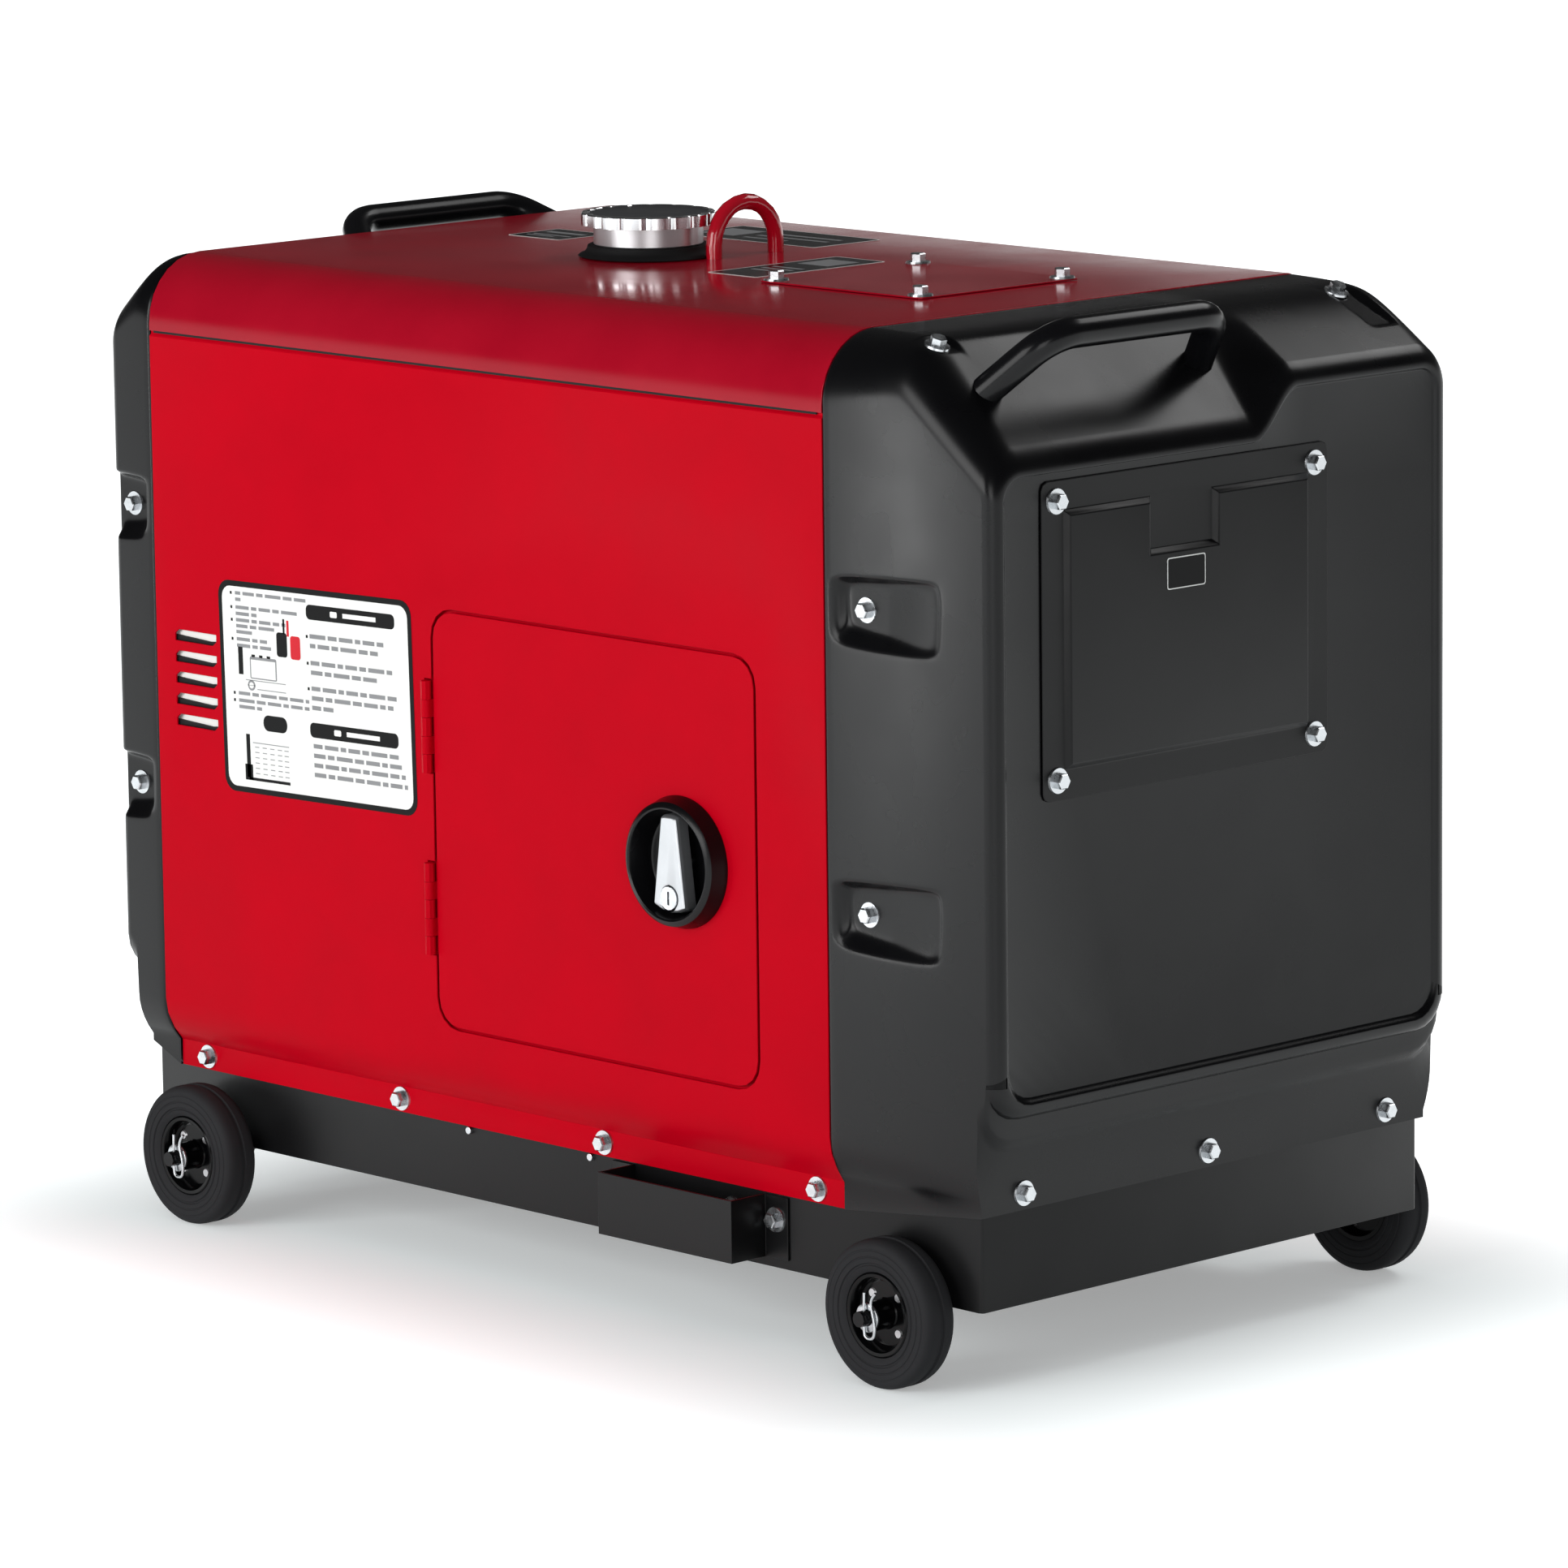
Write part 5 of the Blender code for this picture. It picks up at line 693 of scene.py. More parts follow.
@dataclass
class CapSkin:
    """Moulded end cap: crowned sides, falling top with a step, bolt pockets and a recessed end.

    Depths run from the edge of the sheet canopy towards the end face. The first value of a pair that
    differs from side to side is for the side where the top is low.
    """

    node: str
    start: float
    depth: float
    slopes: Pair
    bends: Pair
    end_half: Pair
    shoulders: Pair
    flip: int = 1
    holes: tuple[Quad, ...] = ()
    outlet: Point | None = None
    side_pocket: SidePocket = SidePocket()
    top_pocket: TopPocket | None = None
    ends: Pair = (0.6450, 0.6810)
    corner: float = 0.028
    least_radius: float = 0.006
    crown: float = 1.8
    bottom: float = 0.193
    foot_half: float = 0.224
    foot_zs: Pair = (0.1314, 0.165)
    hem_zs: Pair = (0.1119, 0.126)
    hem_share: float = 0.9865
    thick: float = 0.003
    brow: tuple[Pair, ...] = ((0.001, 0.168), (0.0035, 0.1728), (0.007, 0.177))
    step: Pair = (0.027, 0.071)
    drift: float = 0.024
    turn_y: float = 0.150
    rim: float = 0.009
    lip: float = 0.0010
    border: float = 0.0050
    sink: float = 0.003
    # Over the pockets the points lie close together: heights where their spacing changes, the number of
    # steps up to each and past the last, and the same for the sections' depths.
    levels: tuple[float, ...] = (0.218, 0.290, 0.358, 0.501, 0.569, 0.598)
    counts: tuple[int, ...] = (4, 9, 51, 14, 51, 4, 6)
    openers: tuple[float, ...] = (0.003, 0.008, 0.012)
    dense: float = 0.118
    pitch: float = 0.0015
    runs: int = 24
    # The side pockets fade out where the shoulder turns in to this half width, over this distance.
    fade_y: float = 0.20
    fade_width: float = 0.02
    # Depth and inset of the sections where the cap's edge turns in under the sheet.
    turned_in: tuple[Pair, ...] = ((0.0003, 0.0032), (0.0003, 0.0012), (0.0008, 0.0004))

    def side(self, d: float, hand: int) -> float:
        """Half width of a side wall; hand is 0 for the low side."""
        return SHELL.half - (SHELL.half - self.end_half[hand]) * (d / self.depth) ** self.crown

    def top(self, d: float, hand: int) -> float:
        """Height of the top on one side."""
        return lower_of(SHELL.roof, self.ends[hand] + (self.depth - d) * self.slopes[hand], self.bends[hand])

    def radius(self, d: float, hand: int) -> float:
        """Shoulder radius on one side."""
        return self.shoulders[hand] + (self.corner - self.shoulders[hand]) * d / self.depth

    def wall(self, d: float, hand: int, shrink: float, bottom: float | None) -> list[Pair]:
        """List one side from its foot up over the shoulder, as positive half widths.

        Args:
            d: Depth from the edge of the sheet canopy.
            hand: 0 for the low side and 1 for the high one.
            shrink: Distance in from the outer surface.
            bottom: Bottom edge of the end face, or None for the tucked foot.

        Returns:
            Points of half width and height.
        """
        w = self.side(d, hand) - shrink
        high = self.top(d, hand) - shrink
        r = max(self.radius(d, hand) - shrink, self.least_radius)
        if bottom is None:
            low, up = self.foot_zs
            foot = [(w - (w - self.foot_half) * t * t, up - (up - low) * t)
                    for t in (1, 0.8, 0.6, 0.4, 0.2, 0)]
        else:
            turn = self.corner - shrink * 0.5
            foot = arc((w - turn, bottom + shrink + turn), turn, -90, 0, 5)
        levels = (foot[-1][1], *self.levels, high - r)
        heights = [z for low, up, count in zip(levels, levels[1:], self.counts)
                   for z in spread(low, up, count)]
        return foot + [(w, z) for z in heights[1:]] + arc((w - r, high - r), r, 0, 90, 26)

    def loop(self, d: float, shrink: float = 0.0, bottom: float | None = None) -> list[Pair]:
        """List a whole section from the low side's foot over the top to the other foot.

        Args:
            d: Depth from the edge of the sheet canopy.
            shrink: Distance in from the outer surface.
            bottom: Bottom edge of the end face, or None for the tucked foot.

        Returns:
            Points of y and z.
        """
        left, right = (self.wall(d, hand, shrink, bottom) for hand in (0, 1))
        (wy, low), (ey, high) = left[-1], right[-1]
        y0, y1 = (y + self.drift * (1 - d / self.depth) + shrink * 0.4 for y in self.step)
        points = [(y, low) for y in spread(-wy, -self.turn_y, 26)[1:] + spread(-self.turn_y, y0, 20)]
        points += [(y0 + (y1 - y0) * t, low + (high - low) * ease(t)) for t in spread(0, 1, 16)]
        points += [(y, high) for y in spread(y1, self.turn_y, 8) + spread(self.turn_y, ey, 26)]
        return [(-y, z) for y, z in left] + points + right[::-1]

    def dent(self, d: float, y: float, z: float) -> Pair:
        """Press the bolt pockets into a point of the skin.

        Args:
            d: Depth from the edge of the sheet canopy.
            y: Position across.
            z: Height.

        Returns:
            The moved y and z.
        """
        rise = min((z - level for level in SHELL.pocket_zs), key=abs)
        if abs(rise) < self.side_pocket.reach:
            sunk = self.side_pocket.depth(d, rise, max(abs(y) - SHELL.pocket_y, 0.0))
            share = min(1.0, max(0.0, (abs(y) - self.fade_y) / self.fade_width))
            y = math.copysign(abs(y) - sunk * share, y)
        if self.top_pocket:
            z -= self.top_pocket.depth(d, y, z)
        return y, z

    def row(self, bm: BMesh, d: float, points: list[Pair], dented: bool = True) -> list[BMVert]:
        """Add one section's points, turned to the cap's own end of the machine.

        Args:
            bm: Mesh to add to.
            d: Depth from the edge of the sheet canopy.
            points: Section of y and z.
            dented: Whether the pockets are pressed in.

        Returns:
            The vertices.
        """
        places = [self.dent(d, y, z) if dented else (y, z) for y, z in points]
        return [bm.verts.new((self.flip * (self.start + d), self.flip * y, z)) for y, z in places]

    def across(self, section: list[Pair]) -> list[float]:
        """Even steps from a section's last foot back to its first, without either."""
        (first, _), (last, _) = section[0], section[-1]
        return [last + (first - last) * i / self.runs for i in range(1, self.runs)]

    def stations(self, skirt: float) -> list[float]:
        """Space out the open sections, close together over the pockets.

        Args:
            skirt: Depth of the skirt's end.

        Returns:
            Their depths.
        """
        *first, start = self.openers
        dense = min(self.dense, skirt)
        fine = spread(start, dense, int((dense - start) / self.pitch))
        return first + fine + spread(dense, skirt, 6)[1:] + [skirt]

    def hem(self, bm: BMesh, feet: list[BMVert], depths: list[float]) -> tuple[BMVert, BMVert]:
        """Hang the skirt from one side's feet and turn its hem in.

        Args:
            bm: Mesh to add to.
            feet: The side's lowest point in each open section.
            depths: Depths of the sections.

        Returns:
            The hem's outer and inner point at the skirt's end.
        """
        low, high = self.hem_zs
        outer, inner = [], []
        for foot, d in zip(feet, depths):
            x, y, _ = foot.co
            z = low + (high - low) / depths[-1] * d
            outer.append(bm.verts.new((x, y, z)))
            inner.append(bm.verts.new((x, y * self.hem_share, z)))
        bridge(bm, feet, outer, False)
        bridge(bm, outer, inner, False)
        return outer[-1], inner[-1]

    def skirt_end(self, bm: BMesh, row: list[BMVert], ys: list[float], hems: list) -> list[BMVert]:
        """Close the skirt's end between the two sides.

        Args:
            bm: Mesh to add to.
            row: Last open section.
            ys: Positions across, from its last foot to its first.
            hems: Outer and inner point of the hem on each side.

        Returns:
            The crease along the skirt's top.
        """
        hem_z = self.hem_zs[1]
        crease, hem, back = ([bm.verts.new((self.flip * x, self.flip * y, z)) for y in ys]
                             for x, z in ((SHELL.skirt, self.foot_zs[0]), (SHELL.skirt, hem_z),
                                          (SHELL.skirt - self.thick, hem_z)))
        (first, first_back), (last, last_back) = hems
        outer = [last] + hem + [first]
        bridge(bm, [row[-1]] + crease + [row[0]], outer, False)
        bridge(bm, outer, [last_back] + back + [first_back], False)
        return crease

    def sections(self, skirt: float) -> list[Point]:
        """List the closed sections past the skirt: the brow over it, the rounded rim and the recess.

        Args:
            skirt: Depth of the skirt's end.

        Returns:
            Depth, distance in from the outer surface and bottom edge of each.
        """
        end, rim, bottom = self.depth, self.rim, self.bottom
        made = [(skirt + out, 0.0, level) for out, level in self.brow]
        first, _, low = made[-1]
        made += [(first + (end - rim - first) * t, 0.0, low + (bottom - low) * ease(t))
                 for t in (0.25, 0.5, 0.75, 1.0)]
        made += [(end - rim * (1 - math.sin(turn)), rim * (1 - math.cos(turn)), bottom)
                 for turn in (math.radians(10 * i) for i in range(1, 10))]
        made += [(end - self.sink * ease(t), rim + self.lip + self.border * t, bottom)
                 for t in (0.0, 0.15, 0.3, 0.5, 0.7, 0.85, 1.0)]
        return made

    def face(self, bm: BMesh, ring: list[BMVert], x: float) -> None:
        """Fill the recessed end face round its openings, and give these an edge.

        Args:
            bm: Mesh to add to.
            ring: Outline of the face.
            x: Its position along the machine.
        """
        rims = [[(y0, z0), (y1, z0), (y1, z1), (y0, z1)] for y0, y1, z0, z1 in self.holes]
        if self.outlet:
            rims.append(arc(self.outlet[:2], self.outlet[2], 0, 360, 32)[:-1])
        loops = [ring] + [[bm.verts.new((self.flip * x, self.flip * y, z)) for y, z in rim] for rim in rims]
        edges = []
        for loop in loops:
            for pair in zip(loop, loop[1:] + loop[:1]):
                edges.append(bm.edges.get(pair) or bm.edges.new(pair))
        bmesh.ops.triangle_fill(bm, edges=edges, use_beauty=True, use_dissolve=False,
                                normal=(self.flip, 0, 0))
        for loop in loops[1:]:
            inner = [bm.verts.new(vert.co - Vector((self.flip * self.thick, 0, 0))) for vert in loop]
            bridge(bm, loop, inner, True)

    def build(self) -> None:
        """Skin the cap from its edge over the skirt to its end face."""
        bm = bmesh.new()
        skirt = SHELL.skirt - self.start
        rows = [self.row(bm, d, self.loop(d, shrink), False) for d, shrink in self.turned_in]
        depths = self.stations(skirt)
        rows += [self.row(bm, d, self.loop(d)) for d in depths]
        for low, high in zip(rows, rows[1:]):
            bridge(bm, low, high, False)
        depths = [d for d, _ in self.turned_in] + depths
        hems = [self.hem(bm, [row[column] for row in rows], depths) for column in (0, -1)]
        ring = rows[-1] + self.skirt_end(bm, rows[-1], self.across(self.loop(skirt)), hems)
        sections = self.sections(skirt)
        for d, shrink, bottom in sections:
            section = self.loop(d, shrink, bottom)
            section += [(y, bottom + shrink) for y in self.across(section)]
            following = self.row(bm, d, section, shrink <= self.rim)
            bridge(bm, ring, following, True)
            ring = following
        self.face(bm, ring, self.start + sections[-1][0])
        settle(bm, f"{self.node}_skin", [CAP_ABS], "machine", (self.node,), 55)


@dataclass
class Handle:
    """Bent tube that stands on the sloping top of a cap."""

    name: str
    slope: float
    flip: int
    grip: Pair = (0.4530, 0.7262)
    edge: Pair = (0.4580, 0.6450)
    sunk: float = 0.010
    feet: Pair = (-0.1897, 0.0240)
    grips: Pair = (-0.1630, -0.0040)
    bend: float = 0.031
    bend_steps: int = 12
    radius: float = 0.0109

    def corners(self) -> list[Vector]:
        """Place the corners of the tube's path, square to the cap's top, with its feet sunk in.

        Returns:
            The path's ends and corners, for a cap that points to +X.
        """
        (x, z), (edge_x, edge_z) = self.grip, self.edge
        lean = Vector((self.slope, 0, 1)).normalized()
        height = (z - edge_z - (edge_x - x) * self.slope) / math.hypot(1, self.slope) + self.sunk
        lows = [Vector((x, y, z)) - lean * height for y in self.feet]
        highs = [Vector((x, y, z)) for y in self.grips]
        return [lows[0], highs[0], highs[1], lows[1]]

    def path(self) -> list[Vector]:
        """Round the corners of the path.

        Returns:
            Its ends and the points of its bends.
        """
        corners = self.corners()
        path = [corners[0]]
        for before, corner, after in zip(corners, corners[1:], corners[2:]):
            back, ahead = (before - corner).normalized(), (after - corner).normalized()
            half = back.angle(ahead) / 2
            reach = self.bend / math.tan(half)
            centre = corner + (back + ahead).normalized() * self.bend / math.sin(half)
            first = (corner + back * reach - centre).normalized()
            last = (corner + ahead * reach - centre).normalized()
            path += [centre + first.slerp(last, i / self.bend_steps) * self.bend
                     for i in range(self.bend_steps + 1)]
        return path + [corners[-1]]

    def build(self) -> None:
        """Sweep the tube along its path."""
        points = [Vector((self.flip * point.x, self.flip * point.y, point.z)) for point in self.path()]
        bm = tube(points, self.radius, 8, False)
        settle(bm, f"{self.name}_tube", [TUBE_COAT], "machine", (self.name,), 50)


@dataclass
class Canopy:
    """Sheet panels, end caps, tray and the plates bolted to them."""

    # Dark strips in the gaps between the lid and the side panels: painted shadow.
    gap_shadow_x: Pair = (-0.4030, 0.3014)
    gap_shadow_y: Pair = (0.2364, 0.23775)
    gap_shadow_z: Pair = (0.6668, 0.6684)
    board: Box = ((-0.3920, -0.2330, 0.3690), (-0.3340, -0.2318, 0.4500))
    slots: int = 5
    slot_z: float = 0.4430
    slot_pitch: float = 0.0159
    # Dark wedges in the slots' lower parts, in front of the board: painted shadow of the slots' edges.
    shadow_wedge_y: Pair = (-0.2352, -0.2330)
    shadow_wedge: tuple[Pair, ...] = ((-0.3900, -0.0080), (-0.3385, -0.0080), (-0.3385, -0.0012), (-0.3500, -0.0022),
                             (-0.3900, -0.0004))
    bolt_room: float = 0.009

    def lid(self) -> None:
        """Refine the lid, and draw its far shoulder tighter than its near one."""
        bm = merged("top_cover")
        tight = SHELL.tight
        for vert in bm.verts:
            y, z = vert.co.y - (SHELL.half - SHELL.soft), vert.co.z - (SHELL.roof - SHELL.soft)
            if y > 0 and z > 0:
                reach, turn = max(tight - SHELL.soft + math.hypot(y, z), 0.001), math.atan2(z, y)
                vert.co.y = SHELL.half - tight + reach * math.cos(turn)
                vert.co.z = SHELL.roof - tight + reach * math.sin(turn)
        # The lid's paint carries painted shade: a darker red for the less lit top.
        settle(bm, "top_cover_skin", [LID_SHADED_COAT], "machine", ("top_cover",), 35, 0.0004)

    def seams(self) -> None:
        """Lay dark strips in the long gaps under the lid: painted shadow of the gaps."""
        bm = bmesh.new()
        for side in (-1, 1):
            low, high = sorted(side * y for y in self.gap_shadow_y)
            block(bm, (self.gap_shadow_x[0], low, self.gap_shadow_z[0]), (self.gap_shadow_x[1], high, self.gap_shadow_z[1]))
        settle(bm, "lid_gap_shadow_strip", [SEAL_RUBBER], "machine")

    def vents(self) -> None:
        """Set the pale sound board behind the slots, and a dark wedge in each slot as painted shadow."""
        bm = bmesh.new()
        block(bm, *self.board)
        for i in range(self.slots):
            z = self.slot_z - self.slot_pitch * i
            front, back = ([bm.verts.new((x, y, z + up)) for x, up in self.shadow_wedge] for y in self.shadow_wedge_y)
            bridge(bm, front, back, True)
            bm.faces.new(front)
            tag(front + back, 1)
        settle(bm, "vent_board", [PALE_BOARD, SEAL_RUBBER], "machine", angle=30)

    def near_corner(self, p: Vector) -> bool:
        """Tell whether a point of the cover belongs to a corner bolt."""
        return any(abs(p.y - y) < self.bolt_room and abs(p.z - z) < self.bolt_room
                   for y in SHELL.cover_ys for z in SHELL.cover_zs)

    def caps(self) -> None:
        """Skin both end caps and stand their handles on them."""
        CapSkin("front_cap", 0.3064, 0.1516, (1.02, 0.58), (0.008, 0.010), (0.2260, 0.2300),
                (SHELL.soft, SHELL.tight), holes=((-0.150, 0.078, 0.437, 0.600),),
                top_pocket=TopPocket()).build()
        CapSkin("rear_cap", 0.4080, 0.0500, (1.75, 1.15), (0.008, 0.008), (0.2300, 0.2362),
                (SHELL.tight, SHELL.soft), flip=-1, holes=((-0.075, 0.135, 0.290, 0.480),),
                outlet=(-0.170, 0.4300, 0.0157), bottom=0.179).build()
        Handle("front_handle", 1.02, 1).build()
        Handle("rear_handle", 1.75, -1).build()

    def plates(self) -> None:
        """Refine the bolted plates, without the solids' own bolt heads."""
        over = 0.0001
        refined("air_cleaner_cover", BLACK_COAT, "machine", 0.0006,
                doomed=lambda p: p.x > SHELL.plate_x + over and self.near_corner(p))
        refined("outlet_grille", BLACK_COAT, "machine", 0.0003,
                doomed=lambda p: p.x < -SHELL.plate_x - over)
        # The access plate on the roof takes the lid's darker red, which is painted shade.
        refined("access_plate", LID_SHADED_COAT, "machine", 0.0003,
                doomed=lambda p: p.z > SHELL.plate_z + over)

    def build(self) -> None:
        """Make the panels, caps, tray and plates."""
        refined("side_panel_left", RED_COAT, "machine", 0.0004)
        refined("side_panel_right", RED_COAT, "machine", 0.0004)
        self.lid()
        self.seams()
        self.vents()
        refined("door", RED_COAT, "door", 0.0004)
        self.caps()
        refined("base_tray", BLACK_COAT, "machine", 0.0006)
        refined("drain_guard", BLACK_COAT, "machine", 0.0004)
        self.plates()
        refined("lifting_eye", EYE_COAT, "machine", 0.0, angle=60)


@dataclass
class Wheel:
    """One wheel: solid tyre, dished rim with rivets, axle end and hairpin."""

    end: str
    hand: str
    x: float
    side: int
    centre_y: float = 0.2423
    radius: float = 0.0525
    half: float = 0.014
    rivets: int = 4
    rivet_place: Pair = (0.0178, 0.0037)
    rivet_radii: Pair = (0.0036, 0.0028)
    rivet_high: float = 0.0012
    pin_y: float = 0.2660
    wire: float = 0.0011

    def centre(self) -> Point:
        """Middle of the wheel."""
        return self.x, self.side * self.centre_y, self.radius

    def node(self, kind: str) -> str:
        """Name of one of this wheel's nodes or its body."""
        return f"{kind}_{self.end}_{self.hand}"

    def profile(self, points: list[Pair]) -> list[Pair]:
        """Point a profile outwards on this wheel's side."""
        return [(radius, self.side * height) for radius, height in points]

    def tyre(self) -> None:
        """Spin the tyre with sidewall ribs and a shallow tread groove."""
        w, r = self.half, self.radius
        wall = [(0.0301, 0.0118), (0.0325, 0.0134), (0.0345, 0.0139), (0.0352, 0.0131), (0.0362, 0.0131),
                (0.0369, 0.0140), (0.0400, 0.0140), (0.0405, 0.0135), (0.0411, 0.0135), (0.0416, 0.0140),
                (0.0448, 0.0140), (0.0453, 0.0135), (0.0460, 0.0134), (0.0465, 0.0137)]
        shoulder = [(r - 0.0042, w - 0.0005), (r - 0.0024, w - 0.0016), (r - 0.0010, w - 0.0034),
                    (r - 0.0002, w - 0.0060), (r, w - 0.0085), (r, 0.0022), (r - 0.0012, 0.0014)]
        outer = wall + shoulder
        points = outer + [(radius, -height) for radius, height in reversed(outer)]
        bm = spun(self.profile(points), (0, 1, 0), self.centre(), 72)
        tyre = self.node("tyre")
        settle(bm, f"{tyre}_skin", [TYRE_RUBBER], self.node("wheel"), (tyre,), 28)

    def rim(self) -> None:
        """Spin the rim and its hub, and set flat rivets on the web."""
        points = [(0.0061, -0.0160), (0.0061, 0.0198), (0.0068, 0.0204), (0.0096, 0.0204), (0.0104, 0.0197),
                  (0.0104, 0.0040), (0.0112, 0.0032), (0.0225, 0.0032), (0.0240, 0.0046), (0.0258, 0.0112),
                  (0.0266, 0.0121), (0.0288, 0.0124), (0.0297, 0.0117), (0.0297, -0.0117), (0.0266, -0.0117),
                  (0.0258, -0.0108), (0.0236, -0.0032), (0.0112, -0.0032), (0.0104, -0.0040),
                  (0.0104, -0.0160)]
        bm = spun(self.profile(points), (0, 1, 0), self.centre(), 64)
        turn = Matrix.Rotation(-self.side * math.pi / 2, 4, "X")
        reach, out = self.rivet_place
        foot, top = self.rivet_radii
        for i in range(self.rivets):
            angle = math.tau * (i + 0.5) / self.rivets
            seat = Vector(self.centre()) + Vector((math.cos(angle) * reach, self.side * out,
                                                   math.sin(angle) * reach))
            made = bmesh.ops.create_cone(bm, cap_ends=True, segments=20, radius1=foot, radius2=top,
                                         depth=self.rivet_high, matrix=Matrix.Translation(seat) @ turn)
            tag(made["verts"], 1)
        rim = self.node("rim")
        settle(bm, f"{rim}_skin", [RIM_ENAMEL, CAP_DULL], self.node("wheel"), (rim,), 30)

    def hairpin(self) -> None:
        """Bend the spring clip as a smooth wire and turn its washer."""
        points = [(0.0, 0.0180), (0.0, -0.0105), (0.0012, -0.0128), (0.0046, -0.0136), (0.0080, -0.0125),
                  (0.0095, -0.0090), (0.0092, -0.0020), (0.0075, 0.0050), (0.0064, 0.0105), (0.0078, 0.0150),
                  (0.0110, 0.0190)]
        bm = tube([Vector((self.x + x, self.side * self.pin_y, self.radius + z)) for x, z in points],
                  self.wire, 3, True)
        washer = [(0.0059, 0.2623), (0.0100, 0.2623), (0.0104, 0.2626), (0.0104, 0.2638), (0.0100, 0.2642),
                  (0.0059, 0.2642)]
        spun(self.profile(washer), (0, 1, 0), (self.x, 0, self.radius), 32, bm)
        pin = self.node("hairpin")
        settle(bm, f"{pin}_wire", [ZINC], "machine", (pin,), 50)

    def build(self) -> None:
        """Make the wheel's pieces."""
        self.tyre()
        self.rim()
        self.hairpin()


@dataclass
class Filler:
    """Screw cap with a scalloped rim, its skirt and the rubber neck seal."""

    centre: Point = (-0.1296, 0.009, 0.0)
    radius: float = 0.0495
    top: float = 0.7555
    thick: float = 0.0090
    scallops: int = 16
    scallop: float = 0.045
    chamfer: float = 0.0008
    # Insets of the cap's top and their rise: its chamfer, its flat ring and the step down inside it.
    insets: tuple[Pair, ...] = ((0.0010, 0.0008), (0.0030, 0.0), (0.0006, -0.0006))
    eye_leg: Pair = (-0.0758, 0.0242)
    eye_room: float = 0.0068

    def cap(self) -> None:
        """Model the cap from a circle: scallop, raise, chamfer and dish it."""
        bm = bmesh.new()
        low = self.top - self.thick
        middle = Vector((*self.centre[:2], low))
        ring = bmesh.ops.create_circle(bm, cap_ends=True, segments=self.scallops * 12, radius=self.radius,
                                       matrix=Matrix.Translation(middle))["verts"]
        for vert in ring:
            reach = vert.co - middle
            wave = abs(math.sin(self.scallops / 2 * math.atan2(reach.y, reach.x)))
            vert.co = middle + reach * (1 - self.scallop * (1 - wave) ** 3)
        body = bmesh.ops.extrude_face_region(bm, geom=bm.faces[:])["geom"]
        lid = next(item for item in body if isinstance(item, BMFace))
        bmesh.ops.translate(bm, vec=(0, 0, self.thick - self.chamfer), verts=lid.verts[:])
        for thickness, depth in self.insets:
            bmesh.ops.inset_region(bm, faces=[lid], thickness=thickness, depth=depth)
        lid.material_index = 1
        skirt = [(0.0366, 0.7319), (0.0398, 0.7319), (0.0404, 0.7326), (0.0404, low), (0.0366, low)]
        before = set(bm.faces)
        spun(skirt, (0, 0, 1), self.centre, 72, bm)
        for face in bm.faces:
            if face not in before:
                face.material_index = 2
        settle(bm, "fuel_cap_turned", [CAP_POLISH, CAP_TOP, CAP_DULL], "filler_cap",
               ("fuel_cap",), 30)

    def seal(self) -> None:
        """Spin the flared rubber seal, thinned where the lifting bar stands."""
        points = [(0.0364, 0.7180), (0.0444, 0.7180), (0.0444, 0.7234), (0.0505, 0.7234), (0.0518, 0.7239),
                  (0.0505, 0.7250), (0.0475, 0.7262), (0.0456, 0.7285), (0.0448, 0.7312), (0.0440, 0.7316),
                  (0.0364, 0.7316)]
        bm = spun(points, (0, 0, 1), self.centre, 72)
        for vert in bm.verts:
            away = vert.co.xy - Vector(self.eye_leg)
            if away.length < self.eye_room:
                vert.co += (away.normalized() * (self.eye_room - away.length)).to_3d()
        settle(bm, "neck_seal_skin", [SEAL_RUBBER], "machine", ("neck_seal",), 40)

    def build(self) -> None:
        """Make the cap and its seal."""
        self.cap()
        self.seal()


@dataclass
class Latch:
    """Dished bezel, tapered silver lever and its key barrel."""

    x: float = 0.161
    y: float = -0.2377
    z: float = 0.340

    def bezel(self) -> None:
        """Spin the bezel."""
        points = [(0.0056, -0.008), (0.0056, -0.0049), (0.0330, -0.0049), (0.0352, -0.0040),
                  (0.0362, -0.0022), (0.0384, 0.0130), (0.0390, 0.0143), (0.0402, 0.0150), (0.0416, 0.0146),
                  (0.0440, 0.0126), (0.0464, 0.0030), (0.0472, 0.0008), (0.0472, 0.0003), (0.0397, 0.0003),
                  (0.0397, -0.008)]
        bm = spun(points, (0, -1, 0), (self.x, self.y, self.z), 96)
        settle(bm, "latch_bezel_skin", [CAP_ABS], "door", ("latch_bezel",), 32)

    def lever(self) -> None:
        """Refine the lever with a wide soft edge, and the barrel with its slot."""
        refined("latch_lever", LEVER_SILVER, "latch", 0.0010, 30)
        refined("lock_plug", ZINC, "lock", 0.0004, 40)

    def build(self) -> None:
        """Make the latch's pieces."""
        self.bezel()
        self.lever()


class Plane(Enum):
    """The face that a label lies on, as the axis that it looks along."""

    LEFT = 1
    TOP = 2
    FRONT = 0


class Ink(IntEnum):
    """Material index of a label's parts."""

    BORDER = 0
    FIELD = 1
    GREY = 2
    RED = 3


Mark = tuple[float, float, float, float, Ink, float]


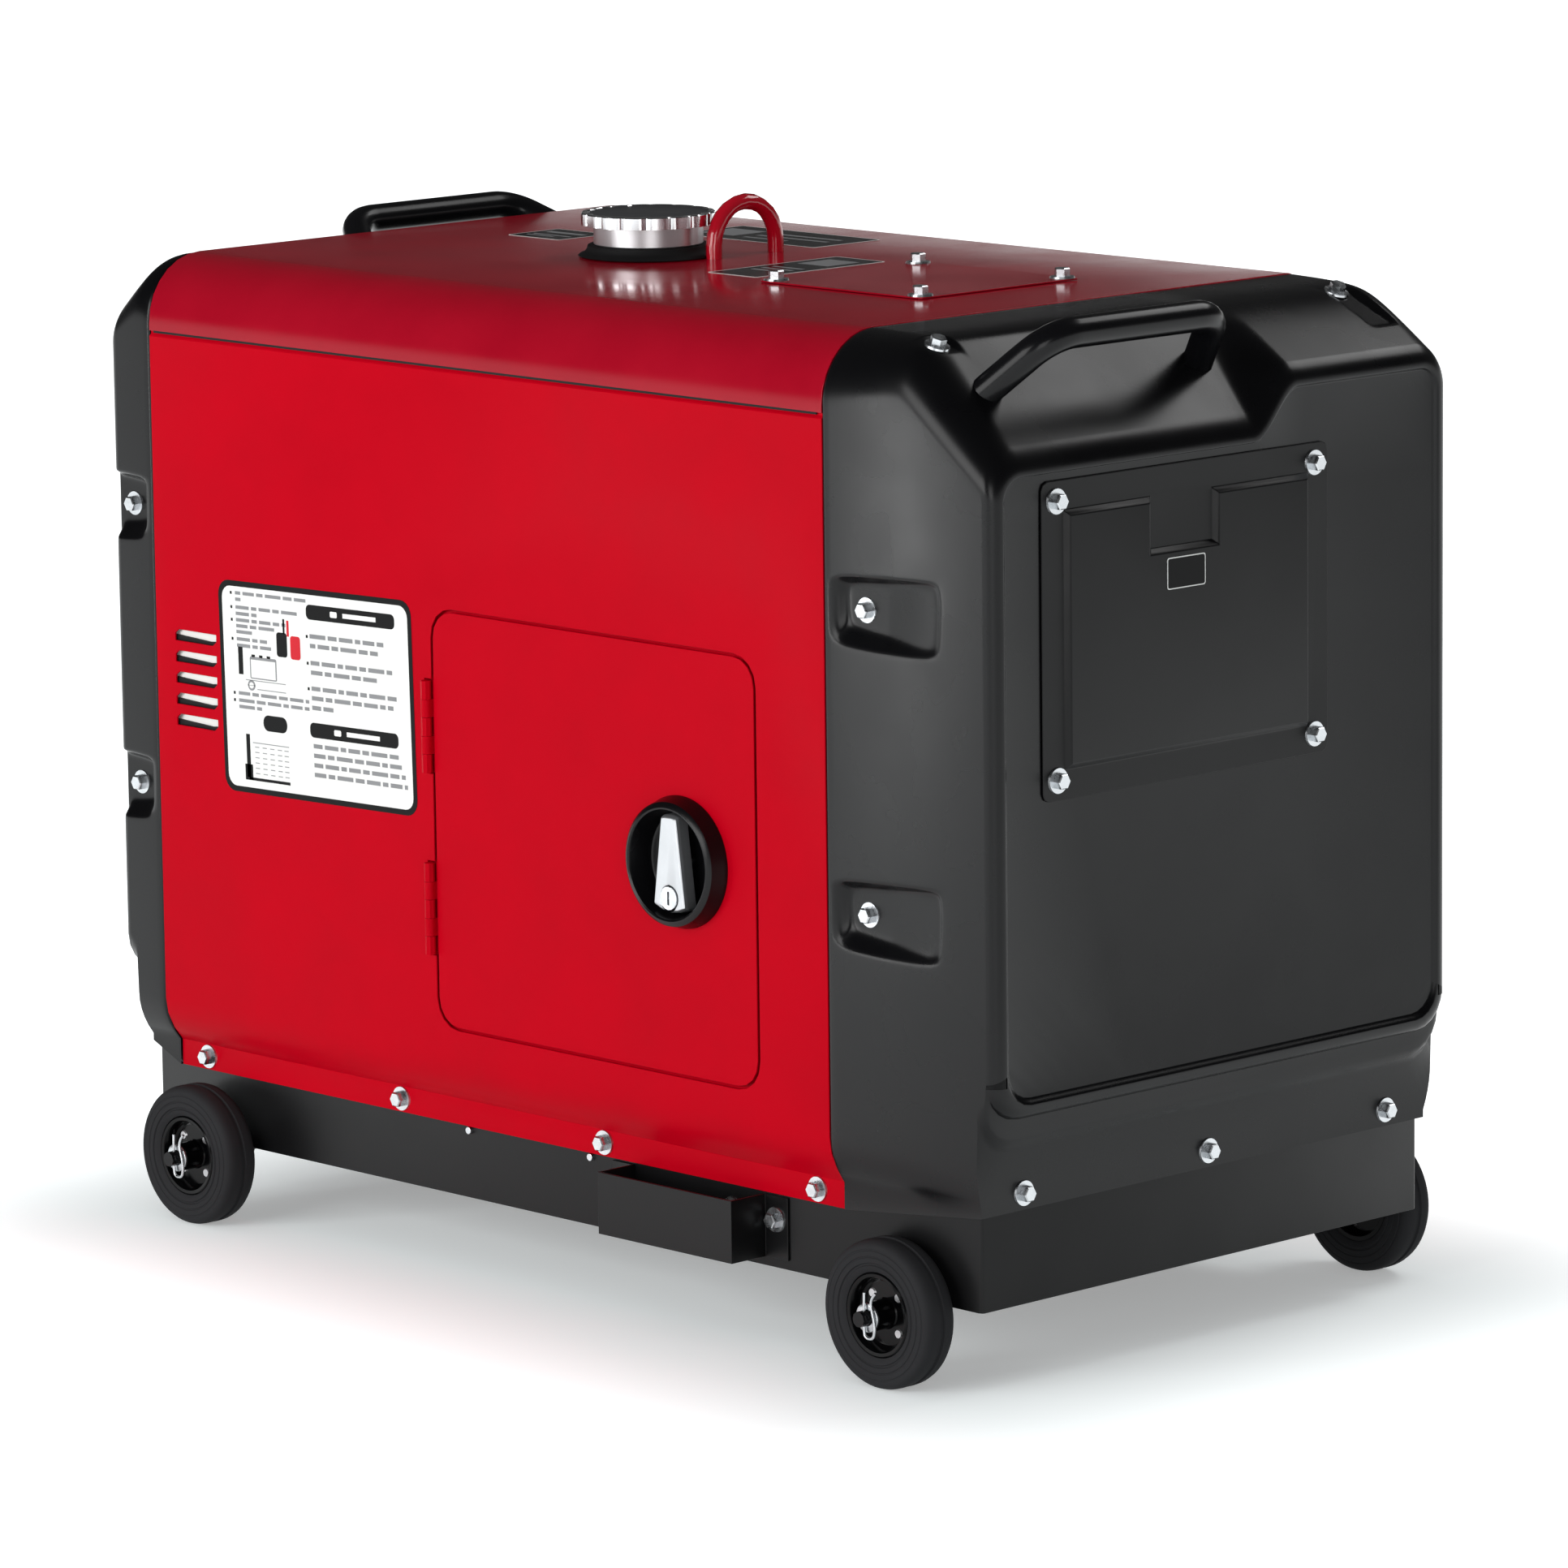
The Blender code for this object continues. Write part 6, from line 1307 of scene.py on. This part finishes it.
@dataclass
class Label:
    """Thin film with a border and plain bars in place of print."""

    name: str
    plane: Plane
    corner: Pair
    size: Pair
    level: float
    rim: float = 0.0016
    radius: float = 0.004
    dark: bool = False
    bars: tuple[Quad, ...] = ()
    marks: tuple[Mark, ...] = ()
    tilt: float = 0.0
    border_high: float = 0.00015
    field_high: float = 0.00020
    bar_high: float = 0.00025
    mark_high: float = 0.00026
    pale_high: float = 0.00034

    def place(self, low: Pair, high: Pair, depth: float) -> Box:
        """Turn a flat rectangle into a thin box on the label's face.

        Args:
            low: Lower corner on the face.
            high: Upper corner on the face.
            depth: Height of the film above the label's level.

        Returns:
            The box's lowest and highest corners.
        """
        (a0, b0), (a1, b1) = low, high
        if self.plane is Plane.LEFT:
            return (a0, -self.level - depth, b0), (a1, -self.level, b1)
        if self.plane is Plane.TOP:
            return (a0, b0, self.level), (a1, b1, self.level + depth)
        return (self.level, a0, b0), (self.level + depth, a1, b1)

    def share(self, left: float, low: float, wide: float, tall: float, depth: float) -> Box:
        """Place a rectangle given in shares of the label.

        Args:
            left: Its left edge.
            low: Its lower edge.
            wide: Its width.
            tall: Its height.
            depth: Height of the film above the label's level.

        Returns:
            The box's lowest and highest corners.
        """
        (a, b), (w, h) = self.corner, self.size
        return self.place((a + left * w, b + low * h), (a + (left + wide) * w, b + (low + tall) * h), depth)

    def build(self) -> None:
        """Lay the border, the field, the bars and the marks."""
        bm = bmesh.new()
        (a, b), (w, h), r, axis = self.corner, self.size, self.rim, self.plane.value
        soft_block(bm, *self.place((a, b), (a + w, b + h), self.border_high), self.radius, axis, Ink.BORDER)
        soft_block(bm, *self.place((a + r, b + r), (a + w - r, b + h - r), self.field_high),
                   self.radius - r * 0.6, axis, Ink.FIELD)
        for bar in self.bars:
            block(bm, *self.share(*bar, self.bar_high), Ink.GREY)
        for *spot, ink, rounding in self.marks:
            box = self.share(*spot, self.pale_high if ink is Ink.FIELD else self.mark_high)
            if rounding:
                soft_block(bm, *box, rounding, axis, ink)
            else:
                block(bm, *box, ink)
        if self.tilt:
            pivot = Matrix.Translation(self.place((a, b), (a, b), 0)[0])
            turn = Matrix.Rotation(self.tilt, 4, (0, -1, 0))
            bmesh.ops.transform(bm, verts=bm.verts[:], matrix=pivot @ turn @ pivot.inverted())
        finishes = [INK_WHITE, INK_BLACK] if self.dark else [INK_BLACK, INK_WHITE]
        settle(bm, self.name, finishes + [INK_GREY, FILM_RED], "machine", angle=40)


@dataclass
class Labels:
    """Plain films on the canopy; none carries words."""

    lengths: tuple[float, ...] = (0.060, 0.034, 0.082, 0.046, 0.070, 0.028)
    gap: float = 0.012
    data_tilt: float = math.radians(1.4)
    # Height and length of each line of print in the data film's two columns, as shares of the film.
    right_lines: tuple[Pair, ...] = (
        (0.77, 0.40), (0.725, 0.35), (0.645, 0.42), (0.60, 0.34), (0.525, 0.46), (0.48, 0.42), (0.435, 0.11),
        (0.255, 0.46), (0.21, 0.47), (0.165, 0.47), (0.12, 0.48))
    left_lines: tuple[Pair, ...] = (
        (0.935, 0.37), (0.905, 0.05), (0.868, 0.34), (0.838, 0.12), (0.808, 0.26), (0.780, 0.21),
        (0.752, 0.09), (0.718, 0.16), (0.688, 0.18), (0.462, 0.37), (0.428, 0.37), (0.398, 0.12))

    def words(self, left: float, low: float, wide: float, tall: float) -> list[Mark]:
        """Break a line into bars as long as words.

        Args:
            left: Start of the line, as a share of the film.
            low: Its height on the film.
            wide: Its length.
            tall: Height of the bars.

        Returns:
            Marks in grey ink.
        """
        # A line's height picks its first length, to vary where the lines break.
        made, place, count = [], left, int(1000 * low)
        while place < left + wide - self.gap:
            reach = min(self.lengths[count % len(self.lengths)], left + wide - place)
            made.append((place, low, reach, tall, Ink.GREY, 0.0))
            place += reach + self.gap
            count += 1
        return made

    def drawings(self) -> list[Mark]:
        """Draw the data film's small pictures: two leads and a battery, a clamp, a dipstick and its grid.

        Returns:
            Their marks.
        """
        black, pale, grey, red = Ink
        leads = [(0.335, 0.775, 0.010, 0.070, black, 0.0), (0.355, 0.765, 0.012, 0.075, red, 0.0),
                 (0.300, 0.665, 0.055, 0.115, black, 0.0025), (0.372, 0.660, 0.052, 0.110, red, 0.0025)]
        battery = [(0.095, 0.560, 0.024, 0.130, black, 0.0), (0.155, 0.545, 0.140, 0.105, grey, 0.0015),
                   (0.161, 0.551, 0.128, 0.085, pale, 0.0)]
        battery += [(left, 0.648, 0.018, 0.012, black, 0.0) for left in (0.165, 0.205, 0.245)]
        clamp = [(0.130, 0.535, 0.210, 0.004, grey, 0.0), (0.190, 0.495, 0.150, 0.004, grey, 0.0),
                 (0.140, 0.488, 0.040, 0.050, grey, 0.0042), (0.148, 0.498, 0.024, 0.030, pale, 0.0025)]
        gauge = [(0.215, 0.305, 0.125, 0.075, black, 0.0055), (0.120, 0.075, 0.020, 0.205, black, 0.0),
                 (0.110, 0.062, 0.040, 0.075, black, 0.0), (0.130, 0.062, 0.215, 0.014, black, 0.0),
                 (0.155, 0.240, 0.190, 0.004, grey, 0.0)]
        gauge += [(left, high, 0.022, 0.004, grey, 0.0) for high in (0.220, 0.195, 0.170, 0.145, 0.120, 0.095)
                  for left in (0.165, 0.205, 0.245, 0.285, 0.320)]
        return leads + battery + clamp + gauge

    def data_marks(self) -> list[Mark]:
        """Set out the data film: headings, lines of print, drawings and bullets.

        Returns:
            Its marks.
        """
        marks = [(0.46, high, 0.455, 0.070, Ink.BORDER, 0.0040) for high in (0.858, 0.305)]
        for high, wide in self.right_lines:
            marks += self.words(0.475, high, wide, 0.020)
        for high, wide in self.left_lines:
            marks += self.words(0.09, high, wide, 0.016)
        marks += self.drawings()
        bullets = [(0.063, high) for high in (0.935, 0.868, 0.808, 0.718, 0.462, 0.428)]
        bullets += [(0.455, high) for high in (0.77, 0.645, 0.525)]
        marks += [(left, high, 0.010, 0.014, Ink.BORDER, 0.0) for left, high in bullets]
        marks += [(0.585, high, 0.036, 0.028, Ink.FIELD, 0.0012) for high in (0.879, 0.326)]
        marks += [(0.650, high, 0.170, 0.022, Ink.FIELD, 0.0) for high in (0.882, 0.329)]
        return marks

    def build(self) -> None:
        """Lay every film."""
        Label("data_film", Plane.LEFT, (-0.3318, 0.3327), (0.2150, 0.1573), 0.2378, 0.0042, 0.0115,
              marks=tuple(self.data_marks()), tilt=self.data_tilt).build()
        near = ((0.2, 0.62, 0.6, 0.25), (0.2, 0.42, 0.6, 0.03), (0.2, 0.34, 0.6, 0.03),
                (0.2, 0.26, 0.4, 0.03))
        far = ((0.05, 0.25, 0.25, 0.5), (0.38, 0.62, 0.5, 0.07), (0.38, 0.42, 0.5, 0.07),
               (0.38, 0.22, 0.3, 0.07))
        rear = ((0.15, 0.6, 0.7, 0.12), (0.15, 0.35, 0.7, 0.05), (0.15, 0.22, 0.5, 0.05))
        for name, corner, size, rim, bars in (("near", (-0.016, -0.040), (0.052, 0.131), 0.0014, near),
                                              ("far", (-0.220, 0.120), (0.150, 0.070), 0.0014, far),
                                              ("rear", (-0.312, 0.033), (0.058, 0.052), 0.0012, rear)):
            Label(f"roof_film_{name}", Plane.TOP, corner, size, 0.7230, rim, 0.003, True, bars).build()
        Label("cover_badge", Plane.FRONT, (-0.060, 0.542), (0.038, 0.022), 0.4606, 0.0008, 0.002,
              True).build()


@dataclass
class Controls:
    """Control panel with its sockets, instruments and knobs."""

    socket_xs: Pair = (-0.312, -0.252)
    socket_z: float = 0.445
    socket_radius: float = 0.008
    contact_ys: Pair = (0.2262, 0.2300)
    window: Box = ((-0.323, 0.2280, 0.547), (-0.267, 0.2290, 0.585))
    knob: Point = (-0.222, 0.2256, 0.560)
    knob_turn: float = 135.0
    ticks: int = 11
    tick: Box = ((-0.0005, 0.0, 0.0215), (0.0005, 0.0002, 0.0250))

    def in_socket(self, p: Vector) -> bool:
        """Tell whether a point is on the contact in the middle of a weld socket.

        Args:
            p: The point.

        Returns:
            True on a contact.
        """
        low, high = self.contact_ys
        return low < p.y < high and any(math.hypot(p.x - x, p.z - self.socket_z) < self.socket_radius
                                        for x in self.socket_xs)

    def in_window(self, p: Vector) -> bool:
        """Tell whether a point is on the meter's window."""
        return all(low < place < high for low, place, high in zip(self.window[0], p, self.window[1]))

    def scale(self) -> None:
        """Print tick marks round the current knob."""
        bm = bmesh.new()
        centre = Matrix.Translation(self.knob)
        for i in range(self.ticks):
            angle = self.knob_turn * (2 * i / (self.ticks - 1) - 1)
            block(bm, *self.tick, 0, centre @ Matrix.Rotation(math.radians(angle), 4, "Y"))
        settle(bm, "knob_scale", [INK_WHITE], "machine")

    def build(self) -> None:
        """Refine the panel's pieces and print the knob's scale."""
        refined("control_panel", PANEL_GREY, "machine", 0.0005)
        refined("weld_sockets", INK_BLACK, "machine", 0.0004, 30, second=(BRASS, self.in_socket))
        refined("ac_sockets", INK_BLACK, "machine", 0.0005, 30)
        refined("instrument_plate", BLACK_COAT, "machine", 0.0004, 30,
                second=(METER_GLASS, self.in_window))
        refined("current_knob", INK_BLACK, "weld_knob", 0.0005, 30)
        refined("ignition_key", ZINC, "ignition", 0.0003, 30)
        refined("breaker_toggle", INK_BLACK, "breaker", 0.0003, 30)
        self.scale()


@dataclass
class Inside:
    """Power unit, tank, brackets and axles: the solids keep their form and get their finishes."""

    finishes: tuple[tuple[str, Finish], ...] = (
        ("engine_block", IRON), ("cylinder_head", CAP_DULL), ("fan_shroud", BLACK_COAT), ("crankshaft", ZINC),
        ("battery", CAP_ABS), ("engine_mounts_front", SEAL_RUBBER), ("engine_mounts_rear", SEAL_RUBBER),
        ("inner_frame", BLACK_COAT), ("fuel_tank", BLACK_COAT), ("cap_gasket", SEAL_RUBBER),
        ("door_frame", RED_COAT), ("door_liner", FOAM), ("hinge_upper", RED_COAT), ("hinge_lower", RED_COAT),
        ("axle_front", TUBE_COAT), ("axle_rear", TUBE_COAT))
    rounded: tuple[tuple[str, Finish, str], ...] = (
        ("alternator_housing", CAP_DULL, "cast_aluminium"), ("muffler", HOT_PAINT, "heat_paint"),
        ("exhaust_pipe", HOT_PAINT, "heat_paint"), ("air_filter", TUBE_COAT, "gloss_black"),
        ("oil_filter", TUBE_COAT, "gloss_black"), ("starter_motor", BLACK_COAT, "gloss_black"))

    def dress(self) -> None:
        """Give each solid its finish, and stand smooth copies in for the turned ones."""
        for name, finish in self.finishes:
            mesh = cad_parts[name].data
            mesh.materials.clear()
            mesh.materials.append(finish.material())
            LOG.info("%s is dressed", name)
        for name, finish, slot in self.rounded:
            refined(name, finish, "machine", 0.0)


# --------------------------------------------------------------------- studio
def maths(tree: NodeTree, operation: str, *values: object) -> NodeSocket:
    """Combine values with a Math node."""
    return add(tree, "Math", dict(enumerate(values)), operation=operation).outputs[0]


def vector_maths(tree: NodeTree, operation: str, *values: object) -> Node:
    """Combine vectors with a Vector Math node."""
    return add(tree, "VectorMath", dict(enumerate(values)), operation=operation)


def stand(name: str, data: bpy.types.ID, place: Matrix) -> Object:
    """Put a lamp or a camera in the scene.

    Args:
        name: Object name.
        data: The lamp's or camera's data.
        place: Where it stands and which way it looks.

    Returns:
        The new object.
    """
    holder = bpy.data.objects.new(name, data)
    bpy.context.collection.objects.link(holder)
    holder.matrix_world = place
    return holder


@dataclass(frozen=True)
class Lamp:
    """Soft rectangular lamp that faces the machine; its size is in metres and its power in watts."""

    name: str
    place: Point
    size: Pair
    power: float
    aim: Point = (0, 0, 0.35)

    def build(self) -> None:
        """Hang the lamp."""
        data = bpy.data.lights.new(self.name, "AREA")
        data.shape = "RECTANGLE"
        data.size, data.size_y = self.size
        data.energy = self.power
        ahead = Vector(self.aim) - Vector(self.place)
        turn = ahead.to_track_quat("-Z", "Y").to_matrix().to_4x4()
        stand(self.name, data, Matrix.Translation(self.place) @ turn)


@dataclass
class Studio:
    """Pale floor, soft lamps, white surround and the camera."""

    place: Point = (4.3854, -4.1748, 1.4125)
    yaw: float = 46.3
    pitch: float = -10.0
    roll: float = -0.7
    lens: float = 193.2
    sensor: float = 36.0
    reach: float = 200.0
    ambient: float = 0.36
    ceiling: float = 0.04
    horizon: Pair = (0.01, 0.08)
    floor_half: float = 60.0
    floor_tone: str = "EBF3F4"
    # The floor glows less near the machine's footprint and fully away from it: a painted shadow round the
    # machine that fades out with distance.
    glow: Pair = (0.30, 1.0)
    foot: Pair = (0.40, 0.22)
    fade: float = 0.40
    lamps: tuple[Lamp, ...] = (
        Lamp("key", (-0.2, -5.4, 1.9), (3.6, 2.4), 150), Lamp("front", (5.6, -4.4, 1.6), (2.6, 2.4), 74),
        Lamp("edge", (-0.94, -2.0, 0.45), (0.16, 0.7), 6.0), Lamp("back", (0.6, 3.4, 3.6), (2.4, 1.4), 42))

    def camera(self) -> None:
        """Set the camera."""
        yaw, pitch, roll = (math.radians(angle) for angle in (self.yaw, self.pitch, self.roll))
        ahead = Vector((-math.sin(yaw) * math.cos(pitch), math.cos(yaw) * math.cos(pitch), math.sin(pitch)))
        right = ahead.cross(Vector((0, 0, 1))).normalized()
        up = right.cross(ahead)
        across = right * math.cos(roll) + up * math.sin(roll)
        above = up * math.cos(roll) - right * math.sin(roll)
        data = bpy.data.cameras.new("view")
        data.lens = self.lens
        data.sensor_width = self.sensor
        data.clip_end = self.reach
        turn = Matrix((across, above, -ahead)).transposed().to_4x4()
        bpy.context.scene.camera = stand("view", data, Matrix.Translation(self.place) @ turn)

    def surround(self) -> None:
        """White to the eye and in low reflections, dark overhead in them, and a plain soft light besides."""
        world = bpy.data.worlds.new("surround")
        bpy.context.scene.world = world
        world.use_nodes = True
        tree = world.node_tree
        tree.nodes.clear()
        path = add(tree, "LightPath").outputs
        height = add(tree, "SeparateXYZ", {0: add(tree, "TexCoord").outputs["Generated"]}).outputs["Z"]
        low, high = self.horizon
        room = add(tree, "MapRange", {"Value": height, "From Min": low, "From Max": high, "To Min": 1.0,
                                      "To Max": self.ceiling}).outputs[0]
        white = linear("FFFFFF")
        plain, seen, mirrored = (add(tree, "Background", {"Color": white, "Strength": strength}).outputs[0]
                                 for strength in (self.ambient, 1.0, room))
        shiny = maths(tree, "MAXIMUM", path["Is Glossy Ray"], path["Is Transmission Ray"])
        bounced = add(tree, "MixShader", {0: shiny, 1: plain, 2: mirrored}).outputs[0]
        mix = add(tree, "MixShader", {0: path["Is Camera Ray"], 1: bounced, 2: seen}).outputs[0]
        add(tree, "OutputWorld", {"Surface": mix})

    def floor_paint(self) -> Material:
        """Mix the floor's pale paint.

        Returns:
            A matt material that also glows to the eye and in reflections, less near the machine: a painted
            shadow.
        """
        paint = bpy.data.materials.new("pale_floor")
        paint.use_nodes = True
        tree = paint.node_tree
        tree.nodes.clear()
        path = add(tree, "LightPath").outputs
        seen = maths(tree, "MAXIMUM", path["Is Camera Ray"], path["Is Glossy Ray"])
        seen = maths(tree, "MAXIMUM", seen, path["Is Transmission Ray"])
        size = vector_maths(tree, "ABSOLUTE", add(tree, "TexCoord").outputs["Object"]).outputs[0]
        past = vector_maths(tree, "SUBTRACT", size, (*self.foot, 0)).outputs[0]
        past = vector_maths(tree, "MAXIMUM", past, (0, 0, 0)).outputs[0]
        away = vector_maths(tree, "LENGTH", past).outputs["Value"]
        # Painted shadow: the glow is lowest at the machine's footprint.
        glow = add(tree, "MapRange", {"Value": away, "From Min": 0.0, "From Max": self.fade,
                                      "To Min": self.glow[0], "To Max": self.glow[1]},
                   interpolation_type="SMOOTHSTEP").outputs[0]
        strength = maths(tree, "MULTIPLY", seen, glow)
        matt = add(tree, "BsdfDiffuse", {"Color": linear(self.floor_tone)}).outputs[0]
        lift = add(tree, "Emission", {"Color": linear("FFFFFF"), "Strength": strength}).outputs[0]
        both = add(tree, "AddShader", {0: matt, 1: lift}).outputs[0]
        add(tree, "OutputMaterial", {"Surface": both})
        return paint

    def floor(self) -> None:
        """Lay a wide pale floor that keeps the shadow."""
        bm = bmesh.new()
        bmesh.ops.create_grid(bm, x_segments=1, y_segments=1, size=self.floor_half)
        mesh = bpy.data.meshes.new("floor")
        bm.to_mesh(mesh)
        bm.free()
        mesh.materials.append(self.floor_paint())
        floor = bpy.data.objects.new("floor", mesh)
        bpy.context.collection.objects.link(floor)

    def build(self) -> None:
        """Set the camera, the surround, the floor and the lamps."""
        self.camera()
        self.surround()
        self.floor()
        for lamp in self.lamps:
            lamp.build()


def main() -> None:
    """Build the pieces, dress the solids and set the studio."""
    bpy.context.scene.view_settings.view_transform = "Standard"
    logging.basicConfig(level=logging.INFO, format="%(message)s")
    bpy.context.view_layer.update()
    Canopy().build()
    Fasteners().build()
    for end, x in (("front", 0.3683), ("rear", -0.3683)):
        for hand, side in (("left", -1), ("right", 1)):
            Wheel(end, hand, x, side).build()
    Filler().build()
    Latch().build()
    Labels().build()
    Controls().build()
    Inside().dress()
    Studio().build()
    bpy.context.view_layer.update()


if __name__ == "__main__":
    main()
